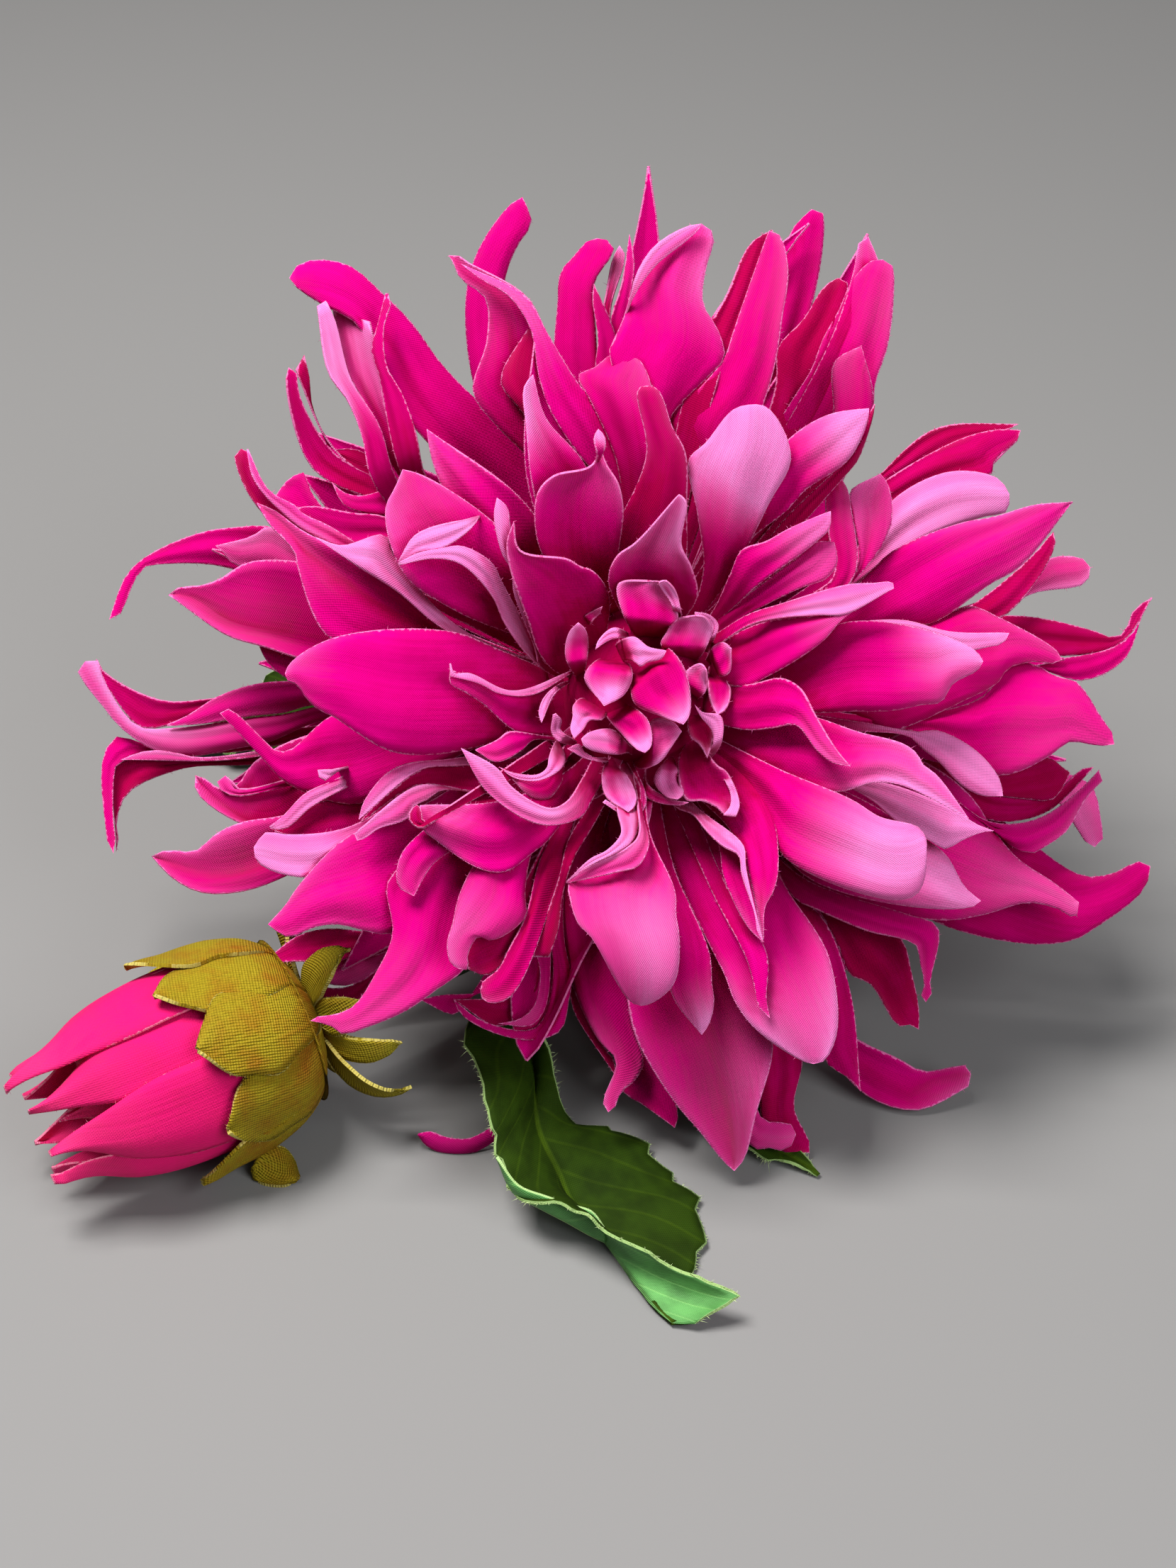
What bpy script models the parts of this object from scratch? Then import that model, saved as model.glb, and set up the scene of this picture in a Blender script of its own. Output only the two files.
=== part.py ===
"""A fabric dahlia spray laid on a table: one large bloom, one side bud, three leaves, a wire stem.

Metres, +Z up. The spray rests on z = 0 and the origin is under the middle of its box.
The bloom faces forward and up, towards -Y, and its stem runs back along +Y.
Sizes below are in millimetres and degrees; MM turns them into metres.
"""
import math
from collections import namedtuple

import bmesh
import bpy
from mathutils import Matrix, Vector

MM = 0.001
WELD = 0.01

# The bloom: its heart is the point that all petals spring from
HEART = Vector((7.2, -20.5, 51.0))
FOOT = Vector((HEART.x, HEART.y, 0.0))
BLOOM_TILT = 40.0
ROOT_RADIUS = 7.0
PETAL_THICKNESS = 1.2
FLORET_THICKNESS = 1.0
CURVE_STEPS = 50
PETAL_STEPS = (0, 13, 25, 35, 43)
OUTER_STEPS = (0, 17, 31, 42)
FLORET_STEPS = (0, 20, 38)
PULL = 0.36

# The heart's solid middle, as radius and height along the bloom's axis
CORE_PROFILE = (
    (0.0, -22.0),
    (10.5, -22.0),
    (14.0, -17.0),
    (15.5, -6.0),
    (13.5, 5.0),
    (9.0, 14.0),
    (4.5, 18.0),
    (0.0, 19.5),
)

# The green cup behind the bloom, with its ring of small sepals
CUP_PROFILE = (
    (0.0, -22.4),
    (9.5, -22.4),
    (10.6, -24.0),
    (8.0, -28.0),
    (4.0, -31.0),
    (3.0, -35.0),
    (0.0, -35.0),
)
CUP_SEPALS = 7
CUP_SEPAL_REACH = 21.0
CUP_SEPAL_WIDTH = 9.0
CUP_SEPAL_HOLLOW = 25.0

# The wire stem runs back from the cup and comes down to the table. Its points, like those of
# the branch, the bud and the leaves, are measured from the foot, the table under the heart.
STEM_RADIUS = 2.2
STEM_ROUTE = (
    (0.0, 27.1, 28.3),
    (0.0, 38.0, 19.0),
    (0.0, 48.0, 11.5),
    (0.0, 60.0, 5.2),
    (0.5, 74.0, 2.6),
    (1.0, 92.0, 2.25),
    (2.0, 112.0, 2.25),
)
BRANCH_RADIUS = 1.5
BRANCH_ROUTE = (
    (0.0, 50.0, 10.2),
    (-4.0, 36.0, 9.4),
    (-11.0, 12.0, 9.5),
    (-21.0, -8.0, 10.5),
    (-32.0, -19.0, 13.0),
    (-43.4, -26.2, 15.8),
)
ROUTE_STEPS = 4

# The side bud lies on the table: its base, the way it points, and its radius along its length
BUD_BASE = Vector((-46.6, -27.9, 15.6))
BUD_AXIS = Vector((-0.877, -0.476, -0.06)).normalized()
BUD_PROFILE = (
    (3.0, 10.4),
    (6.0, 12.4),
    (10.0, 13.4),
    (16.0, 13.9),
    (22.0, 13.9),
    (28.0, 13.2),
    (34.0, 11.4),
    (41.0, 8.8),
)
BUD_CORE_INSET = 1.5
BUD_CORE_END = 31.0
BUD_ROOT_SINK = 2.0
FLAT_SHARE = 0.4
BUD_PETAL_STATIONS = (3.2, 10.0, 18.0, 26.0, 33.0)
BUD_PETAL_SHARES = (0.75, 1.0, 1.0, 0.86, 0.55)
BUD_THICKNESS = 1.6
GAP = 0.35

# Bud petals: where each sits round the bud, half its spread, its tip's distance and how far
# out from the bud's axis the tip stands
BUD_PETALS = (
    (-18, 27, 43.0, 8.8),
    (26, 27, 41.5, 7.4),
    (50, 22, 38.0, 5.5),
    (74, 27, 41.0, 7.4),
    (118, 27, 41.5, 8.2),
    (164, 27, 40.5, 8.0),
    (210, 27, 41.0, 8.2),
    (255, 27, 40.2, 8.2),
    (300, 27, 41.2, 8.6),
)

# The bud's green cup: a turned wall, its sepals over the petals, and bent-back bracts behind
SEPAL_THICKNESS = 1.0
SEPAL_CLEARANCE = 1.01
CUP_WALL = (6.0, 9.0)
CUP_FLOOR = 1.2
NECK = ((3.2, 2.4), (2.4, 5.5))
SEPAL_STATIONS = (5.0, 10.0, 15.0)
SEPAL_SHARES = (1.0, 1.0, 0.7)
SEPALS = (
    (-32, 20, 22.0),
    (3, 19, 21.0),
    (39, 22, 19.0),
    (84, 25, 18.6),
    (127, 23, 23.0),
    (172, 21, 20.0),
    (217, 22, 21.0),
    (272, 24, 20.0),
)

# Bracts: direction round the bud, length, width, and how far back the tip bends. They start
# inside the neck and widen and narrow at the given shares of their length.
BRACT_ROOT = 2.0
BRACT_DROP = 3.0
BRACT_HALF_THICKNESS = 0.5
BRACT_SHAPE = ((0.1, 0.6), (0.45, 1.0), (0.75, 0.8))
BRACTS = (
    (-25, 13.0, 3.2, 1.0),
    (15, 10.5, 6.0, 6.0),
    (55, 9.5, 6.0, 6.5),
    (88, 10.5, 5.0, 9.0),
    (113, 14.0, 6.1, 7.9),
    (150, 9.0, 5.5, 3.0),
    (215, 11.0, 6.0, 5.0),
    (285, 11.0, 6.0, 5.0),
)

# The front leaf, folded along its middle and turned over at its end. Each row: the middle
# line, the left edge and the right edge, from the stalk to the tip.
FRONT_LEAF = (
    ((-4, 26, 10.6), (-5.0, 26, 11.0), (-3.0, 26, 11.0)),
    ((-9, 2, 10.6), (-10.2, 2, 11.2), (-7.8, 2, 11.2)),
    ((-12, -10, 10.2), (-14.5, -10, 11.6), (-10.8, -10, 12.0)),
    ((-14.8, -24, 8.2), (-24.5, -24, 11.0), (-13.0, -24, 13.5)),
    ((-14.6, -32, 7.3), (-21.2, -42, 13.0), (-12.6, -31, 11.5)),
    ((-14.3, -41, 6.4), (-19.4, -49, 9.8), (-9.5, -38, 4.5)),
    ((-11.5, -47, 4.0), (-16.5, -55, 7.5), (-2.1, -38, 2.0)),
    ((-9.5, -51, 1.6), (-9.9, -58, 9.4), (3.7, -44, 1.4)),
    ((-5.3, -56.6, 1.2), (-5.6, -61, 9.0), (8.6, -51, 0.8)),
    ((-2.2, -61.7, 0.9), (4.0, -66, 6.4), (7.9, -60.5, 0.8)),
    ((1.1, -67.6, 0.8), (12.6, -69.6, 5.0), (4.2, -65.6, 0.8)),
)
FRONT_LEAF_TIP = (4.0, -71.0, 0.8)

# The two plainer leaves: route of the middle line, width, and the lift of both halves
RIGHT_LEAF = ((3.9, 50, 10.2), (5, 30, 8.0), (3, 5, 6.0), (5, -15, 3.6), (12, -31, 2.0), (23.4, -42.6, 0.8))
RIGHT_LEAF_WIDTH = 17.0
BACK_LEAF = ((-2.7, 66, 4.0), (-20, 62, 7.0), (-40, 57, 7.5), (-58, 52, 5.0), (-76, 48, 1.2))
BACK_LEAF_WIDTH = 27.0
LEAF_LIFT = 12.0
LEAF_ROUTE_STEPS = 3
LEAF_BELLY = 0.85
LEAF_STALK_SHARE = 0.24
LEAF_STALK_WIDTH = 2.4
LEAF_THICKNESS = 0.9
LEAF_RIB_THICKNESS = 1.6
LEAF_TEETH = 0.86

# A petal's width at its root as a share of its full width, and where along it that is reached
ROOT_SHARE = 0.22
WIDEST_AT = 0.5
FLATTEST = 1.0

Petal = namedtuple("Petal", "root tip reach width turn roll cup blunt")
Layer = namedtuple("Layer", "root_height launch tip_height pitch steps")

# Petals of the bloom, layer by layer from the heart to the back. Each row: the direction of
# its root and of its tip round the axis, its reach and width, how far its tip swings aside,
# its roll, the half angle of its hollow, and how blunt its tip is.
INNER = Layer(8.0, 70.0, 31.0, 20.0, PETAL_STEPS)
INNER_PETALS = (
    Petal(86, 77.5, 26.2, 12, -5, 0, 50, 1.3),
    Petal(134, 125, 31, 14, -10, 15, 60, 1.6),
    Petal(150, 151, 35, 9, 60, 70, 20, 2.0),
    Petal(184, 172, 24.5, 9, -15, 0, 75, 1.8),
    Petal(228, 196, 23.8, 10, -50, -20, 55, 1.6),
    Petal(358, 341, 29.3, 8, -16, -50, 40, 1.4),
    Petal(17, 23.3, 36, 10, 2, -35, 60, 1.8),
)
FOLDED = Layer(6.0, 66.0, 23.0, -50.0, PETAL_STEPS)
FOLDED_PETALS = (Petal(266, 271.5, 41, 15.5, 0, 0, 15, 4),)

SECOND = Layer(4.0, 50.0, 26.0, 0.0, PETAL_STEPS)
SECOND_PETALS = (
    Petal(63, 66, 40.3, 14.5, 0, 0, 25, 4),
    Petal(43, 38, 34, 12.5, -5, 10, 30, 3.5),
    Petal(30, 47, 39, 8, 50, 60, 30, 2),
    Petal(7, 4.5, 45.3, 13.5, -3, 0, 20, 4),
    Petal(350, 340.5, 46.4, 13, -12, 10, 25, 2.2),
    Petal(332, 327.5, 44.4, 16, -3, 0, 18, 4),
    Petal(306, 296.4, 36.5, 9.5, -14, 45, 70, 1.5),
    Petal(287, 291.8, 45.5, 8, -4, 40, 60, 1.4),
    Petal(240, 208, 32.4, 12, -37, -10, 25, 3),
    Petal(182, 176.5, 46, 18.5, -3, 0, 15, 2.0),
    Petal(152, 138, 42.3, 16, -5, 10, 20, 2.8),
    Petal(104, 108.2, 44, 10.5, 0, -20, 30, 2),
    Petal(112, 98, 35, 13.5, -12, 5, 35, 2.0),
    Petal(80, 88, 40.4, 9, 8, -30, 65, 2.2),
)

THIRD = Layer(0.0, 35.0, 16.0, -10.0, PETAL_STEPS)
THIRD_PETALS = (
    Petal(55, 51, 49.4, 12, -3, 0, 25, 2.2),
    Petal(37, 42, 44.5, 9, 3, 0, 20, 3),
    Petal(12, 9.2, 50.9, 9, 0, -30, 30, 1.8),
    Petal(342, 339, 51.3, 12, 8, 0, 30, 2.2),
    Petal(325, 328.8, 53.9, 13, 0, 0, 20, 2),
    Petal(292, 295.7, 55.2, 18, 0, 0, 22, 3.2),
    Petal(280, 280.6, 46.7, 9, 0, 0, 25, 1.6),
    Petal(95, 93, 46.3, 12, 0, 0, 30, 4),
    Petal(105, 113.1, 64.5, 14, 20, 20, 40, 1.5),
    Petal(112, 106, 50.8, 9, -10, 0, 40, 1.6),
    Petal(84, 82, 64, 14, -15, -15, 35, 2.6),
    Petal(78, 73.9, 65.5, 13, 5, -20, 75, 2.6),
    Petal(17, 24, 64, 17, 5, 0, 35, 1.6),
    Petal(236, 237, 43.9, 9, 8, -25, 35, 3),
    Petal(224, 220, 40.7, 8, 0, 50, 40, 2.5),
    Petal(243, 245, 45.5, 9, -5, 30, 40, 2),
    Petal(234, 225, 61.7, 16, -14, 0, 30, 1.6),
    Petal(212, 214, 58, 16, 5, 0, 20, 2.2),
    Petal(117, 124, 59.3, 17, 8, 0, 25, 2.4),
    Petal(358, 354.3, 64.3, 16, -8, 0, 25, 1.8),
    Petal(352, 345, 51, 9, 0, 0, 15, 3.5),
    Petal(165, 148.1, 63, 13, -25, -10, 45, 1.5),
    Petal(207, 202.6, 56, 9, 0, 0, 20, 4),
)

FOURTH = Layer(-8.0, 14.0, 3.0, 0.0, OUTER_STEPS)
FOURTH_PETALS = (
    Petal(100, 94, 64, 11, -10, 0, 40, 2.6),
    Petal(94, 92.7, 62.3, 6, 0, 0, 30, 2),
    Petal(50, 60.6, 69.5, 12.5, 18, 0, 35, 2.4),
    Petal(60, 64.3, 64.2, 12, 0, 0, 40, 1.8),
    Petal(62, 66, 56.8, 9, 0, 0, 40, 1.6),
    Petal(46, 35.2, 64.8, 12, -20, 0, 50, 1.7),
    Petal(34, 29.3, 59, 15, 0, 0, 18, 4),
    Petal(14, 21, 62.2, 11, 0, 0, 30, 1.8),
    Petal(3, 10.8, 73, 10, 45, 0, 45, 1.5),
    Petal(13, 4.6, 59.3, 11, -8, 0, 30, 1.6),
    Petal(343, 350.6, 64.7, 11, 25, 0, 60, 2.2),
    Petal(322, 341.4, 74.6, 12, 35, 0, 35, 2.0),
    Petal(330, 333.4, 68.6, 17, -2, 0, 30, 1.5),
    Petal(325, 313.2, 58.6, 8, -50, 0, 40, 1.6),
    Petal(318, 309.9, 60.8, 11, -15, 0, 25, 1.6),
    Petal(303, 299, 63.3, 8, 0, 45, 50, 1.4),
    Petal(261, 265.6, 58, 11, 8, 0, 40, 1.6),
    Petal(269, 274.9, 60.6, 10, 0, 0, 30, 1.8),
    Petal(252, 253, 53.4, 12, 0, 30, 50, 3),
    Petal(246, 242, 51, 11, -30, 0, 50, 2.4),
    Petal(217, 214.3, 59.0, 11, 0, 0, 30, 1.8),
    Petal(222, 223, 56.4, 10, 0, 0, 30, 2),
    Petal(207, 198.2, 71.3, 11, -18, 0, 60, 1.7),
    Petal(202, 191, 62.4, 12, -15, 0, 55, 1.8),
    Petal(198, 182.4, 58, 6, -40, 70, 30, 1.8),
    Petal(169, 168, 66.9, 14, 0, 0, 40, 1.8),
    Petal(147, 136, 66.5, 11, -30, 40, 80, 2),
    Petal(137, 128.5, 70, 12, -12, -45, 50, 1.8),
    Petal(128, 122, 65.7, 13, -5, 0, 50, 2.2),
    Petal(287, 289.5, 67.3, 10, 0, 0, 40, 2.8),
)

OUTER = Layer(-13.0, -8.0, -8.0, 8.0, OUTER_STEPS)
OUTER_PETALS = (
    Petal(91, 88.8, 75.6, 9, 0, 0, 40, 1.6),
    Petal(72, 70, 71.8, 8, -30, 0, 40, 1.6),
    Petal(64, 63.5, 73.7, 7, 0, 0, 40, 1.6),
    Petal(40, 34, 65.4, 8, 0, 0, 40, 1.6),
    Petal(13, 15.4, 67.3, 7, 0, 0, 30, 4),
    Petal(350, 351.5, 62, 9, 0, 0, 40, 1.8),
    Petal(346, 341.7, 68.9, 6, -40, 0, 30, 1.8),
    Petal(111, 102.8, 73.7, 9.5, -25, 0, 40, 2),
    Petal(188, 197, 78.8, 8, 70, 0, 40, 1.6),
    Petal(184, 176.7, 79.8, 11, -45, 0, 45, 2.2),
    Petal(155, 171.7, 76.8, 8, 60, 0, 35, 1.6),
    Petal(162, 161, 64.3, 8, 0, 0, 40, 1.8),
    Petal(147, 146.6, 57.5, 9, 0, 0, 40, 2.4),
    Petal(117, 130.2, 77.6, 13, 55, 0, 40, 2.4),
)

# Two petals under the bloom reach down to the table
HANGING = Layer(0.0, 30.0, 5.0, -22.0, PETAL_STEPS)
HANGING_PETALS = (Petal(276, 281.4, 66.5, 18, 5, 0, 35, 1.7),)
RESTING = Layer(-12.0, -10.0, -12.0, 25.0, PETAL_STEPS)
RESTING_PETALS = (Petal(297, 311.6, 73.5, 9, 45, 0, 40, 2.4),)

# Hidden back petals follow a rule: one each step round the back, left out where the stem runs
BACK = Layer(-17.0, -10.0, -18.0, -4.0, OUTER_STEPS)
BACK_FROM = 312.0
BACK_TO = 586.0
BACK_PETALS = 17
BACK_REACH = 57.0
BACK_REACH_WAVE = 5.0
BACK_WAVE_STEP = 2.4
BACK_SWING = 4.0
BACK_LOOK = Petal(0, 0, 0, width=13, turn=6, roll=0, cup=35, blunt=1.8)
CUP_RING = Layer(-25.5, 10.0, -27.0, -25.0, OUTER_STEPS)

# Small florets that close over the heart: as a petal, with its own root, rise and tip heights
Floret = namedtuple("Floret", "root tip reach width turn roll cup blunt rise launch height pitch")
FLORETS = (
    Floret(88, 325, 6.5, 7, -20, 0, 35, 3, 15, 100, 24, -45),
    Floret(170, 270, 7.5, 6, 10, 0, 45, 2.4, 14, 98, 22, -50),
    Floret(350, 262, 8.6, 6, -40, 0, 45, 2.4, 12, 85, 18, -30),
    Floret(200, 150, 3.0, 6, 170, 0, 60, 3, 14, 85, 26, -10),
    Floret(210, 200, 6.5, 6, 150, 10, 50, 2, 12, 80, 22, -10),
    Floret(235, 262, 9.0, 6, 60, 0, 60, 1.8, 11, 80, 19, -20),
    Floret(75, 70, 4.0, 6, 170, 0, 50, 1.8, 15, 88, 25, -15),
    Floret(88, 88, 14.6, 7.5, 0, 0, 25, 4, 12, 60, 27, 40),
    Floret(46, 48, 13.5, 7.5, 0, 0, 45, 3.4, 12, 62, 25, 25),
    Floret(22, 21, 12.0, 5, 0, 0, 50, 3, 12, 62, 23, 25),
    Floret(5, 14, 9.0, 5, 20, 0, 50, 3, 13, 75, 24, 45),
    Floret(0, 2, 12.4, 5, 10, 0, 50, 2, 11, 60, 23, 35),
    Floret(345, 340, 12.0, 6, -20, 0, 60, 3, 11, 60, 22, 35),
    Floret(350, 354, 15.0, 4, 20, 0, 40, 2, 8, 50, 20, 20),
    Floret(315, 310.6, 18.8, 8.5, 0, 0, 60, 4, 8, 58, 24, 25),
    Floret(292, 291, 13.2, 5, 0, 0, 60, 3, 10, 58, 22, 40),
    Floret(256, 258, 15.2, 6.5, 0, 0, 60, 3.4, 10, 58, 24, 15),
    Floret(266, 270, 18.5, 6, 0, 0, 40, 1.8, 7, 48, 19, 5),
    Floret(214, 216, 15.4, 7.5, 0, 0, 70, 3, 9, 56, 24, 35),
    Floret(238, 236, 16.5, 5, 0, 0, 50, 2.6, 8, 52, 21, 15),
    Floret(188, 190, 13.6, 6, 0, 0, 60, 2, 9, 56, 24, 35),
    Floret(145, 138, 11.0, 6, -10, 0, 60, 2, 11, 66, 26, 45),
    Floret(124, 120, 13.0, 4.5, 0, 0, 50, 2, 10, 60, 26, 40),
)


def polar(degrees):
    """A unit direction round the bloom's axis; 0 is its right, 90 its top."""
    angle = math.radians(degrees)
    return Vector((math.cos(angle), math.sin(angle), 0.0))


def bloom_matrix():
    """From the bloom's own axes (right, up its face, towards the viewer) to the world."""
    tilt = math.radians(BLOOM_TILT)
    across = Vector((1.0, 0.0, 0.0))
    up = Vector((0.0, math.sin(tilt), math.cos(tilt)))
    out = Vector((0.0, -math.cos(tilt), math.sin(tilt)))
    turn = Matrix((across, up, out)).transposed().to_4x4()
    return Matrix.Translation(HEART) @ turn


def along(degrees, rise):
    """A direction that leans from the radial one towards the axis by an angle."""
    lean = math.radians(rise)
    return polar(degrees) * math.cos(lean) + Vector((0.0, 0.0, math.sin(lean)))


def midrib(row, root_height, launch, tip_height, pitch):
    """The petal's middle line, as the four points of a cubic curve."""
    start = polar(row.root) * ROOT_RADIUS + Vector((0.0, 0.0, root_height))
    end = polar(row.tip) * row.reach + Vector((0.0, 0.0, tip_height))
    pull = (end - start).length * PULL
    return start, start + along(row.root, launch) * pull, end - along(row.tip + row.turn, pitch) * pull, end


def bezier(points, t):
    """The place on a cubic curve, and its direction there."""
    a, b, c, d = points
    s = 1.0 - t
    place = a * s**3 + b * 3 * s * s * t + c * 3 * s * t * t + d * t**3
    heading = (b - a) * s * s + (c - b) * 2 * s * t + (d - c) * t * t
    return place, heading.normalized()


def smooth(t):
    """Eases from 0 to 1."""
    return t * t * (3.0 - 2.0 * t)


def half_width(row, t):
    """A petal is narrow at its root, widest at its middle and closes at its tip."""
    swell = ROOT_SHARE + (1.0 - ROOT_SHARE) * math.sin(math.pi / 2 * min(t / WIDEST_AT, 1.0))
    close = 1.0 - max(0.0, (t - WIDEST_AT) / (1.0 - WIDEST_AT)) ** row.blunt
    return row.width / 2 * swell * close


def cross_section(row, place, heading, across, t):
    """The petal's left edge, middle and right edge where its middle line is at t, and its face."""
    normal = heading.cross(across)
    roll = math.radians(row.roll) * smooth(t)
    side = across * math.cos(roll) + normal * math.sin(roll)
    face = normal * math.cos(roll) - across * math.sin(roll)
    hollow = math.radians(max(row.cup, FLATTEST))
    spread = half_width(row, t) / hollow
    shift = side * (spread * math.sin(hollow))
    lift = face * (spread * (1.0 - math.cos(hollow)))
    return place + shift + lift, place, place - shift + lift, face


def sections(points, row, steps):
    """The cross sections at the given steps, turned no more than the middle line bends them."""
    across = polar(row.root + 90.0)
    found = []
    for step in range(CURVE_STEPS + 1):
        place, heading = bezier(points, step / CURVE_STEPS)
        across = (across - heading * across.dot(heading)).normalized()
        if step in steps:
            found.append(cross_section(row, place, heading, across, step / CURVE_STEPS))
    return found


def face_out(mesh):
    """Turns every face of a closed solid outwards."""
    bmesh.ops.recalc_face_normals(mesh, faces=mesh.faces)
    if mesh.calc_volume(signed=True) < 0.0:
        bmesh.ops.reverse_faces(mesh, faces=mesh.faces)


def loft(sheets, tip, name):
    """A closed blade through pairs of rows of points, its upper and its lower face.

    Both faces are split alike, and they share their first and last points, the blade's edges.
    """
    mesh = bmesh.new()
    rows = []
    for over, under in sheets:
        top = [mesh.verts.new(point) for point in over]
        inner = [mesh.verts.new(point) for point in under]
        rows.append((top, [top[0], *inner, top[-1]]))
    end = mesh.verts.new(tip)
    strips = range(len(rows[0][0]) - 1)
    for low, high in zip(rows, rows[1:]):
        for j in strips:
            for a, b in ((low[0], high[0]), (low[1], high[1])):
                mesh.faces.new((a[j], a[j + 1], b[j + 1]))
                mesh.faces.new((a[j], b[j + 1], b[j]))
    for top, bottom in (rows[0], rows[-1]):
        fan = rows[-1][0] is top
        for j in strips:
            if fan:
                mesh.faces.new((top[j], top[j + 1], end))
                mesh.faces.new((bottom[j], bottom[j + 1], end))
            else:
                cap = [top[j], top[j + 1], bottom[j + 1], bottom[j]]
                mesh.faces.new(list(dict.fromkeys(cap)))
    face_out(mesh)
    data = bpy.data.meshes.new(name)
    mesh.to_mesh(data)
    mesh.free()
    return data


def floor_lift(points, matrix):
    """How far a ring moves towards the viewer so that none of it is below the table."""
    lowest = min((matrix @ point).z for point in points)
    return Vector((0.0, 0.0, max(0.0, -lowest) / math.sin(math.radians(BLOOM_TILT))))


def blade(row, points, steps, thickness, matrix, name):
    """One petal as a solid, thick along its middle and thin at its edges."""
    sheets = []
    for left, middle, right, face in sections(points, row, steps):
        over = [left, middle + face * thickness / 2, right]
        under = [middle - face * thickness / 2]
        lift = floor_lift(over + under, matrix)
        sheets.append([[matrix @ (point + lift) * MM for point in rows] for rows in (over, under)])
    tip = points[-1] + floor_lift([points[-1]], matrix)
    return loft(sheets, matrix @ tip * MM, name)


def material(name, colour, roughness):
    """A plain surface in the part's colour."""
    made = bpy.data.materials.new(name)
    made.use_nodes = True
    shader = made.node_tree.nodes["Principled BSDF"]
    shader.inputs["Base Color"].default_value = (*colour, 1.0)
    shader.inputs["Roughness"].default_value = roughness
    shader.inputs["Metallic"].default_value = 0.0
    made.diffuse_color = (*colour, 1.0)
    return made


def new_object(name, data, group, matrix=None):
    """Adds an object to a collection."""
    made = bpy.data.objects.new(name, data)
    if matrix is not None:
        made.matrix_world = matrix
    group.objects.link(made)
    return made


def turned(name, profile, group, matrix, sides=16):
    """A solid turned round its own Z from a radius and height profile in millimetres."""
    mesh = bmesh.new()
    points = [mesh.verts.new((radius * MM, 0.0, height * MM)) for radius, height in profile]
    for low, high in zip(points, points[1:]):
        mesh.edges.new((low, high))
    data = bpy.data.meshes.new(name)
    mesh.to_mesh(data)
    mesh.free()
    made = new_object(name, data, group, matrix)
    screw = made.modifiers.new("turn", "SCREW")
    screw.steps = sides
    screw.render_steps = sides
    screw.use_merge_vertices = True
    screw.merge_threshold = WELD * MM
    settle(made)
    mesh = bmesh.new()
    mesh.from_mesh(made.data)
    face_out(mesh)
    mesh.to_mesh(made.data)
    mesh.free()
    return made


def settle(made):
    """Replaces an object's mesh by the one its modifiers make."""
    bpy.context.view_layer.update()
    evaluated = made.evaluated_get(bpy.context.evaluated_depsgraph_get())
    data = bpy.data.meshes.new_from_object(evaluated)
    made.modifiers.clear()
    made.data = data
    return made


def keep_largest(data):
    """Drops the small closed pockets that crossing blades leave inside a joined solid."""
    mesh = bmesh.new()
    mesh.from_mesh(data)
    left = set(mesh.verts)
    bodies = []
    while left:
        body = set()
        reach = [left.pop()]
        while reach:
            vert = reach.pop()
            body.add(vert)
            for edge in vert.link_edges:
                other = edge.other_vert(vert)
                if other in left:
                    left.remove(other)
                    reach.append(other)
        bodies.append(body)
    bodies.sort(key=len)
    spare = [vert for body in bodies[:-1] for vert in body]
    bmesh.ops.delete(mesh, geom=spare, context="VERTS")
    mesh.to_mesh(data)
    mesh.free()


def join(made, repeats):
    """Unites a solid with every solid of a collection, which is then removed."""
    union = made.modifiers.new("union", "BOOLEAN")
    union.operation = "UNION"
    union.operand_type = "COLLECTION"
    union.collection = repeats
    union.solver = "MANIFOLD"
    settle(made)
    keep_largest(made.data)
    for piece in list(repeats.objects):
        bpy.data.objects.remove(piece)
    bpy.data.collections.remove(repeats)
    return made


def helper_collection(name):
    """A collection of solids that are about to be joined to another."""
    made = bpy.data.collections.new(name)
    bpy.context.scene.collection.children.link(made)
    return made


def back_petals():
    """The hidden back petals: evenly round the back, a little uneven in reach."""
    rows = []
    for index in range(BACK_PETALS):
        at = BACK_FROM + (BACK_TO - BACK_FROM) * index / (BACK_PETALS - 1)
        reach = BACK_REACH + BACK_REACH_WAVE * math.sin(index * BACK_WAVE_STEP)
        rows.append(BACK_LOOK._replace(root=at - BACK_SWING, tip=at, reach=reach))
    return rows


def bloom(group):
    """The bloom: every petal and floret, joined to the solid heart."""
    matrix = bloom_matrix()
    scaled = Matrix.Translation(HEART * MM) @ matrix.to_3x3().to_4x4()
    heart = turned("bloom_petals", CORE_PROFILE, group, scaled)
    repeats = helper_collection("petals")
    layers = (
        (INNER, INNER_PETALS),
        (FOLDED, FOLDED_PETALS),
        (SECOND, SECOND_PETALS),
        (THIRD, THIRD_PETALS),
        (FOURTH, FOURTH_PETALS),
        (HANGING, HANGING_PETALS),
        (RESTING, RESTING_PETALS),
        (OUTER, OUTER_PETALS),
        (BACK, back_petals()),
    )
    for layer, rows in layers:
        for row in rows:
            points = midrib(row, *layer[:4])
            data = blade(row, points, layer.steps, PETAL_THICKNESS, matrix, "petal")
            new_object("petal", data, repeats)
    for row in FLORETS:
        points = midrib(row, *row[8:])
        data = blade(row, points, FLORET_STEPS, FLORET_THICKNESS, matrix, "floret")
        new_object("floret", data, repeats)
    return join(heart, repeats)


def bud_radius(along_bud):
    """The bud's radius at a distance from its base."""
    for (low, near), (high, far) in zip(BUD_PROFILE, BUD_PROFILE[1:]):
        if along_bud <= high:
            share = (along_bud - low) / (high - low)
            return near + (far - near) * share
    return BUD_PROFILE[-1][1]


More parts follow.
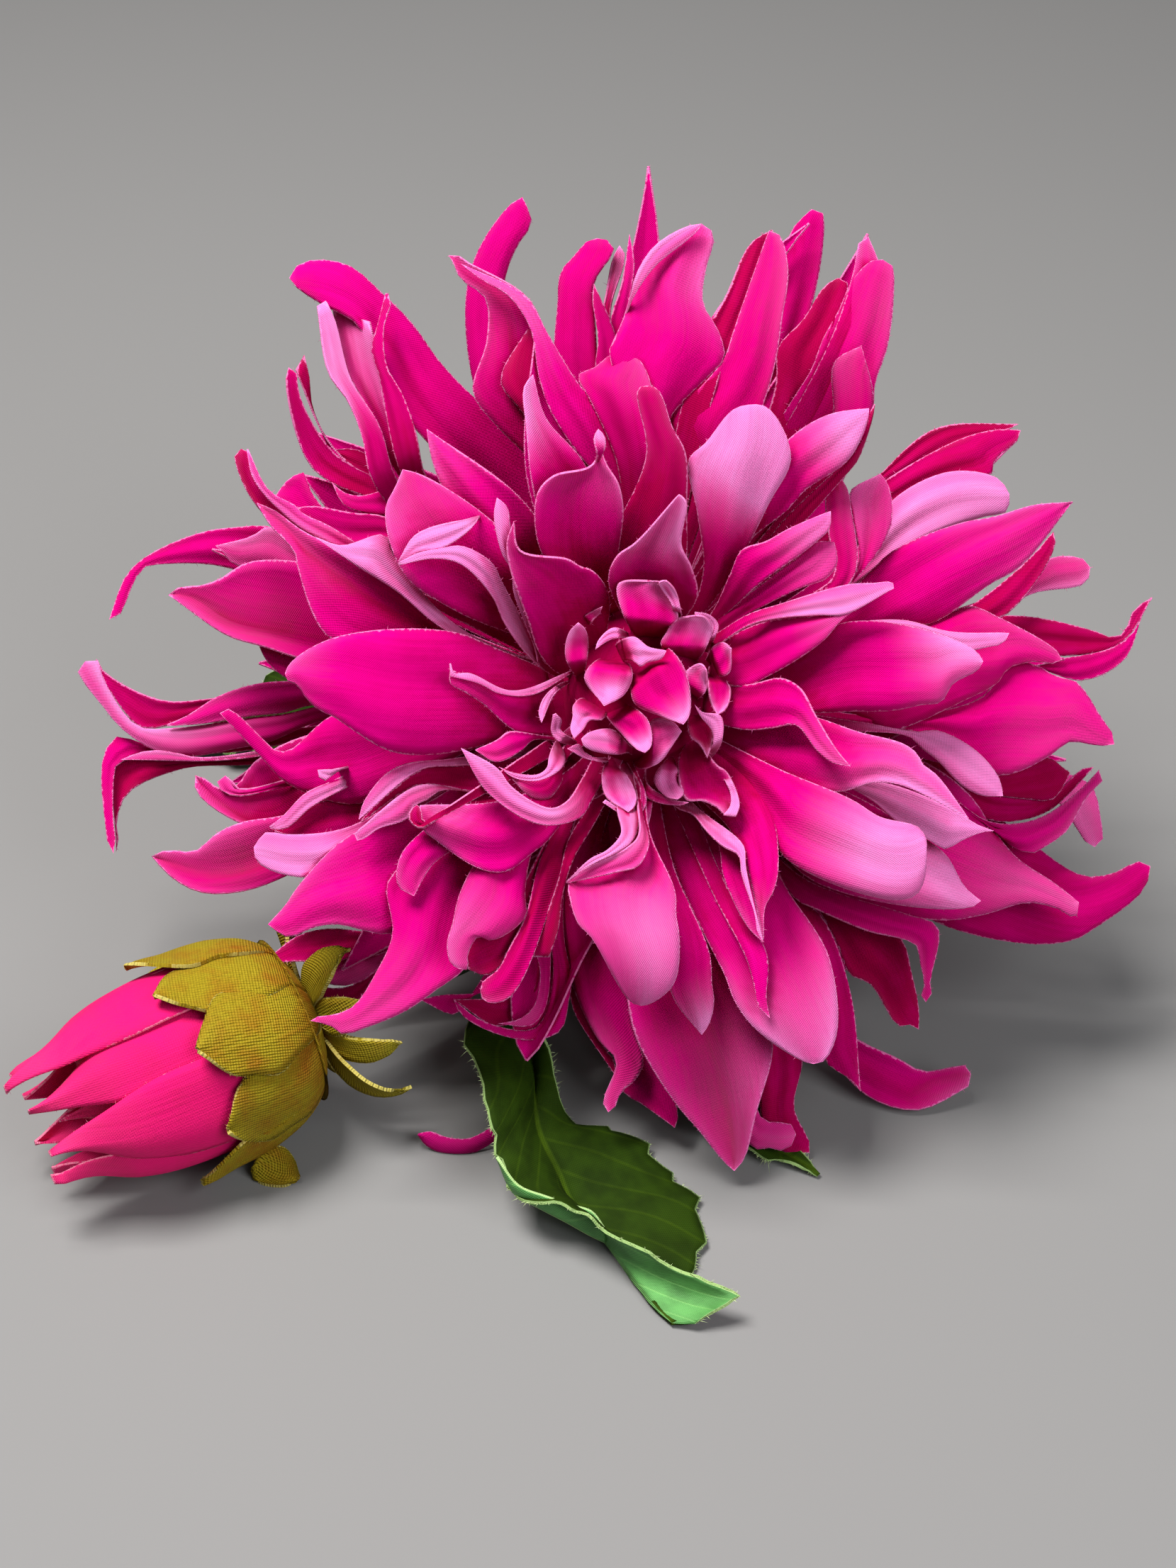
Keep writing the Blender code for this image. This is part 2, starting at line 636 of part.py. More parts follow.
def bud_point(degrees, radius, along_bud):
    """A place round the bud: 0 degrees is its top and 90 its side towards the viewer."""
    near = Vector((0.0, 0.0, 1.0)).cross(BUD_AXIS).normalized()
    up = BUD_AXIS.cross(near)
    angle = math.radians(degrees)
    out = up * math.cos(angle) + near * math.sin(angle)
    place = FOOT + BUD_BASE + BUD_AXIS * along_bud + out * radius
    place.z = max(place.z, 0.0)
    return place


def bud_frame():
    """Places a solid turned round its own Z on the bud's axis."""
    return Matrix.Translation((FOOT + BUD_BASE) * MM) @ BUD_AXIS.to_track_quat("Z", "Y").to_matrix().to_4x4()


def wrapped(centre, spread, stations, shares, inner, outer, tip, name):
    """A blade wrapped round the bud between two radii, given as functions of the distance."""
    sheets = []
    for along_bud, share in zip(stations, shares):
        half = spread * share
        middle = (inner(along_bud) + outer(along_bud)) / 2
        edges = [bud_point(centre + half * side, middle, along_bud) for side in (-1, 1)]
        over = [edges[0]]
        flat = [centre + half * side for side in (-FLAT_SHARE, FLAT_SHARE)]
        over += [bud_point(degrees, outer(along_bud), along_bud) for degrees in flat]
        over.append(edges[1])
        under = [bud_point(degrees, inner(along_bud), along_bud) for degrees in flat]
        sheets.append(([point * MM for point in over], [point * MM for point in under]))
    return loft(sheets, tip * MM, name)


def bud_petals(group):
    """The closed bud: petals wrapped round a solid middle, their tips standing free."""
    profile = [(0.0, BUD_PROFILE[0][0])]
    profile += [(radius - BUD_CORE_INSET, at) for at, radius in BUD_PROFILE if at < BUD_CORE_END]
    profile.append((0.0, BUD_CORE_END))
    heart = turned("bud_petals", profile, group, bud_frame())
    repeats = helper_collection("bud_blades")
    for centre, spread, length, tip_radius in BUD_PETALS:
        data = wrapped(
            centre,
            spread,
            BUD_PETAL_STATIONS,
            BUD_PETAL_SHARES,
            lambda at: bud_radius(at) - BUD_THICKNESS - (BUD_ROOT_SINK if at < BUD_CORE_END else 0.0),
            bud_radius,
            bud_point(centre, tip_radius, length),
            "bud_blade",
        )
        new_object("bud_blade", data, repeats)
    return join(heart, repeats)


def bud_calyx(group):
    """The bud's green cup with its sepals and bracts."""
    base = BUD_PROFILE[0][0]
    rim = bud_radius(base) + GAP
    inside = [(bud_radius(at) + GAP, at) for at in CUP_WALL]
    outside = [(radius + SEPAL_THICKNESS, at) for radius, at in reversed(inside)]
    floor = base - GAP
    neck = [(radius, floor - drop) for radius, drop in NECK]
    profile = [(0.0, floor), (rim, floor), *inside, *outside, (rim, floor - CUP_FLOOR), *neck]
    profile.append((0.0, neck[-1][1]))
    cup = turned("bud_calyx", profile, group, bud_frame())
    repeats = helper_collection("sepals")
    for centre, spread, length in SEPALS:
        data = wrapped(
            centre,
            spread,
            SEPAL_STATIONS,
            SEPAL_SHARES,
            lambda at: (bud_radius(at) + GAP) * SEPAL_CLEARANCE,
            lambda at: (bud_radius(at) + GAP) * SEPAL_CLEARANCE + SEPAL_THICKNESS,
            bud_point(centre, bud_radius(length) + GAP + SEPAL_THICKNESS, length),
            "sepal",
        )
        new_object("sepal", data, repeats)
    for centre, length, width, bend in BRACTS:
        new_object("bract", bract(centre, length, width, bend), repeats)
    return join(cup, repeats)


def bract(centre, length, width, bend):
    """A small leaf that spreads from the bud's neck and bends back along the stem."""
    neck = BUD_PROFILE[0][0] - BRACT_DROP
    lift = BUD_AXIS * BRACT_HALF_THICKNESS
    sheets = []
    for share, swell in BRACT_SHAPE:
        out = BRACT_ROOT + length * math.sin(share * math.pi / 2)
        back = neck - bend * share * share
        half = math.degrees(width / 2 * swell / out)
        edges = [bud_point(centre + half * side, out, back) for side in (-1, 1)]
        middle = bud_point(centre, out, back)
        sheets.append(([edges[0] * MM, (middle + lift) * MM, edges[1] * MM], [(middle - lift) * MM]))
    tip = bud_point(centre, BRACT_ROOT + length, neck - bend)
    return loft(sheets, tip * MM, "bract")


def smooth_route(points, steps):
    """Places on a smooth curve through the given points."""
    spots = [FOOT + Vector(point) for point in points]
    ends = [spots[0] * 2 - spots[1], *spots, spots[-1] * 2 - spots[-2]]
    found = []
    for a, b, c, d in zip(ends, ends[1:], ends[2:], ends[3:]):
        for step in range(steps):
            t = step / steps
            bend = (a * 2 - b * 5 + c * 4 - d) * t**2 + (b * 3 - a - c * 3 + d) * t**3
            found.append((b * 2 + (c - a) * t + bend) / 2)
    found.append(spots[-1])
    return found


def wire(name, route, radius, group):
    """A round wire along a route, as a closed mesh."""
    curve = bpy.data.curves.new(name, "CURVE")
    curve.dimensions = "3D"
    curve.bevel_depth = radius * MM
    curve.bevel_resolution = 2
    curve.use_fill_caps = True
    spline = curve.splines.new("POLY")
    places = smooth_route(route, ROUTE_STEPS)
    spline.points.add(len(places) - 1)
    for point, place in zip(spline.points, places):
        point.co = (*(place * MM), 1.0)
    guide = new_object(name + "_curve", curve, group)
    bpy.context.view_layer.update()
    data = bpy.data.meshes.new_from_object(guide.evaluated_get(bpy.context.evaluated_depsgraph_get()))
    bpy.data.objects.remove(guide)
    mesh = bmesh.new()
    mesh.from_mesh(data)
    bmesh.ops.remove_doubles(mesh, verts=mesh.verts, dist=WELD * MM)
    face_out(mesh)
    mesh.to_mesh(data)
    mesh.free()
    return new_object(name, data, group)


def stem(group):
    """The main stem with the branch to the bud."""
    made = wire("stem", STEM_ROUTE, STEM_RADIUS, group)
    repeats = helper_collection("branches")
    wire("branch", BRANCH_ROUTE, BRANCH_RADIUS, repeats)
    return join(made, repeats)


def leaf_sheet(keel, left, right, heading):
    """The upper and lower points of a leaf across its middle line, lifted clear of the table."""
    keel, left, right = (FOOT + Vector(point) for point in (keel, left, right))
    faces = [(left - keel).cross(heading).normalized(), heading.cross(right - keel).normalized()]
    spine = (faces[0] + faces[1]).normalized()
    rib = spine * (LEAF_RIB_THICKNESS / 2)
    middles = [((keel + edge) / 2, face * (LEAF_THICKNESS / 2)) for edge, face in zip((left, right), faces)]
    over = [left, middles[0][0] + middles[0][1], keel + rib, middles[1][0] + middles[1][1], right]
    under = [middles[0][0] - middles[0][1], keel - rib, middles[1][0] - middles[1][1]]
    low = Vector((0.0, 0.0, max(0.0, -min(point.z for point in over + under))))
    return [(point + low) * MM for point in over], [(point + low) * MM for point in under]


def toothed(rows):
    """Adds a notch between each two rows, so that the edges are cut into teeth."""
    found = []
    for low, high in zip(rows, rows[1:]):
        found.append(low)
        keel, left, right = ((Vector(a) + Vector(b)) / 2 for a, b in zip(low, high))
        found.append((keel, keel + (left - keel) * LEAF_TEETH, keel + (right - keel) * LEAF_TEETH))
    found.append(rows[-1])
    return found


def leaf_rows(route, width):
    """Rows of a plain leaf: a thin stalk, then a blade that swells and closes."""
    places = [place - FOOT for place in smooth_route(route, LEAF_ROUTE_STEPS)]
    rows = []
    for index, place in enumerate(places[:-1]):
        t = index / (len(places) - 1)
        heading = (places[index + 1] - place).normalized()
        side = heading.cross(Vector((0.0, 0.0, 1.0))).normalized()
        blade_t = max(0.0, (t - LEAF_STALK_SHARE) / (1.0 - LEAF_STALK_SHARE))
        half = max(LEAF_STALK_WIDTH / 2, width / 2 * math.sin(math.pi * blade_t**LEAF_BELLY))
        lift = Vector((0.0, 0.0, half * math.sin(math.radians(LEAF_LIFT))))
        rows.append((place, place - side * half + lift, place + side * half + lift))
    return rows, places[-1]


def leaf(name, rows, tip, group):
    """One leaf as a solid."""
    rows = toothed(rows)
    keels = [Vector(row[0]) for row in rows]
    ends = [*keels[1:], Vector(tip)]
    starts = [keels[0], *keels[:-1]]
    sheets = [leaf_sheet(*row, end - start) for row, start, end in zip(rows, starts, ends)]
    return new_object(name, loft(sheets, (FOOT + Vector(tip)) * MM, name), group)


def leaves(group):
    """The three leaves."""
    made = [leaf("front_leaf", FRONT_LEAF, FRONT_LEAF_TIP, group)]
    for name, route, width in (
        ("right_leaf", RIGHT_LEAF, RIGHT_LEAF_WIDTH),
        ("back_leaf", BACK_LEAF, BACK_LEAF_WIDTH),
    ):
        rows, tip = leaf_rows(route, width)
        made.append(leaf(name, rows, tip, group))
    return made


def bloom_cup(group):
    """The green cup that holds the bloom on its stem."""
    frame = Matrix.Translation(HEART * MM) @ bloom_matrix().to_3x3().to_4x4()
    cup = turned("bloom_calyx", CUP_PROFILE, group, frame)
    repeats = helper_collection("cup_sepals")
    for index in range(CUP_SEPALS):
        at = 90.0 + 360.0 * index / CUP_SEPALS
        row = Petal(at, at, CUP_SEPAL_REACH, CUP_SEPAL_WIDTH, 0, 0, CUP_SEPAL_HOLLOW, BACK_LOOK.blunt)
        points = midrib(row, *CUP_RING[:4])
        data = blade(row, points, CUP_RING.steps, FLORET_THICKNESS, bloom_matrix(), "cup_sepal")
        new_object("cup_sepal", data, repeats)
    return join(cup, repeats)


def main():
    for old in list(bpy.data.objects):
        bpy.data.objects.remove(old)
    spray = bpy.data.collections.new("dahlia_spray")
    bpy.context.scene.collection.children.link(spray)
    magenta = material("magenta_fabric", (0.62, 0.005, 0.20), 0.55)
    crimson = material("crimson_fabric", (0.66, 0.008, 0.12), 0.55)
    olive = material("olive_fabric", (0.42, 0.32, 0.02), 0.6)
    green = material("green_plastic", (0.04, 0.10, 0.02), 0.5)
    leaf_green = material("leaf_fabric", (0.02, 0.09, 0.01), 0.6)
    bloom(spray).data.materials.append(magenta)
    bloom_cup(spray).data.materials.append(green)
    stem(spray).data.materials.append(green)
    bud_petals(spray).data.materials.append(crimson)
    bud_calyx(spray).data.materials.append(olive)
    for made in leaves(spray):
        made.data.materials.append(leaf_green)


main()
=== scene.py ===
"""The looks of a fabric dahlia spray: a layered magenta bloom, a side bud, three leaves and a wire stem.

Metres in Blender, millimetres in this file. The bloom is built in its own axes, right, up its face
and out towards the viewer, round its heart, and everything else in table coordinates from its foot.
"""
import math
from collections import namedtuple

import bpy
import numpy as np
from mathutils import Matrix, Vector
from mathutils.bvhtree import BVHTree


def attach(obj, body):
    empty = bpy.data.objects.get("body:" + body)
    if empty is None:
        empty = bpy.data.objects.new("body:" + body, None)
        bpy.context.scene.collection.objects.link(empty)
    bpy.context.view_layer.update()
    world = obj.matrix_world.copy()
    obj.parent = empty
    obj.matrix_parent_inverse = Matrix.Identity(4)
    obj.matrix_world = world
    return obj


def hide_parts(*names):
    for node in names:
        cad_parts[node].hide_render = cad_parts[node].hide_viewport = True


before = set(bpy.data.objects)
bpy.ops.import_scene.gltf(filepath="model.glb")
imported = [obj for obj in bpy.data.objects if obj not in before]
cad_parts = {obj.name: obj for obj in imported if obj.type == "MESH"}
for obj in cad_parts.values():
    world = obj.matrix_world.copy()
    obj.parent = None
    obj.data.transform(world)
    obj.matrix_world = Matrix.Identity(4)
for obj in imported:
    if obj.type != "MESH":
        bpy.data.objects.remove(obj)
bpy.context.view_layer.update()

MM = 0.001
HEART = np.array([7.2, -20.5, 51.0])
FOOT = np.array([HEART[0], HEART[1], 0.0])
BLOOM_TILT = math.radians(40.0)
RIGHT = np.array([1.0, 0.0, 0.0])
FACE_UP = np.array([0.0, math.sin(BLOOM_TILT), math.cos(BLOOM_TILT)])
OUTWARD = np.array([0.0, -math.cos(BLOOM_TILT), math.sin(BLOOM_TILT)])
BLOOM_AXES = np.array([RIGHT, FACE_UP, OUTWARD])
ALONG_AXIS = np.array([0.0, 0.0, 1.0])

# The camera looks straight at the bloom's face
CAMERA_DISTANCE = 360.0
CAMERA_LEFT = 7.05
CAMERA_DOWN = 12.6
FOCAL_PIXELS = 3600.0
FRAME_PIXELS = 2212.0
SENSOR = 36.0
CLIP_START = 0.01

# The studio, in metres and watts: a window high on the left, a weaker fill from the right
Lamp = namedtuple("Lamp", "name place size power colour")
LAMPS = (
    Lamp("window", (-0.22, -0.02, 0.70), 0.28, 10.5, (1.0, 0.98, 0.97)),
    Lamp("fill", (0.40, -0.45, 0.50), 0.4, 3.9, (0.95, 0.97, 1.0)),
)
WORLD_COLOUR = (0.92, 0.95, 1.0, 1.0)
WORLD_STRENGTH = 0.15
FLOOR_HALF = 3.0
FLOOR_COLOUR = (0.175, 0.173, 0.169, 1.0)
FLOOR_ROUGHNESS = 0.75

# A petal's ring of roots, the pull of its middle line, its width at the root as a share of the
# full one, where it is widest, and half its width at the tip
ROOT_RADIUS = 7.0
PULL = 0.36
ROOT_SHARE = 0.22
WIDEST_AT = 0.5
TIP_HALF = 0.12

# The fabric's thickness, its thread spacing and how far its creases outdo the threads; then
# the rows and columns of a petal's sheet, and how far the columns crowd to its edges
FABRIC = 0.26
WEAVE = 0.30
RUMPLE = 4.0
ROWS = 26
COLUMNS = 12
EDGE_CROWDING = 0.6

# Lengthwise pleats, unevenness of the cut, sideways sway, where the tip's curl starts, and the
# crease and twist of a sheet. FULL_HALF is the half width at which they reach their full size.
PLEATS = 5.5
PLEAT_DEPTH = 0.4
UNEVEN = 0.1
SWAY = 0.9
SWAY_TURN = 5.0
CURL_FROM = 0.4
MISS_RISE = 0.35
RIB_DEPTH = 0.035
RIB_HALF = 0.16
WARP = 0.35
FULL_HALF = 6.0

# Loose threads along the cut edges: spacing, length, half width, height as a share of it, how
# far inside the edge they start, how far they lean, and how alike their lengths are
FRAY_STEP = 0.6
FRAY_LENGTH = 0.24
FRAY_HALF = 0.045
FRAY_HEIGHT = 1.4
FRAY_INSET = 0.08
FRAY_LEAN = 0.55
FRAY_LIFT = 0.35
FRAY_ALIKE = 3.0

# Each sheet's weave starts at its own place: off by this for each radian, or by up to this
WEAVE_SHIFT = 20.0
WEAVE_SPREAD = 60.0

# How far sheets on the table stand off it, how much nearer the tip's cut edge looks than the
# sides', and the smallest radius of what is turned
TABLE_GAP = 0.02
TIP_RIM = 0.8
AXIS_RADIUS = 0.05

draw = np.random.default_rng(7)

# The bloom's layers from the heart to the back: the height of the roots, how steeply petals
# start, the height of the tips, how steeply they end, how far tips curl towards the viewer, how
# far edges wave, and how pale or deep the colour is. The last two rings lie behind the bloom.
Layer = namedtuple("Layer", "root_height launch tip_height pitch curl ruffle pale deep")
HEART_LAYER = Layer(12.0, 0.0, 12.0, 0.0, 0.0, 0.2, 0.45, 0.0)
INNER = Layer(8.0, 70.0, 31.0, 20.0, 10.0, 0.25, 0.25, 0.0)
FOLDED = Layer(6.0, 66.0, 23.0, -50.0, 0.0, 0.3, 0.35, 0.0)
SECOND = Layer(4.0, 50.0, 26.0, 0.0, 10.0, 0.35, 0.3, 0.0)
THIRD = Layer(0.0, 35.0, 16.0, -10.0, 12.0, 0.5, 0.2, 0.05)
HANGING = Layer(0.0, 30.0, 5.0, -22.0, 0.0, 0.5, 0.1, 0.1)
FOURTH = Layer(-8.0, 14.0, 3.0, 0.0, 14.0, 0.6, 0.15, 0.15)
OUTER = Layer(-13.0, -8.0, -8.0, 8.0, 16.0, 0.6, 0.15, 0.2)
BACK = Layer(-17.0, -10.0, -18.0, -4.0, 6.0, 0.6, 0.1, 0.15)
UNDER = Layer(-12.0, 0.0, -5.0, 0.0, 6.0, 0.6, 0.1, 0.3)

# Petals half hidden among the drawn ones: the direction of the root and of the tip round the
# axis, the reach and width, how far the tip swings aside, the roll, the half angle of the
# hollow, and how blunt the tip is
Petal = namedtuple("Petal", "root tip reach width turn roll cup blunt")
THIRD_PETALS = (Petal(112, 106, 50.8, 9, -10, 0, 40, 1.6),)
FOURTH_PETALS = (
    Petal(13, 4.6, 59.3, 11, -8, 0, 30, 1.6),
    Petal(252, 253, 53.4, 12, 0, 30, 50, 3),
    Petal(217, 214.3, 59, 11, 0, 0, 30, 1.8),
    Petal(222, 223, 56.4, 10, 0, 0, 30, 2),
)
OUTER_PETALS = (
    Petal(91, 88.8, 75.6, 9, 0, 0, 40, 1.6),
    Petal(72, 70, 71.8, 8, -30, 0, 40, 1.6),
    Petal(64, 63.5, 73.7, 7, 0, 0, 40, 1.6),
    Petal(40, 34, 65.4, 8, 0, 0, 40, 1.6),
    Petal(350, 351.5, 62, 9, 0, 0, 40, 1.8),
    Petal(162, 161, 64.3, 8, 0, 0, 40, 1.8),
    Petal(147, 146.6, 57.5, 9, 0, 0, 40, 2.4),
)

# Hidden petals behind the bloom follow a rule: one ring at the very back, left out where the
# stem runs, and one all the way round under the drawn petals
BACK_FROM = 312.0
BACK_TO = 586.0
BACK_PETALS = 17
BACK_REACH = 57.0
BACK_REACH_WAVE = 5.0
BACK_WAVE_STEP = 2.4
BACK_SWING = 4.0
BACK_LOOK = Petal(0, 0, 0, width=13, turn=6, roll=0, cup=35, blunt=1.8)
UNDER_TO = 341.0
UNDER_REACH = 46.0
UNDER_PETALS = 19

# The heart's solid middle behind the petals, as radius and height along the bloom's axis
CORE_PROFILE = (
    (0.5, -22.0),
    (10.0, -21.5),
    (13.5, -17.0),
    (15.0, -6.0),
    (13.0, 5.0),
    (8.5, 14.0),
    (4.2, 17.5),
    (0.5, 19.0),
)

# The green cup behind the bloom, as radius and height, and its ring of small sepals
CUP_PROFILE = (
    (0.3, -22.4),
    (9.5, -22.4),
    (10.6, -24.0),
    (8.0, -28.0),
    (4.0, -31.0),
    (3.0, -35.0),
    (0.3, -35.0),
)
CUP_RING = Layer(-25.5, 10.0, -27.0, -25.0, 0.0, 0.3, 0.3, 0.0)
CUP_SEPALS = 7
CUP_SEPAL = Petal(0, 0, 21, width=9, turn=0, roll=0, cup=25, blunt=1.8)
CUP_SEPAL_ROWS = 14
CUP_SEPAL_COLUMNS = 8
CUP_FABRIC = 0.5

# The wire stem and its branch. From here on, points are measured from the foot, the table
# under the heart.
STEM_RADIUS = 2.2
STEM_ROUTE = (
    (0.0, 27.1, 28.3),
    (0.0, 38.0, 19.0),
    (0.0, 48.0, 11.5),
    (0.0, 60.0, 5.2),
    (0.5, 74.0, 2.6),
    (1.0, 92.0, 2.25),
    (2.0, 112.0, 2.25),
)
BRANCH_RADIUS = 1.5
BRANCH_ROUTE = (
    (0.0, 50.0, 10.2),
    (-4.0, 36.0, 9.4),
    (-11.0, 12.0, 9.5),
    (-21.0, -8.0, 10.5),
    (-32.0, -19.0, 13.0),
    (-43.4, -26.2, 15.8),
)
WIRE_SIDES = 20
ROUTE_STEPS = 8
TURNED_SIDES = 32
TURNED_STEPS = 3

# The side bud: its base, the way it points, and its radius at distances from its base; then
# its sheets, how their edges lie over their neighbours', and its solid core and neck
BUD_BASE = np.array([-46.6, -27.9, 15.6])
BUD_AXIS = np.array([-0.877, -0.476, -0.06])
BUD_PROFILE = (
    (3, 10.4),
    (6, 12.4),
    (10, 13.4),
    (16, 13.9),
    (22, 13.9),
    (28, 13.2),
    (34, 11.4),
    (41, 8.8),
    (46, 6.4),
)
BUD_START = 3.0
BUD_ROWS = 30
BUD_COLUMNS = 12
BUD_FABRIC = 0.3
BUD_STEPS = 6
BUD_FRAY_FROM = 0.3
BUD_EDGE_OVER = 0.35
BUD_EDGE_WAVE = 0.3
BUD_EDGE_CLOSE = 1.1
BUD_TIP_OUT = 0.5
BUD_CORE_INSET = 4.5
BUD_CORE_END = 32.0
BUD_CORE_TIP = 0.1
BUD_CORE_STATIONS = 8
BUD_NECK = ((0.1, -4.0), (2.2, -3.9), (3.0, -1.0), (6.5, 0.6), (10.4, 2.2), (11.6, 2.7), (0.1, 2.8))

# Bud petals: where each sits round the bud, half its spread, its tip's distance, how far out
# from the bud's axis the tip stands, and how deep it lies; then the smaller ones inside them
BudPetal = namedtuple("BudPetal", "centre spread length tip_radius sink")
BUD_PETALS = (
    BudPetal(-18, 33, 43.0, 9.6, 0.2),
    BudPetal(26, 28, 41.5, 8.0, 0.9),
    BudPetal(50, 22, 38.0, 5.5, 2.2),
    BudPetal(74, 30, 41.0, 8.2, 0.3),
    BudPetal(118, 32, 41.5, 9.0, 0.6),
    BudPetal(164, 30, 40.5, 8.6, 0.9),
    BudPetal(210, 32, 41.0, 8.8, 0.3),
    BudPetal(255, 32, 40.2, 8.8, 0.7),
    BudPetal(300, 32, 41.2, 9.2, 0.5),
    BudPetal(5, 30, 36.0, 3.5, 3.4),
    BudPetal(95, 30, 36.5, 3.5, 3.6),
    BudPetal(185, 30, 35.0, 3.5, 3.4),
    BudPetal(275, 30, 36.0, 3.5, 3.6),
)

# Sepals over the bud: direction round it, half spread, length, and how far the tip stands off
Sepal = namedtuple("Sepal", "centre spread length lift")
SEPALS = (
    Sepal(-32, 21, 22.0, 0.7),
    Sepal(3, 20, 21.0, 0.3),
    Sepal(39, 23, 19.0, 0.9),
    Sepal(84, 26, 18.6, 0.3),
    Sepal(127, 24, 23.0, 0.8),
    Sepal(172, 22, 20.0, 0.3),
    Sepal(217, 23, 21.0, 0.8),
    Sepal(272, 25, 20.0, 0.5),
)
SEPAL_FABRIC = 0.5
SEPAL_GAP = 0.7
SEPAL_ROWS = 22
SEPAL_COLUMNS = 10
SEPAL_BASE = ((-0.6, 2.6), (0.4, 6.0), (1.6, 9.2), (3.2, 11.4), (6.0, 13.2), (10.0, 14.1))
SEPAL_BASE_STEPS = 5
SEPAL_TIP_OUT = 0.7
SEPAL_UNEVEN = 0.07
SEPAL_WAVE = 0.25
SEPAL_EDGE_OVER = 0.35
SEPAL_FRAY = 1.5

# Bracts behind the bud: direction round it, length, width, and how far back the tip bends; then
# their width as a share of the full one, at shares of their length
Bract = namedtuple("Bract", "centre length width bend")
BRACTS = (
    Bract(-25, 13.0, 3.2, 1.0),
    Bract(15, 10.5, 6.0, 6.0),
    Bract(55, 9.5, 6.0, 6.5),
    Bract(88, 10.5, 5.0, 9.0),
    Bract(113, 14.0, 6.1, 7.9),
    Bract(150, 9.0, 5.5, 3.0),
    Bract(215, 11.0, 6.0, 5.0),
    Bract(285, 11.0, 6.0, 5.0),
)
BRACT_SHARES = (0.0, 0.1, 0.45, 0.75, 0.93, 1.0)
BRACT_WIDTHS = (0.5, 0.6, 1.0, 0.85, 0.45, 0.06)
BRACT_ROOT = 2.0
BRACT_CURL = 0.9
BRACT_HOLLOW = 0.5
BRACT_FRAY = 1.2
BRACT_ROWS = 14
BRACT_COLUMNS = 6

# The front leaf, folded along its middle and turned over at its end. Each row: the middle
# line, the left edge and the right edge, from the stalk to the tip.
FRONT_LEAF = (
    ((-4, 26, 10.6), (-5.0, 26, 11.0), (-3.0, 26, 11.0)),
    ((-9, 2, 10.6), (-10.2, 2, 11.2), (-7.8, 2, 11.2)),
    ((-12, -10, 10.2), (-14.5, -10, 11.6), (-10.8, -10, 12.0)),
    ((-14.8, -24, 8.2), (-24.5, -24, 11.0), (-13.0, -24, 13.5)),
    ((-14.6, -32, 7.3), (-21.2, -42, 13.0), (-12.6, -31, 11.5)),
    ((-14.3, -41, 6.4), (-19.4, -49, 9.8), (-9.5, -38, 4.5)),
    ((-11.5, -47, 4.0), (-16.5, -55, 7.5), (-2.1, -38, 2.0)),
    ((-9.5, -51, 1.6), (-9.9, -58, 9.4), (3.7, -44, 1.4)),
    ((-5.3, -56.6, 1.2), (-5.6, -61, 9.0), (8.6, -51, 0.8)),
    ((-2.2, -61.7, 0.9), (4.0, -66, 6.4), (7.9, -60.5, 0.8)),
    ((1.1, -67.6, 0.8), (12.6, -69.6, 5.0), (4.2, -65.6, 0.8)),
    ((4.0, -71.0, 0.8), (7.0, -71.4, 1.4), (5.0, -70.6, 0.8)),
)

# The two plainer leaves: the route of the middle line and the width
RIGHT_LEAF = ((3.9, 50, 10.2), (5, 30, 8.0), (3, 5, 6.0), (5, -15, 3.6), (13, -34, 1.8), (25.3, -44.9, 0.8))
RIGHT_LEAF_WIDTH = 17.0
BACK_LEAF = ((-2.7, 66, 4.0), (-20, 62, 7.0), (-40, 57, 7.5), (-58, 52, 5.0), (-76, 48, 1.2))
BACK_LEAF_WIDTH = 27.0
LEAF_LIFT = 12.0
LEAF_BELLY = 0.85
LEAF_STALK_SHARE = 0.24
LEAF_STALK_HALF = 1.1
LEAF_ROUTE_STEPS = 4

# What the leaves share: thickness, columns a side, the teeth along the edge, the bulge and
# waves of each half, how far the stalk's deep share runs in the tint (the leaf materials do not
# read it), the side veins, the weave and the
# fringe
LEAF_FABRIC = 0.4
LEAF_HALF_COLUMNS = 9
LEAF_STEPS = 6
LEAF_TOOTH = 4.6
LEAF_TOOTH_DEPTH = 0.55
LEAF_BULGE = 0.07
LEAF_WAVE = 0.35
LEAF_WAVE_RATE = 0.9
LEAF_DEEP_LENGTH = 40.0
VEIN_STEP = 5.2
VEIN_SLANT = 0.9
LEAF_WEAVE = 0.38
LEAF_WEAVE_SLANT = 40.0
LEAF_FRAY_STEP = 0.4
LEAF_FRAY_LENGTH = 0.6
LEAF_FRAY_FROM = 0.45

# Small sheets by their two edges as they are seen, with the height of each: the leaf's turned
# edge, the flap under the bud, and the petal tip on the table beside the leaf
Shown = namedtuple("Shown", "first second first_height second_height")
LEAF_CURL = Shown(
    ((-19.9, -65.2), (-16.8, -69.2), (-13, -70.7), (-9, -72), (-6.4, -72.9), (-4.6, -75.4)),
    ((-19.9, -65.2), (-17.4, -70.4), (-14.2, -72.2), (-10, -74.4), (-6.4, -76.4), (-4.6, -77.2)),
    15.0,
    13.0,
)
BUD_FLAP = Shown(
    ((-54.4, -67), (-53.2, -64.8), (-50.4, -63.6), (-48.6, -65.2), (-47.8, -68)),
    ((-54.4, -67), (-53.8, -69), (-52.2, -70.2), (-49.6, -70.4), (-47.8, -68)),
    3.0,
    2.0,
)
TABLE_TIP = Shown(
    ((-31, -62), (-29.4, -61.6), (-27, -62.4), (-24, -62.6), (-21, -61.2), (-18, -59)),
    ((-31, -62), (-30, -63.4), (-27.6, -64.6), (-24, -64.8), (-21, -63.4), (-18, -61)),
    -1.0,
    -2.0,
)
SHOWN_ROWS = 24
SHOWN_COLUMNS = 6
SHOWN_BULGE = 0.5
SHOWN_TINT = 0.2

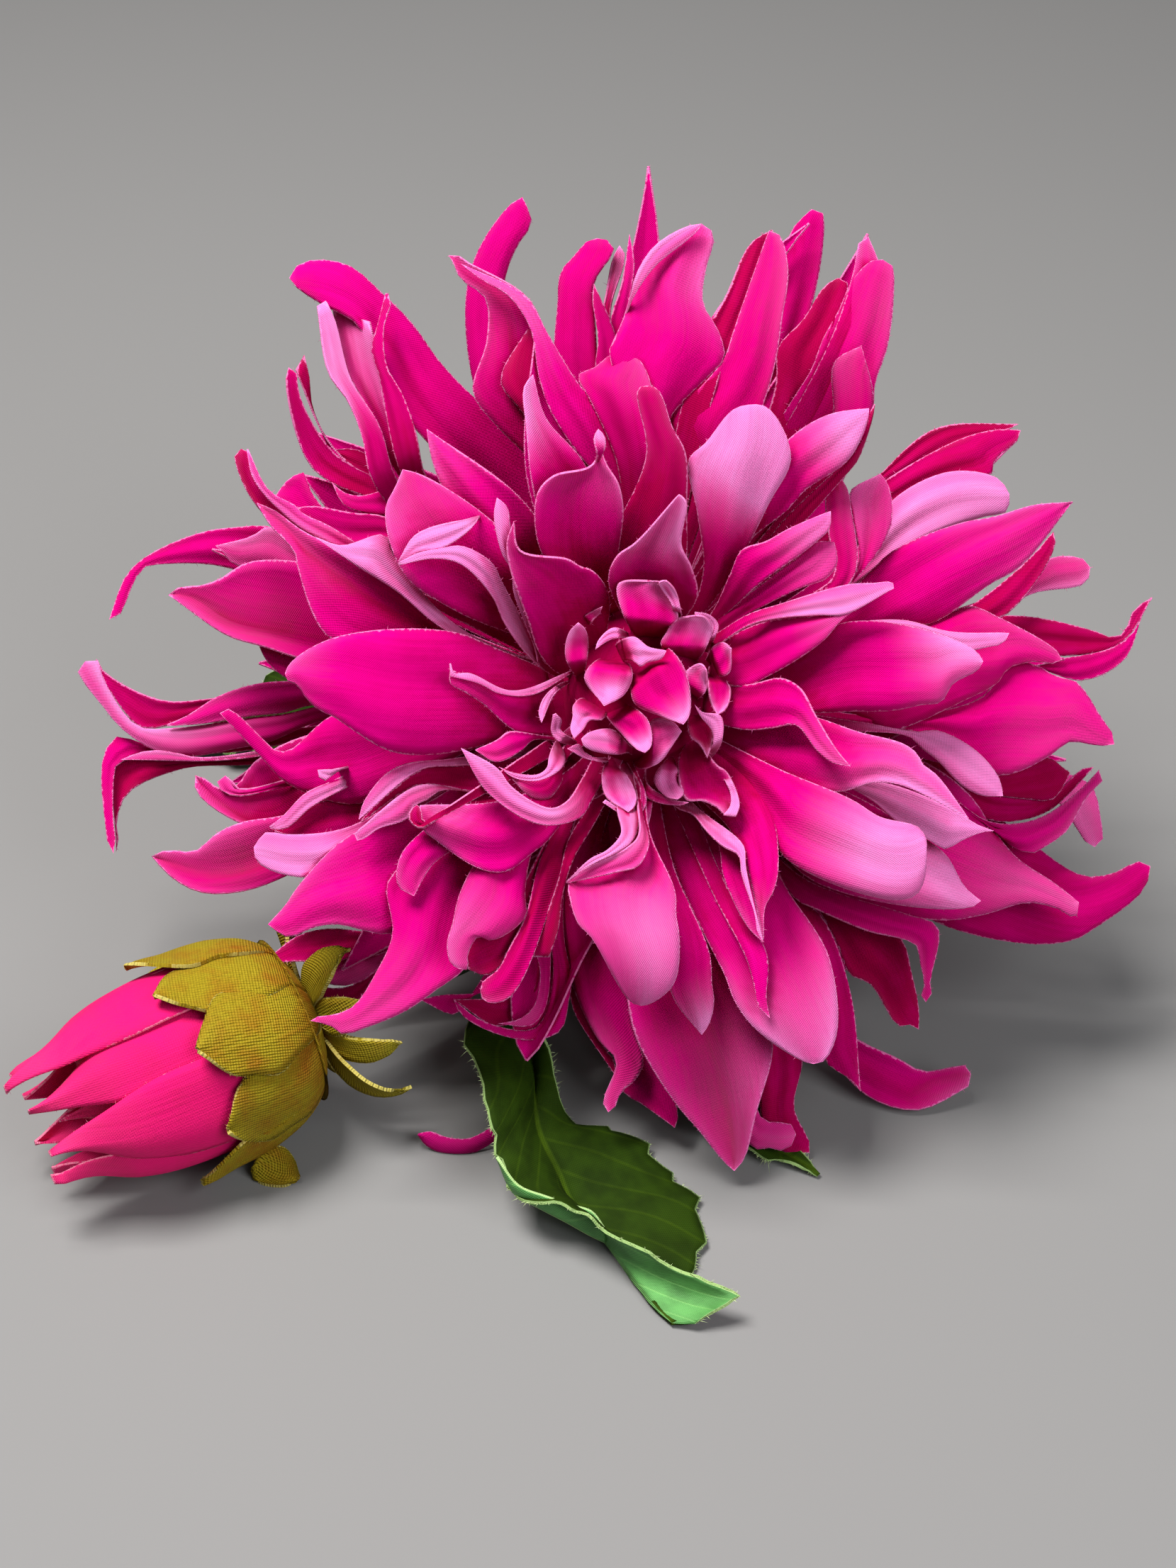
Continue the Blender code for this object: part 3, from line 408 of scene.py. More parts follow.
# Drawn petals: the rows and columns of a sheet, the fineness of its edge lines, how its root is
# led on to the bloom's core, the half width at which waves and hollows reach their full size,
# how strong the hollows are, where they cross the layer's height, and the share of the waves
DRAWN_ROWS = 40
DRAWN_COLUMNS = 12
EDGE_STEPS = 160
EDGE_EVENNESS = 0.7
HEIGHT_STEPS = 60
DRAWN_ROOT = 7.0
CORE_REACH = 13.0
CORE_HALF = 1.6
DRAWN_FULL_HALF = 4.0
DRAWN_CUP = 0.7
CUP_MIDDLE = 0.35
DRAWN_RUFFLE = 0.6

# Their colour: how deep the root is, partly the dye and partly painted shade under the petals
# that overlap it; how much painted shade deepens a hollow; how pale a tip is, partly the dye's
# fade and partly painted highlight; and how pale the cut edge can be
ROOT_DYE_AND_SHADE = 0.5
HOLLOW_SHADE = 0.3
PALE_AND_HIGHLIGHT = 0.70
MOST_PALE = 0.78
FLORET_RIM = 0.45
PETAL_RIM = 0.12

# The shade between petals: rays from each point, how far they look, where they start, and how
# far it takes the pale away and adds the deep
SHADE_RAYS = 22
SHADE_REACH = 12.0
SHADE_START = 0.25
SHADE_GRAZE = 0.2
SHADE_FACING = 0.5
SHADE_PALE = 1.0
SHADE_DEEP = 1.15

# The petals that face the viewer: the layer whose heights they follow, and their two edges as
# they are seen, in millimetres right of and above the heart against the plane through it, from
# the tip to the root. Then how far they stand over the layer, how far their edges rise over
# their middle, how far the second edge stands over the first, how far the tip rises, how pale
# and deep they are, where along them the pale starts, and the line of a crease down the middle.
# The deep is partly the fabric's own crimson and partly painted shade on petals and back walls
# that lie in shadow; the pale is partly the tips' fade and partly painted highlight, most of all
# on rows that are pale all along.
Drawn = namedtuple(
    "Drawn",
    "layer first second rise cup tilt lift pale deep start fold",
    defaults=(0.0, 0.8, 0.0, 0.0, 0.0, 0.0, 0.25, ()),
)
DRAWN_TOP_LEFT = (
    Drawn(
        FOURTH,
        ((-49.2, 58.8), (-47.8, 60.7), (-41.5, 60.8), (-35.5, 56), (-32, 52.5), (-28, 47), (-12, 30)),
        ((-49.2, 58.8), (-48.5, 57.8), (-43, 54.2), (-40.5, 53), (-36, 46), (-34, 41), (-25, 31),
         (-16, 24)),
        rise=4, cup=-1.5, tilt=1, lift=3,
    ),
    Drawn(
        FOURTH,
        ((-45.3, 54.8), (-43.5, 45), (-41, 41.5), (-38.6, 35), (-38.3, 32.5), (-36.6, 28.6), (-30, 22)),
        ((-44, 55.6), (-42.8, 53), (-40.5, 44.5), (-36.5, 38), (-33.8, 29.8), (-28, 24)),
        rise=7, cup=0.4, tilt=-1.5, pale=1.6,
    ),
    Drawn(
        FOURTH,
        ((-43, 54.2), (-41.2, 46), (-37, 38.5), (-35.5, 34), (-30, 26)),
        ((-37.8, 52.6), (-36.6, 47), (-35.5, 40), (-33, 34), (-28, 27)),
        rise=5, cup=0.3, tilt=2, pale=0.8,
    ),
    Drawn(
        FOURTH,
        ((-35.6, 56.6), (-37, 51), (-37.6, 49.3), (-36.5, 45), (-33.3, 31), (-28, 24)),
        ((-35.2, 56.6), (-34.8, 55.5), (-35.8, 52), (-35.3, 46), (-33.5, 43), (-31.3, 37), (-30, 31),
         (-25, 24)),
        rise=8, cup=-0.8, tilt=1.5, deep=0.35,
    ),
    Drawn(
        FOURTH,
        ((-48.3, 45.8), (-43.5, 35.5), (-30, 24)),
        ((-47.1, 47.9), (-46.4, 45), (-46.1, 41), (-44.8, 37.5), (-43.3, 34.7), (-40, 34.7), (-30, 27)),
        rise=-3, cup=0.3, tilt=-1, lift=3, deep=0.8,
    ),
    Drawn(
        FOURTH,
        ((-49.3, 46.2), (-49.6, 45), (-46.3, 32.4), (-43.5, 30), (-36.5, 27.2), (-28, 22)),
        ((-49.3, 46.2), (-48.4, 45.8), (-47.8, 42.5), (-43, 34.2), (-36, 30), (-28, 25)),
        rise=0, cup=0.8, tilt=-1.5, lift=4, deep=0.35,
    ),
    Drawn(
        THIRD,
        ((-26.7, 62), (-26.2, 62.3), (-24, 61), (-15.5, 56), (-12.5, 50.5), (-8.5, 44), (-3, 36), (-2, 33),
         (-0.5, 30), (1, 22)),
        ((-26.7, 62), (-26.7, 61.4), (-25.8, 60.5), (-25.2, 58.8), (-21.6, 56), (-21.3, 50), (-23.3, 42.5),
         (-20, 38), (-15, 33), (-8, 24)),
        rise=-3, cup=0.8, tilt=-1, lift=1.5, pale=0.35, deep=0.25,
    ),
    Drawn(
        THIRD,
        ((-15.3, 52), (-19.3, 44), (-16.5, 40.2), (-14, 37), (-8, 26)),
        ((-15.3, 52), (-14.6, 50), (-14.3, 46), (-11, 38), (-7, 33), (-4, 25)),
        rise=-1, cup=-0.8, tilt=0.5, deep=0.9,
    ),
    Drawn(
        THIRD,
        ((-25, 60.8), (-15.8, 56), (-12.5, 50.5), (-8.5, 44), (-5, 39.8), (-2, 33), (-0.8, 31), (1, 22)),
        ((-25, 60.8), (-22, 58.5), (-18.5, 56.5), (-15.2, 51.8), (-14, 45), (-12.8, 41), (-8.5, 34),
         (-6, 31), (-4, 24)),
        rise=1.5, cup=-1.2, tilt=0.5, pale=0.45,
    ),
    Drawn(
        OUTER,
        ((-16.3, 70.2), (-17, 69.9), (-21.5, 64.5), (-24, 58), (-22, 40), (-14, 28)),
        ((-16.3, 70.2), (-15, 66.5), (-16.8, 63.7), (-18.6, 59.5), (-19, 46), (-16, 38), (-9, 26)),
        rise=5, cup=-2.2, tilt=0.5, lift=2,
    ),
    Drawn(
        FOURTH,
        ((-5.8, 64.4), (-7, 64), (-9, 61.8), (-10.8, 59.7), (-11.3, 55), (-11.8, 47), (-10, 38), (-6, 26)),
        ((-5.8, 64.4), (-4.5, 64.2), (-3.4, 63), (-6.2, 58), (-6, 52), (-5, 40), (-2, 28)),
        rise=0, cup=-1.5, tilt=1.5, deep=0.1,
    ),
    Drawn(
        FOURTH,
        ((-6.2, 58), (-6.4, 56), (-5.6, 50), (-6, 46), (-4, 36)),
        ((-6.2, 58), (-3.3, 51), (-1, 38)),
        rise=2, cup=-0.4, deep=0.2,
    ),
    Drawn(
        FOURTH,
        ((-2.6, 63.4), (-3.4, 62), (-4.6, 56), (-5.1, 53.6), (-4, 46)),
        ((-2.6, 63.4), (-1.9, 62.4), (-3.9, 54), (-3, 46)),
        rise=-1, cup=0.2, pale=1.3,
    ),
    Drawn(
        FOURTH,
        ((-1.2, 65), (-2.3, 58), (-4, 52), (-3, 44)),
        ((-1.2, 65), (-0.5, 61), (-1.5, 53), (-1, 44)),
        rise=1, cup=-0.4, pale=0.2,
    ),
    Drawn(
        THIRD,
        ((-2, 48.3), (-4, 47.8), (-6, 46.2), (-8.5, 45), (-7, 42), (-3, 33), (-2, 25)),
        ((-2, 48.3), (0, 47.4), (2, 43.3), (2, 24)),
        rise=1, cup=-1, tilt=0.8, pale=0.25, deep=0.25,
    ),
    Drawn(
        SECOND,
        ((-14.8, 45.2), (-16, 43.6), (-15.8, 38), (-14, 26), (-9, 18)),
        ((-14.8, 45.2), (-13, 39), (-8, 33.2), (-6, 29), (-4, 20)),
        rise=0, cup=0.8, tilt=-1.5, pale=0.75,
    ),
    Drawn(
        SECOND,
        ((-5.2, 34.6), (-6.6, 32.3), (-12, 30.8), (-14, 28.8), (-14, 21), (-10, 15), (-6, 11)),
        ((-5.2, 34.6), (-4.4, 32.5), (-2.8, 29.8), (-2.1, 26.5), (-3, 17), (-2.5, 12)),
        rise=0, cup=1.2, tilt=-0.5, lift=1.5, pale=0.35,
    ),
    Drawn(
        SECOND,
        ((-5.6, 37.5), (-6.2, 36.4), (-5.8, 33.6), (-6.2, 32.2)),
        ((-5.6, 37.5), (-4.8, 36.6), (-4.6, 35), (-5.8, 32)),
        rise=7, cup=0.4, pale=1.5,
    ),
    Drawn(
        SECOND,
        ((1.3, 43.6), (0.2, 43.3), (1.2, 34), (-3, 24), (-5.4, 20), (-5, 15), (-2, 10)),
        ((1.3, 43.6), (2.6, 43.2), (5, 37.5), (6.6, 34.5), (6.9, 27), (6, 15), (2, 10)),
        rise=2, cup=-1.5, tilt=1, deep=0.75,
    ),
    Drawn(
        INNER,
        ((5.8, 28.3), (-0.5, 21.3), (-3, 19.5), (-4.2, 16.5), (-1, 9)),
        ((5.8, 28.3), (6.7, 27.4), (6.1, 21), (7.5, 18), (8.4, 14), (6, 10)),
        rise=0, cup=1.2, tilt=0.8, lift=1, pale=0.8, start=0.1,
    ),
    Drawn(
        THIRD,
        ((-33.2, 31.8), (-34.3, 29.2), (-35.6, 26.5), (-33, 17), (-26, 12), (-14, 7)),
        ((-33.2, 31.8), (-31, 31.2), (-20, 24), (-9, 10)),
        rise=6, cup=0.9, tilt=-0.6, pale=0.45,
    ),
    Drawn(
        THIRD,
        ((-29.8, 37.5), (-17, 28.2), (-14.3, 25), (-9, 16)),
        ((-29.8, 37.5), (-29, 33), (-25, 24), (-20, 18), (-12, 11)),
        rise=4, cup=-0.8, tilt=-0.8, pale=0.35,
    ),
    Drawn(
        FOURTH,
        ((-50.5, 29), (-49, 30.6), (-47, 31.3), (-46.5, 29.5), (-45, 27), (-30, 17)),
        ((-50.5, 29), (-51.5, 27), (-49, 25), (-40, 18), (-30, 12)),
        rise=-2, cup=0.5, pale=0.1,
    ),
    Drawn(
        FOURTH,
        ((-43.2, 30), (-41.5, 28.5), (-39, 28), (-36, 28.8), (-33.8, 29.6), (-28, 24), (-20, 16)),
        ((-43.2, 30), (-41.5, 26.8), (-38, 25.5), (-35, 25), (-28, 20), (-20, 12)),
        rise=2, cup=-0.5, pale=0.1, deep=0.1,
    ),
)
DRAWN_TOP_RIGHT = (
    Drawn(
        THIRD,
        ((9, 66.4), (7.5, 66.2), (2.5, 63.4), (-0.3, 59), (-1, 56), (-3.2, 50.5), (-4, 49), (-3, 44),
         (0, 30)),
        ((9, 66.4), (10.2, 65.6), (10.7, 64.3), (9.7, 60.5), (9.2, 55.2), (11.3, 51.5), (12.2, 47.5),
         (10, 45), (4.8, 39.5), (3, 34), (3, 26)),
        rise=1, cup=-1.8, pale=0.5,
    ),
    Drawn(
        THIRD,
        ((9, 66.4), (7.5, 66.2), (2.5, 63.4), (-0.3, 59), (-1, 56), (-2, 53)),
        ((9.1, 66.3), (8, 65), (2, 60), (-1.5, 54)),
        rise=3, cup=-0.5, pale=0.9, start=-0.6,
    ),
    Drawn(
        THIRD,
        ((19, 65.6), (16.2, 64), (12.3, 56), (9, 50), (7, 44)),
        ((19, 65.6), (18, 62), (11.5, 45)),
        rise=-1.5, cup=0.6, deep=1,
    ),
    Drawn(
        THIRD,
        ((18.5, 65.5), (13.2, 50.5), (12.4, 48), (8, 42.5), (4.6, 39.3), (6.8, 33.3), (4, 20)),
        ((18.5, 65.5), (19.8, 65), (21.2, 60), (20.4, 53.5), (19.2, 46), (16, 37), (12, 31), (6, 16)),
        rise=0.5, cup=-1.2, tilt=0.8, pale=0.2, deep=0.3,
    ),
    Drawn(
        FOURTH,
        ((28.2, 58.8), (26.5, 57.8), (23.3, 52.9), (19.8, 49), (19.5, 44), (17, 36)),
        ((28.2, 58.8), (29.6, 58), (29.3, 55), (26, 46), (24, 40)),
        rise=-2, deep=1,
    ),
    Drawn(
        FOURTH,
        ((34.5, 61.4), (33, 61.2), (30, 58), (28.5, 54.5), (26, 50), (24.5, 46), (22, 42), (12, 26)),
        ((34.5, 61.4), (35.8, 60.6), (36.1, 57), (35.2, 49), (33.4, 43.5), (33.3, 41), (32, 36), (18, 22)),
        rise=0, cup=-1.8, tilt=0.5, pale=0.25, deep=0.1,
    ),
    Drawn(
        FOURTH,
        ((32.5, 64.6), (31.2, 63.8), (30.6, 60.5), (28, 52)),
        ((32.5, 64.6), (33, 63.8), (33.4, 62), (34, 61.3), (31, 51)),
        rise=-1, cup=-0.4, pale=0.6,
    ),
    Drawn(
        FOURTH,
        ((31.5, 49.2), (27.8, 47), (27.6, 40), (27, 36), (22, 28)),
        ((31.5, 49.2), (33.2, 42), (32.6, 38), (24, 25)),
        rise=3, cup=-1, deep=0.3, pale=0.3,
    ),
    Drawn(
        SECOND,
        ((15.5, 40.9), (13.5, 40.2), (9.5, 35.5), (7.2, 33.3), (8.3, 26), (9.3, 18), (8, 13)),
        ((15.5, 40.9), (18, 40.6), (21.6, 33.5), (18.5, 27), (13.3, 17), (9, 11)),
        rise=1, cup=-1.5, pale=1.6, start=0.1,
    ),
    Drawn(
        SECOND,
        ((32.8, 40), (32.2, 37), (20, 24), (14, 16)),
        ((32.8, 40), (33.3, 41), (31, 33), (29, 30.6), (15, 15)),
        rise=-3, cup=-1.4, deep=1,
    ),
    Drawn(
        SECOND,
        ((32.6, 40.4), (27, 39.5), (21.3, 36.1), (9, 18)),
        ((32.6, 40.4), (32.3, 38.5), (29.8, 33.3), (23.5, 28.8), (21, 26), (15.8, 21.7), (13, 17), (9, 12)),
        rise=-1, cup=-1.4, pale=1.1, start=0.35, deep=0.1,
    ),
    Drawn(
        SECOND,
        ((27.2, 25.9), (21, 23.3), (18, 21.6), (14.6, 20.4), (13, 17), (10, 11)),
        ((27.2, 25.9), (27, 23.5), (25, 21.5), (17, 15.5), (12, 11), (8, 8)),
        rise=2, cup=-1, pale=0.6,
    ),
    Drawn(
        SECOND,
        ((27.7, 21.5), (25.5, 21.6), (22, 19), (13, 12.2), (9, 8.5)),
        ((27.7, 21.5), (28, 18.4), (26.5, 16.4), (23.5, 15.3), (15, 11), (9, 7)),
        rise=0, cup=-1, pale=0.3,
    ),
    Drawn(
        THIRD,
        ((28.5, 30.8), (27, 30.3), (27, 22), (27.8, 19), (27.5, 16.5), (25, 14.5), (12, 6)),
        ((28.5, 30.8), (29.6, 28.8), (30, 26.5), (30.9, 18), (30, 15.8), (12, 5)),
        rise=3, cup=-1, deep=0.4, pale=0.2,
    ),
    Drawn(
        THIRD,
        ((34.2, 31.2), (29.8, 28.5), (30.2, 25.5), (31, 18), (18, 9)),
        ((34.2, 31.2), (35.3, 29.6), (35.7, 24), (26, 12), (18, 8)),
        rise=2, cup=0.8, tilt=-0.5, pale=0.5,
    ),
    Drawn(
        FOURTH,
        ((53.7, 38.2), (43.5, 38), (40.8, 37), (30, 27), (18, 17)),
        ((53.7, 38.2), (52, 37.3), (46, 36), (37, 31.2), (34.5, 30), (30, 25), (18, 15)),
        rise=0, cup=0.4, deep=1.2,
    ),
    Drawn(
        FOURTH,
        ((54, 37.3), (51, 37.4), (47, 36.6), (35.5, 30.6), (30, 26), (18, 16)),
        ((54, 37.3), (53.6, 36), (50.3, 33), (49.8, 31), (46, 30.5), (41, 29.5), (18, 14)),
        rise=1.5, cup=-0.8, deep=0.6,
    ),
    Drawn(
        FOURTH,
        ((52.4, 28.3), (51, 30.3), (44.3, 31.5), (35.8, 27.3), (33, 23), (16, 10)),
        ((52.4, 28.3), (52, 25.9), (49, 25.2), (40, 22), (28, 14), (17, 8)),
        rise=3, cup=-1.4, pale=1.3, start=0.1,
    ),
    Drawn(
        OUTER,
        ((24.5, 68.5), (22, 66), (19, 56), (11, 34)),
        ((24.5, 68.5), (26, 68), (26.2, 65), (24, 53), (14, 33)),
        rise=0, cup=-1, deep=0.1,
    ),
)
DRAWN_RIGHT = (
    Drawn(
        THIRD,
        ((61.3, 27.2), (56, 26.8), (50, 25), (46, 24.3), (35.3, 19.8), (33, 17.5), (26, 12), (16, 7)),
        ((61.3, 27.2), (53.5, 17.7), (50, 15.8), (41, 10), (37, 10), (17, 5)),
        fold=((61.2, 27.1), (40, 16.8), (36.5, 14.5), (28, 10), (16, 6)),
        rise=0, cup=-1.3, tilt=-0.6, pale=0.3,
    ),
    Drawn(
        FOURTH,
        ((58.6, 23), (55, 19), (44, 11), (34, 9), (20, 5)),
        ((58.6, 23), (58.9, 21.8), (51.3, 10.9), (46, 10), (36, 7), (20, 3)),
        rise=2, cup=-1, deep=0.8,
    ),
    Drawn(
        OUTER,
        ((63.8, 18), (63, 19), (58, 19.2), (57, 18), (50, 14), (34, 9)),
        ((63.8, 18), (63.4, 16), (55.5, 14.2), (50, 11), (34, 6)),
        rise=0, cup=-1, pale=0.6, deep=0.2,
    ),
    Drawn(
        FOURTH,
        ((72.5, 13.7), (70, 12), (68.6, 8.8), (67.2, 8), (65, 8.8), (52.5, 11.2), (44, 9.5), (30, 6)),
        ((72.5, 13.7), (69, 8), (66.5, 6.4), (59, 5.4), (50, 6), (30, 4)),
        rise=-1, cup=0.6, deep=0.5,
    ),
    Drawn(
        FOURTH,
        ((72.4, 13.6), (68.8, 7.7), (59, 5), (50, 5), (30, 3)),
        ((72.5, 13.7), (71.4, 12), (68.7, 5), (62.8, 2), (54, 4.5), (30, 2)),
        rise=2, cup=-1, deep=0.3,
    ),
    Drawn(
        THIRD,
        ((59.8, 5), (59.3, 5.9), (50, 11.3), (47.5, 12.4), (40, 10.2), (30, 8), (18, 4)),
        ((59.8, 5), (58.5, 4.4), (56, 4.7), (52, 3.6), (50.8, 1.8), (46, -0.8), (37, -4.8), (35, -5.2),
         (32, -3.5), (22, 0)),
        rise=-2, cup=-1.2, deep=0.3, pale=0.2,
    ),
    Drawn(
        THIRD,
        ((52.4, 8.7), (44, 8.9), (37.5, 10.5), (27, 9.5), (20, 7)),
        ((52.4, 8.7), (51.5, 7.3), (49, 6.7), (46.5, 6.2), (41, 8.2), (32, 9.5), (25, 7.5)),
        rise=3, cup=-0.6, pale=1.2, start=-0.6,
    ),
    Drawn(
        SECOND,
        ((48.7, 4.7), (47.9, 5.9), (37, 9.9), (28.5, 10), (25, 8), (20, 5)),
        ((48.7, 4.7), (48, 3.6), (44.3, 1.5), (42.7, -1), (40, -1.4), (36, -2.2), (31, -2.3), (22, -2.5),
         (17, -1.5)),
        rise=0, cup=-1.3, pale=0.8, start=0.3,
    ),
    Drawn(
        INNER,
        ((36.1, 15), (36, 15.7), (33, 15.7), (30, 15.6), (20, 12.8), (16, 11.5), (11, 8.5)),
        ((36.1, 15), (29, 11.3), (25, 11.2), (16, 9.9), (10, 6)),
        rise=-2, cup=-0.8, pale=0.9, start=0,
    ),
    Drawn(
        INNER,
        ((31, 12.2), (27, 11.3), (17, 10), (11, 7)),
        ((31, 12.2), (28.7, 10.5), (26.3, 7.8), (18, 2.4), (15.3, 1.2), (10, 2)),
        rise=-4, cup=-1, pale=0.35,
    ),
    Drawn(
        INNER,
        ((30, -10.1), (28.2, -8), (25.1, -3), (22.8, 1), (20.3, 2.3), (16, 1.5), (10, 1)),
        ((30, -10.1), (27.5, -9.6), (25.4, -8), (22.2, -4.3), (19, -4.7), (15.5, -5), (9, -3.5)),
        rise=-4, cup=-0.6, tilt=-0.8, pale=0.3, deep=0.1,
    ),
    Drawn(
        THIRD,
        ((67.2, -7), (66.9, -5.5), (65.5, -3.5), (61.5, 2), (59, 2.5), (57, 3.8), (53.5, 4.6), (51.5, 3.5),
         (49, 0), (34, -3), (20, -1)),
        ((67.2, -7), (65.3, -7.2), (60.5, -6.7), (58.5, -8.3), (51, -11.4), (40, -5.5), (30, -4), (20, -3)),
        rise=-3, cup=-1.5, pale=0.2, deep=0.1,
    ),
    Drawn(
        THIRD,
        ((51.5, -14.3), (51, -12), (47.5, -7.8), (41.5, -5), (40, -5.3), (32, -4), (20, -2)),
        ((51.5, -14.3), (48.5, -14.2), (46, -13), (42, -9), (40, -7.5), (38.5, -6), (30, -5), (20, -3)),
        rise=1, cup=-1, pale=1.2, start=0,
    ),
    Drawn(
        FOURTH,
        ((61, -11), (59.5, -10), (58, -8.8), (50, -11.5), (44, -10), (28, -6)),
        ((61, -11), (58.5, -14.8), (55, -14.7), (51, -14.2), (44, -12), (28, -8)),
        rise=1, cup=-0.6, deep=1,
    ),
)
DRAWN_LOWER_RIGHT = (
    Drawn(
        SECOND,
        ((46.6, -17.4), (42, -11.2), (40, -9.6), (39.6, -8.6), (38, -7.2), (31, -5.2), (24, -3), (16, -3),
         (9, -2)),
        ((46.6, -17.4), (36.4, -12.6), (33.2, -12.4), (28.4, -13.7), (15.6, -10.8), (9, -6)),
        rise=0, cup=-1.2, pale=0.9, start=0.2,
    ),
    Drawn(
        FOURTH,
        ((62.2, -29.3), (58.4, -26.4), (53.6, -23.2), (50.2, -19.2), (47.2, -14.6), (42.8, -10.8), (32, -6),
         (20, -4)),
        ((62.2, -29.3), (61.5, -31.9), (60.8, -31), (55.2, -29.3), (49.2, -30.9), (44, -31.8), (38, -31.3),
         (29.2, -28.6), (26, -27.6), (22, -25), (14, -14)),
        rise=3, cup=-1.4, pale=0.5,
    ),
    Drawn(
        THIRD,
        ((50.2, -19.2), (47.6, -18.2), (45.6, -16.8), (35.5, -12.6), (29, -12), (12, -4)),
        ((50.2, -19.2), (48.8, -19.3), (45, -20.9), (43.5, -21.8), (41, -20.5), (37, -18.3), (33, -14.9),
         (22, -9.5), (13, -5)),
        rise=1, cup=-1, pale=1.6, start=-0.1,
    ),
    Drawn(
        SECOND,
        ((40.7, -22), (40.5, -20), (39.6, -18.8), (34, -17.2), (30.5, -15), (20, -10.5), (10, -5.5)),
        ((40.7, -22), (40.2, -26.5), (39.2, -28.2), (37.2, -28.9), (20.2, -22.3), (19, -19), (15.5, -12.5),
         (9, -7)),
        rise=0, cup=-1.4, pale=1, start=0.2,
    ),
    Drawn(
        THIRD,
        ((48.4, -29.1), (46.2, -27.3), (43.4, -22.6), (40, -20), (32, -15), (18, -9)),
        ((48.4, -29.1), (47.6, -29.7), (24, -25.8), (18, -19), (11, -10)),
        rise=-2, cup=-0.9, pale=1.3, start=0.3,
    ),
    Drawn(
        FOURTH,
        ((40.6, -43.4), (41.4, -42.4), (41.2, -41), (42.2, -32.6), (38, -31), (22, -25), (12, -12)),
        ((40.6, -43.4), (39.9, -43), (40.4, -41), (39.7, -37.5), (39.4, -35.6), (32, -33.2), (25, -30.2),
         (22.4, -29), (18, -22), (11, -13)),
        rise=5, cup=-1.2, deep=0.1, pale=0.2,
    ),
    Drawn(
        FOURTH,
        ((72.3, -24.2), (70.5, -23.5), (67.5, -25), (63.5, -25.7), (50, -17), (38, -12), (22, -8)),
        ((72.3, -24.2), (71.6, -27), (64, -33.2), (62, -34.4), (57, -35.2), (41.5, -31.8), (34, -26),
         (22, -16)),
        rise=-3, cup=-1, deep=0.3,
    ),
    Drawn(
        FOURTH,
        ((64.3, -10.2), (62.8, -10.4), (58.4, -14), (51.5, -14.2), (40, -9), (26, -6)),
        ((64.3, -10.2), (60.8, -14), (57.6, -16.6), (50, -17.8), (44, -14), (28, -9)),
        rise=0, cup=0.5, deep=0.3,
    ),
    Drawn(
        FOURTH,
        ((65, -10.6), (62.8, -13), (56, -17.6), (50, -18), (42, -13), (28, -8)),
        ((65, -10.6), (65.6, -11.5), (65.3, -12.6), (64, -13.6), (60, -19.8), (58.4, -20.8), (55.5, -22.4),
         (53, -21.5), (50, -19), (42, -15), (28, -10)),
        rise=2, cup=-1.2, pale=0.3,
    ),
    Drawn(
        OUTER,
        ((64.4, -21.5), (65.4, -20.8), (65.2, -17.2), (64, -13), (56, -10), (36, -6)),
        ((64.4, -21.5), (63.4, -21), (61.6, -18.4), (59, -15), (52, -13), (36, -10)),
        rise=0, cup=-0.8, pale=0.7,
    ),
    Drawn(
        FOURTH,
        ((39.6, -47.2), (39.6, -44.4), (38.6, -39.2), (37.4, -34.8), (33, -31), (24, -22), (13, -12)),
        ((39.6, -47.2), (38, -46.5), (37, -46.8), (32.5, -40.6), (30, -39.6), (28, -35), (20, -22),
         (11, -12)),
        rise=-1, cup=-0.8, deep=1,
    ),
    Drawn(
        FOURTH,
        ((47, -53.5), (46.8, -52.5), (40, -53.1), (37, -51.5), (31, -48.7), (20, -40), (12, -28)),
        ((47, -53.5), (47.1, -54.7), (45, -56.2), (39.5, -58.6), (33, -57), (26, -50), (18, -42),
         (10, -29)),
        fold=((47, -53.5), (41.5, -54.5), (38, -56.3), (36, -55.2), (31.5, -52.5), (19, -41), (11, -28)),
        rise=-10, cup=1.2, pale=0.5, deep=0.1, start=0.5,
    ),
)
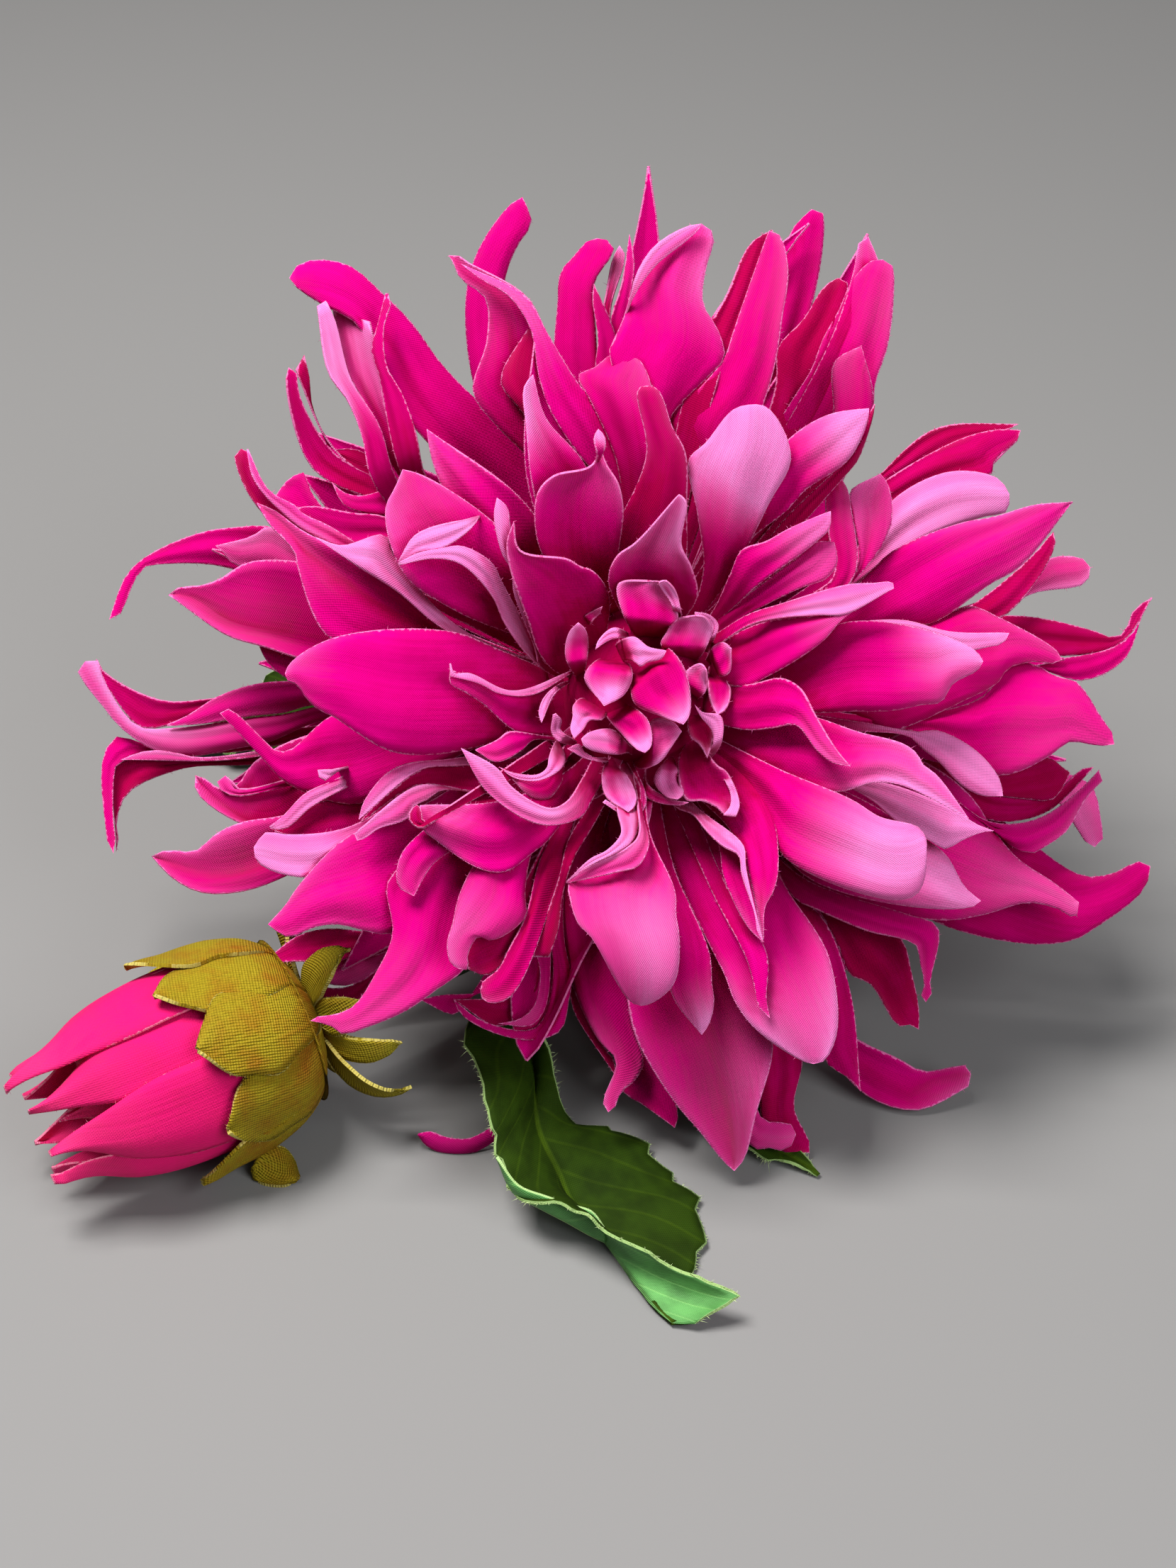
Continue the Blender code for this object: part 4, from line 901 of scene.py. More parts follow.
DRAWN_BOTTOM = (
    Drawn(
        THIRD,
        ((24.8, -52.1), (26, -51.8), (27.8, -48.8), (27, -37.2), (19.8, -24.8), (19.6, -20), (17, -13),
         (10, -6)),
        ((24.8, -52.1), (23.2, -51.6), (16, -46.6), (13.4, -42.8), (12.4, -40), (9.6, -34.4), (3, -20),
         (2.3, -18), (2, -10)),
        rise=0, cup=-1.3, pale=1.1, start=0.35,
    ),
    Drawn(
        THIRD,
        ((17.7, -34.9), (16, -33.4), (12, -25.2), (11.6, -22), (10, -18)),
        ((17.7, -34.9), (15, -23), (12, -17)),
        rise=3.5, cup=-0.4, pale=0.3,
    ),
    Drawn(
        THIRD,
        ((18.6, -45.6), (16.9, -43.8), (16.6, -42), (15.6, -38), (11, -29)),
        ((18.6, -45.6), (18.1, -43), (18.2, -36.8), (13, -28)),
        rise=2, cup=-0.5, pale=0.5, start=0.6,
    ),
    Drawn(
        SECOND,
        ((17.6, -34.6), (15, -23), (13, -19), (7, -13), (4, -9)),
        ((17.7, -34.5), (18, -29.8), (19.1, -27.8), (19.8, -24.8), (17.6, -13.2), (9, -6)),
        rise=-2, cup=-1.4, tilt=0.8, deep=0.25, pale=0.8, start=0.5,
    ),
    Drawn(
        SECOND,
        ((17.6, -34.7), (16.9, -33.6), (16.5, -31.2), (14.6, -25.2), (14.2, -22.6), (12, -21.4),
         (9.6, -19.2), (7.6, -16.8), (5.2, -15.8), (4, -12)),
        ((17.6, -34.7), (15.2, -24), (15, -21.5), (8.5, -16), (6, -13)),
        rise=-0.5, cup=-0.4, pale=1, start=-0.5,
    ),
    Drawn(
        HANGING,
        ((13.6, -67.2), (12.4, -66.2), (8, -60.8), (6, -58.6), (-0.4, -48), (-1.5, -42.8), (-3, -30),
         (-2, -16)),
        ((13.6, -67.2), (14.8, -65.8), (16.6, -59.2), (19, -50.4), (18.8, -47), (9, -26), (6, -16)),
        fold=((13.6, -67.2), (13.6, -64), (12, -55), (9, -46), (5, -28), (2, -16)),
        rise=0, cup=2.2, pale=0.55, start=0.2,
    ),
    Drawn(
        THIRD,
        ((9, -48), (4.8, -42.4), (4, -34), (2, -26), (1, -14)),
        ((9, -48), (10, -46.4), (10.7, -43.2), (10.4, -40.8), (10.2, -37), (5, -24), (3, -14)),
        rise=0, cup=-0.8, deep=0.3, pale=1.6, start=0.55,
    ),
    Drawn(
        FOLDED,
        ((0.4, -43.9), (-0.8, -43.4), (-6.8, -34), (-8.4, -32.4), (-9.7, -28.4), (-9.9, -26.8), (-6, -25.2),
         (-2, -22.5), (0, -18), (0, -10)),
        ((0.4, -43.9), (2, -43.4), (5, -40.8), (5.8, -33.6), (5.4, -31.2), (5.3, -28), (1.6, -19),
         (1, -10)),
        rise=0, cup=-1, pale=0.55, start=0.1,
    ),
    Drawn(
        FOLDED,
        ((-10, -26.6), (-2.8, -25), (0, -24.2), (1.5, -21.5), (0.5, -16)),
        ((-10, -26.4), (-8, -24.8), (0, -20), (0, -16)),
        rise=1.5, cup=0.4, pale=0.4, start=-0.3, deep=0.1,
    ),
    Drawn(
        FOLDED,
        ((-10, -26.5), (-8, -24.8), (-0.5, -20.2), (0.2, -17)),
        ((-10, -26.3), (-6.8, -23.2), (-4.4, -22), (-2.4, -19.6), (-3, -16)),
        rise=2.2, cup=-0.4, pale=1.1, start=-0.6,
    ),
    Drawn(
        FOURTH,
        ((-4.2, -58.9), (-4.9, -57.8), (-3, -52), (-3.4, -50.8), (-5, -49.4), (-9.6, -39.6), (-10.2, -36),
         (-11, -32.8), (-11, -28), (-8, -16)),
        ((-4.2, -58.9), (-3.4, -58.4), (-2.4, -56), (-0.8, -54.8), (0.8, -52), (-0.4, -48), (-1.5, -42),
         (-2, -36), (-4, -28), (-3, -16)),
        fold=((-4.2, -58.9), (-3.8, -56), (-2.6, -52), (-6, -42), (-7, -36), (-8, -28), (-6, -16)),
        rise=2, cup=-1.2, pale=0.4, deep=0.1,
    ),
    Drawn(
        FOURTH,
        ((-3.2, -53.8), (-9.4, -43.6), (-9.6, -40), (-8, -34), (-6, -20)),
        ((-3.2, -53.8), (-3.4, -51.5), (-4.6, -50), (-5.5, -47.5), (-7.5, -43), (-7, -36), (-5, -20)),
        rise=-1, cup=-0.5, deep=0.8,
    ),
    Drawn(
        FOURTH,
        ((5.2, -61.1), (0, -57.4), (-2, -56.2), (-1.5, -52), (-1, -28)),
        ((5.2, -61.1), (5.6, -60), (4, -52), (2, -28)),
        rise=-2, cup=-0.8, deep=0.3,
    ),
    Drawn(
        FOURTH,
        ((22.3, -62), (21.4, -63.8), (20.2, -64.3), (19.6, -63.9), (16, -63.9), (15, -60), (13, -52),
         (11, -38)),
        ((22.3, -62), (21.6, -60.6), (17.6, -60), (16.6, -58), (13, -38)),
        rise=-1, cup=-0.9, pale=0.4,
    ),
    Drawn(
        FOURTH,
        ((24.2, -64.6), (20, -64.3), (18, -62), (17, -56), (15, -46), (10, -30)),
        ((24.2, -64.6), (24.2, -63.2), (22, -58.4), (23.2, -51.2), (22, -44), (15, -28)),
        rise=-3, cup=-0.8, deep=0.6,
    ),
    Drawn(
        FOURTH,
        ((31.4, -56), (30.4, -54.6), (26.4, -51.6), (26, -46), (20, -28), (12, -14)),
        ((31.4, -56), (30, -42), (26.4, -32), (22.8, -28), (13, -13)),
        rise=2, cup=-1, deep=0.4, pale=0.8, start=0.75,
    ),
)
DRAWN_LOWER_LEFT = (
    Drawn(
        SECOND,
        ((-25, -7.5), (-21.2, -13.8), (-13.2, -18.4), (-8, -17.2), (-6.6, -15)),
        ((-25, -7.5), (-19.6, -10.6), (-18, -12.8), (-12, -16), (-10, -15), (-8, -12)),
        rise=-1, cup=-0.9, pale=0.75, start=-0.3,
    ),
    Drawn(
        SECOND,
        ((-30.8, -15.6), (-30.4, -17), (-30.4, -19), (-29.2, -20), (-22, -24.7), (-18.8, -25),
         (-14.8, -22.2), (-13.2, -21), (-8, -14)),
        ((-30.8, -15.6), (-19.6, -15), (-15, -13.5), (-8, -9)),
        rise=-4, cup=-1.4, pale=0.5, start=0.3,
    ),
    Drawn(
        SECOND,
        ((-31.2, -15.5), (-32.2, -16.4), (-32.2, -17.8), (-30.6, -18.9), (-29, -18)),
        ((-31.2, -15.5), (-30.6, -16), (-30.2, -18), (-28.6, -17)),
        rise=-4, cup=0.5, deep=0.6,
    ),
    Drawn(
        THIRD,
        ((-39, -17.6), (-36, -14.6), (-30, -10.3), (-25, -10), (-18, -9), (-12, -7)),
        ((-39, -18), (-30.8, -12.8), (-24, -13.6), (-18, -14), (-12, -12)),
        rise=1, cup=0.6, deep=0.6,
    ),
    Drawn(
        THIRD,
        ((-39.4, -17.6), (-38.8, -15.4), (-35.6, -11.2), (-33.2, -9.9), (-26, -9), (-20, -8)),
        ((-39.4, -17.6), (-30, -10.3), (-26, -10), (-20, -9.5)),
        rise=3, cup=-0.5, pale=0.8, start=-0.6,
    ),
    Drawn(
        THIRD,
        ((-39.6, -20.6), (-40, -19.8), (-38.4, -18.2), (-30.8, -12.8), (-27.6, -12.9), (-24, -13)),
        ((-39.6, -20.6), (-38.4, -20.2), (-36.8, -19), (-32.4, -17.4), (-31.5, -15.6), (-30, -15),
         (-28, -13.6), (-24, -13.4)),
        rise=3, cup=-0.5, pale=0.9, start=-0.6,
    ),
    Drawn(
        FOURTH,
        ((-45.2, -10.6), (-42.8, -10.5), (-40, -10)),
        ((-45.2, -10.6), (-45, -11.6), (-44.2, -12.1), (-42.6, -10.8), (-40, -10.4)),
        rise=9, cup=0.3, pale=1.6, start=-0.6,
    ),
    Drawn(
        FOURTH,
        ((-52, -18.6), (-50.5, -17.5), (-46.8, -13.8), (-44, -12.5), (-36, -9)),
        ((-51.8, -18.9), (-50, -19), (-46, -15.8), (-36, -11)),
        rise=6, cup=-0.5, pale=0.9, start=-0.6,
    ),
    Drawn(
        FOURTH,
        ((-51.6, -18.8), (-49.6, -18.6), (-46, -15.6), (-44, -14.9), (-40, -15.2), (-30, -11), (-18, -6)),
        ((-51.6, -19.2), (-48, -20), (-40, -19.5), (-32, -15), (-18, -9)),
        rise=4, cup=0.5, deep=0.4,
    ),
    Drawn(
        FOURTH,
        ((-62.4, -11.4), (-61.2, -11.8), (-58.8, -13.4), (-56.8, -13), (-54.4, -9.8), (-50, -7), (-40, -4),
         (-28, -1), (-16, 0)),
        ((-62.4, -11.4), (-62.5, -13.2), (-51.6, -19.4), (-40, -15), (-28, -9), (-16, -5)),
        fold=((-62, -12), (-60, -14.2), (-55.2, -17.5), (-52, -18), (-48, -16), (-40, -11), (-28, -5.5),
              (-16, -2.5)),
        rise=0, cup=2, pale=0.3,
    ),
    Drawn(
        FOURTH,
        ((-58.2, -11.4), (-59.5, -12.6), (-58, -14), (-46, -12)),
        ((-58.2, -11.4), (-57.2, -12.2), (-56.8, -13), (-46, -11)),
        rise=1, cup=-0.3, pale=0.5,
    ),
    Drawn(
        THIRD,
        ((-54.2, -21.5), (-52.4, -19.4), (-50, -19.7), (-41.6, -18.9), (-26, -10), (-16, -6)),
        ((-54.2, -21.5), (-53.8, -23.4), (-46.6, -25.8), (-38, -22), (-28, -14), (-16, -8)),
        rise=-2, cup=-0.9, pale=1.2, start=-0.3,
    ),
    Drawn(
        THIRD,
        ((-52.2, -32.4), (-49.6, -29.6), (-48.6, -28), (-41.2, -20.2), (-32, -16.5), (-24, -12), (-14, -7)),
        ((-52.2, -32.4), (-49.4, -34.2), (-45.6, -32.8), (-42.8, -32.4), (-34.6, -33.6), (-32, -31),
         (-22, -19), (-13, -11)),
        rise=-1, cup=-1.2, pale=0.25,
    ),
    Drawn(
        THIRD,
        ((-46.2, -46), (-46.2, -45.5), (-44.4, -45.4), (-40.4, -44.2), (-36.8, -39), (-34.6, -33.8),
         (-35.4, -26.6), (-34, -24.6), (-24, -15), (-14, -9)),
        ((-46.2, -46), (-45.6, -46.4), (-44, -46.2), (-41.8, -47.8), (-38, -46.8), (-32.8, -44.6),
         (-28.4, -41.6), (-24, -38), (-24, -32), (-22, -24), (-12, -12)),
        rise=1, cup=-1.4, pale=0.3,
    ),
    Drawn(
        THIRD,
        ((-31.6, -28.4), (-33.8, -27), (-33.6, -23), (-30, -19), (-24, -15)),
        ((-31.6, -28.4), (-28.8, -23.8), (-26.4, -22), (-20, -17)),
        rise=3.5, cup=-0.8, pale=0.3,
    ),
    Drawn(
        THIRD,
        ((-25.2, -38.7), (-26.4, -37.8), (-26.9, -35), (-26.2, -32.6), (-25, -27.8), (-16, -14), (-10, -9)),
        ((-25.2, -38.7), (-24, -38.7), (-24.1, -37), (-22.4, -34), (-20.8, -34.6), (-15.8, -31),
         (-16, -28.6), (-15, -22), (-11, -14), (-7, -9)),
        rise=4.5, cup=-1.5, tilt=-0.6, pale=0.5, start=0.25,
    ),
    Drawn(
        THIRD,
        ((-24, -37), (-23.8, -35.4), (-22.4, -34), (-20.8, -34), (-18, -30), (-9, -12)),
        ((-24, -38.7), (-21.4, -39.6), (-19.6, -38.6), (-18.4, -36.2), (-16.8, -33.4), (-12, -20),
         (-8, -12)),
        rise=1, cup=-0.4, deep=0.8,
    ),
    Drawn(
        THIRD,
        ((-22, -42.6), (-22.2, -41), (-19.6, -38.6), (-18.4, -36.2), (-15.8, -31), (-14, -23.8), (-9, -14)),
        ((-22, -42.8), (-21.4, -43.4), (-18.8, -43.2), (-12, -29), (-10, -22.6), (-9.6, -19.8), (-7, -13)),
        fold=((-22, -42.7), (-19.4, -41), (-17.2, -37.6), (-12, -22), (-8, -13.5)),
        rise=2.5, cup=-1, deep=0.55, pale=0.5, start=0.6,
    ),
    Drawn(
        THIRD,
        ((-15, -37), (-11, -25.4), (-10, -21), (-6, -14)),
        ((-12.5, -37), (-11.2, -33), (-10.6, -28), (-9, -23), (-6, -18), (-3, -12)),
        rise=1, cup=-0.6, deep=0.9,
    ),
    Drawn(
        FOURTH,
        ((-26, -43), (-25, -45), (-15.6, -48.7), (-11, -47.4), (-9.8, -43), (-9.4, -40.6), (-10.4, -35),
         (-10.5, -28), (-8, -18)),
        ((-26, -43), (-22, -46), (-14.4, -47), (-12, -40.2), (-12.4, -32), (-9, -17)),
        rise=2, cup=-0.8, deep=0.2,
    ),
    Drawn(
        FOURTH,
        ((-19.8, -46.4), (-15, -46.6), (-13.4, -44.8), (-12.3, -38), (-12.6, -32), (-10, -20)),
        ((-19.8, -46.4), (-16.8, -45.8), (-14.8, -44.2), (-13.8, -39), (-14.4, -36), (-14, -30),
         (-11, -19)),
        rise=3, cup=-0.6, pale=0.3,
    ),
    Drawn(
        FOURTH,
        ((-26, -43), (-19.6, -46.8), (-14.8, -44.2), (-14.2, -41), (-13, -34), (-9, -20)),
        ((-26, -43), (-17, -42.6), (-14.8, -42), (-14, -38), (-13, -32), (-9, -18)),
        rise=0, cup=0.4, deep=1.3,
    ),
    Drawn(
        FOURTH,
        ((-30.8, -43), (-25.6, -45), (-24, -43), (-12, -22)),
        ((-30.8, -43), (-28, -42.4), (-21, -41.5), (-17, -34), (-10, -21)),
        rise=-1, cup=-0.6, deep=0.2,
    ),
    Drawn(
        FOURTH,
        ((-47, -40), (-44.8, -38.2), (-39.2, -36.1), (-36.8, -35.8), (-24, -24), (-12, -12)),
        ((-47, -40), (-41.2, -41), (-38.8, -40.2), (-32, -34), (-12, -14)),
        rise=0, cup=-1, pale=0.4,
    ),
    Drawn(
        FOURTH,
        ((-46, -41), (-42, -41.4), (-39, -40.4), (-26, -28)),
        ((-44, -43.5), (-41, -44.5), (-36.5, -39), (-26, -30)),
        rise=-2, cup=0.4, deep=1.2,
    ),
    Drawn(
        FOURTH,
        ((-52, -37), (-48, -34), (-44, -33), (-38, -33.5), (-34, -34), (-26, -26), (-14, -13)),
        ((-52, -38), (-48, -37.6), (-44, -38), (-40, -37), (-36, -36.5), (-28, -29), (-14, -15)),
        rise=1, cup=0.5, deep=0.5,
    ),
)
DRAWN_LEFT = (
    Drawn(
        SECOND,
        ((-49.8, 3), (-49.2, 4.2), (-44, 7.6), (-26, 8.8), (-20, 6.5), (-13, 3.5)),
        ((-49.8, 3), (-49.4, 2), (-48, 1.4), (-47, -0.2), (-45.2, -2), (-43.2, -3), (-34.8, -8),
         (-28.8, -8.4), (-11, -4)),
        rise=0, cup=-1.5, pale=0.45, start=0.5, deep=0.1,
    ),
    Drawn(
        FOURTH,
        ((-59, -2.6), (-58.2, -2), (-52.4, -6.8), (-51, -8), (-49.5, -8), (-43.2, -3), (-26, 0), (-14, 0)),
        ((-59, -2.6), (-52, -10), (-50.4, -11.8), (-40, -15.4), (-34, -13), (-24, -8), (-14, -4)),
        rise=6, cup=-1, deep=0.1,
    ),
    Drawn(
        OUTER,
        ((-76.4, 5), (-76, 4), (-67.2, -0.8), (-59, -0.4), (-54, 0), (-46, 2), (-34, 3), (-16, 2)),
        ((-76.4, 4.6), (-75.6, 2.4), (-72, -3), (-70.4, -4.6), (-64, -3.6), (-62, -2.6), (-50, -2),
         (-34, 0), (-16, 0)),
        rise=0, cup=0.6, deep=0.3,
    ),
    Drawn(
        OUTER,
        ((-66.4, -4.2), (-64, -3.2), (-59.2, -0.2), (-53.6, 1.6), (-46, 2), (-34, 3), (-16, 2)),
        ((-66.4, -4.4), (-62, -4.2), (-54, -3), (-50, -2.6), (-46, -1.4), (-34, 0), (-16, 0)),
        rise=3, cup=-1.2, pale=0.3,
    ),
    Drawn(
        OUTER,
        ((-78, 4.7), (-76.4, 5), (-75.4, 2.2), (-70.4, -4.6), (-66, -4.8), (-54, -3.2), (-50, -2.8),
         (-44, -1.4), (-34, 0), (-18, 0)),
        ((-78, 4.7), (-79, 4), (-75.2, -2), (-72.8, -4.8), (-66, -8.6), (-56, -7.4), (-52, -6.6), (-46, -4),
         (-34, -2), (-18, -1)),
        rise=4, cup=-1.5, pale=0.9, start=0.2,
    ),
    Drawn(
        OUTER,
        ((-73.6, -22.2), (-73.6, -10), (-72.8, -9.2), (-68, -9.4), (-50, -8), (-36, -5), (-18, -2)),
        ((-73.6, -22.2), (-73.2, -21), (-73.6, -19.2), (-72.4, -14.4), (-64.8, -10.6), (-52, -9.6),
         (-36, -6.5), (-18, -3)),
        rise=0, cup=0.6, deep=1,
    ),
    Drawn(
        OUTER,
        ((-74, -22.4), (-74.6, -21.6), (-75, -19.2), (-75, -7.6), (-72.8, -5.6), (-70.8, -6.8), (-66, -7),
         (-36, -3)),
        ((-74, -22.4), (-73.7, -20), (-74, -18), (-74, -13.2), (-73.6, -10), (-70, -8.4), (-66, -8.4),
         (-56, -8), (-36, -4)),
        rise=1.5, cup=-1.2, deep=0.1,
    ),
    Drawn(
        OUTER,
        ((-73, -9.2), (-70, -8.1), (-66, -8), (-63, -8.8), (-48, -7)),
        ((-73, -9.2), (-58, -9.2), (-48, -8)),
        rise=3, cup=-0.3, pale=0.6, start=-0.4,
    ),
    Drawn(
        FOURTH,
        ((-68.6, -22.8), (-67.6, -22.2), (-64.8, -22), (-62.8, -22.2), (-59.2, -19.4), (-56, -18),
         (-50, -17), (-28, -8), (-16, -4)),
        ((-68.6, -22.8), (-66, -25.6), (-62, -27.8), (-56, -27.8), (-49.6, -25.6), (-32, -14), (-16, -7)),
        fold=((-68.4, -22.9), (-58.4, -25.4), (-32, -11.5), (-16, -5.5)),
        rise=1, cup=2, pale=0.35,
    ),
    Drawn(
        FOURTH,
        ((-66.2, 14), (-64.8, 15.1), (-62, 15.3), (-59.2, 16.2), (-55.2, 18.6), (-44, 18), (-34, 13),
         (-14, 5)),
        ((-66.2, 14), (-57.6, 8.2), (-52.8, 6.8), (-48, 5.2), (-14, 1)),
        fold=((-66, 14.2), (-62.8, 13.8), (-57.6, 10.6), (-47.2, 8.4), (-30, 5), (-14, 3)),
        rise=0, cup=2, pale=0.3,
    ),
    Drawn(
        FOURTH,
        ((-53.4, 6.8), (-52.4, 4.8), (-48, 1.5), (-38, 1), (-26, 1)),
        ((-53.2, 6.9), (-50, 6), (-38, 5), (-26, 3)),
        rise=-2, cup=-0.4, deep=0.2,
    ),
    Drawn(
        THIRD,
        ((-53.8, 27), (-52, 24), (-48.4, 20), (-48, 18), (-43.5, 8), (-36, 7), (-26, 6), (-16, 4)),
        ((-53.6, 27), (-51.2, 26), (-48, 23.6), (-38, 18.2), (-30, 11.5), (-24, 8), (-15, 5)),
        fold=((-53.7, 27), (-50, 24), (-46.5, 20), (-37, 12.5), (-30, 9), (-15, 4.5)),
        rise=0, cup=1.6, pale=0.25, deep=0.1,
    ),
    Drawn(
        THIRD,
        ((-56, 34.7), (-56.8, 34.2), (-56, 30.4), (-52.8, 25.5), (-34, 15)),
        ((-56, 34.7), (-55, 34.6), (-54.4, 30.8), (-46, 22.5), (-34, 16)),
        rise=-2, cup=-0.6, lift=2, deep=0.7,
    ),
    Drawn(
        THIRD,
        ((-55.2, 34.6), (-54.4, 30.8), (-49.6, 25.2), (-36, 17)),
        ((-55, 34.6), (-52, 28.8), (-48, 26.4), (-47.4, 25.6), (-44, 24), (-36, 19)),
        rise=0, cup=-0.5, lift=2, pale=0.5, start=-0.4,
    ),
    Drawn(
        FOURTH,
        ((-48, 26.4), (-46, 26.6), (-40, 25.6), (-36, 25.2), (-28, 20), (-16, 11)),
        ((-48, 25.6), (-45.6, 22.4), (-40, 21.2), (-36, 22), (-28, 17), (-16, 9)),
        rise=3, cup=0.5, deep=0.2,
    ),
    Drawn(
        THIRD,
        ((-45.6, 22.3), (-42, 21), (-35.6, 22.4), (-34.8, 20), (-33.6, 18.4), (-26, 10), (-18, 6)),
        ((-45.6, 22.3), (-40, 18.4), (-34, 14.6), (-28, 9.6), (-18, 4.5)),
        rise=4, cup=-1, pale=1.1, start=-0.4,
    ),
    Drawn(
        OUTER,
        ((-74.6, 10.6), (-71.6, 17.6), (-62, 22.8), (-56, 23.7), (-52.4, 23.8), (-34, 14), (-16, 7)),
        ((-74.6, 10.6), (-73.6, 10.8), (-69.6, 18), (-66.8, 18.4), (-60, 18.3), (-34, 9), (-16, 5)),
        rise=2, cup=-1.2, deep=0.1,
    ),
    Drawn(
        OUTER,
        ((-59.6, 21), (-54.4, 22.4), (-52, 23.8), (-48, 21), (-36, 15), (-18, 8)),
        ((-59.6, 21), (-58.4, 20), (-57.2, 18.4), (-55, 18), (-48, 16), (-36, 10), (-18, 5)),
        rise=5, cup=-0.6, pale=0.7, start=-0.2,
    ),
    Drawn(
        THIRD,
        ((-33.8, 18.9), (-31.5, 22.5), (-25, 24.6), (-20.5, 25), (-19.8, 24)),
        ((-33.6, 18.4), (-31, 20), (-28, 20.5), (-23, 24), (-22.3, 25.2)),
        rise=9, cup=-0.4, pale=1.4, start=-0.6,
    ),
    Drawn(
        SECOND,
        ((-33.8, 18.6), (-31, 20), (-28, 20.6), (-25, 21), (-20.4, 18.4), (-19.2, 16), (-14.8, 7.2),
         (-14.2, 4.4)),
        ((-33.6, 18.3), (-29, 19.2), (-25.4, 18.6), (-20.4, 13.6), (-18.8, 10), (-14.3, 4.3)),
        rise=0, cup=-0.6, pale=1.1, start=-0.5,
    ),
    Drawn(
        SECOND,
        ((-19.9, 27.8), (-20.3, 25.5), (-19, 19.6), (-17.8, 17.6), (-17.6, 14.8), (-14.4, 6), (-14, 4.2)),
        ((-19.9, 27.8), (-18.5, 26.5), (-18, 23.5), (-16.4, 17), (-14, 10.4), (-13.4, 4.8)),
        rise=2, cup=-0.6, pale=0.8, start=-0.4,
    ),
    Drawn(
        INNER,
        ((-17.5, 24.5), (-16.8, 20.5), (-9.6, 19), (-8, 18), (-6.6, 17.6), (-4.3, 14.8), (-5, 5)),
        ((-17.5, 24.5), (-18.5, 21.5), (-15.2, 9.5), (-14, 6), (-12, 3.5), (-9, 2)),
        rise=-2, cup=1.2, deep=0.1, pale=0.2,
    ),
)
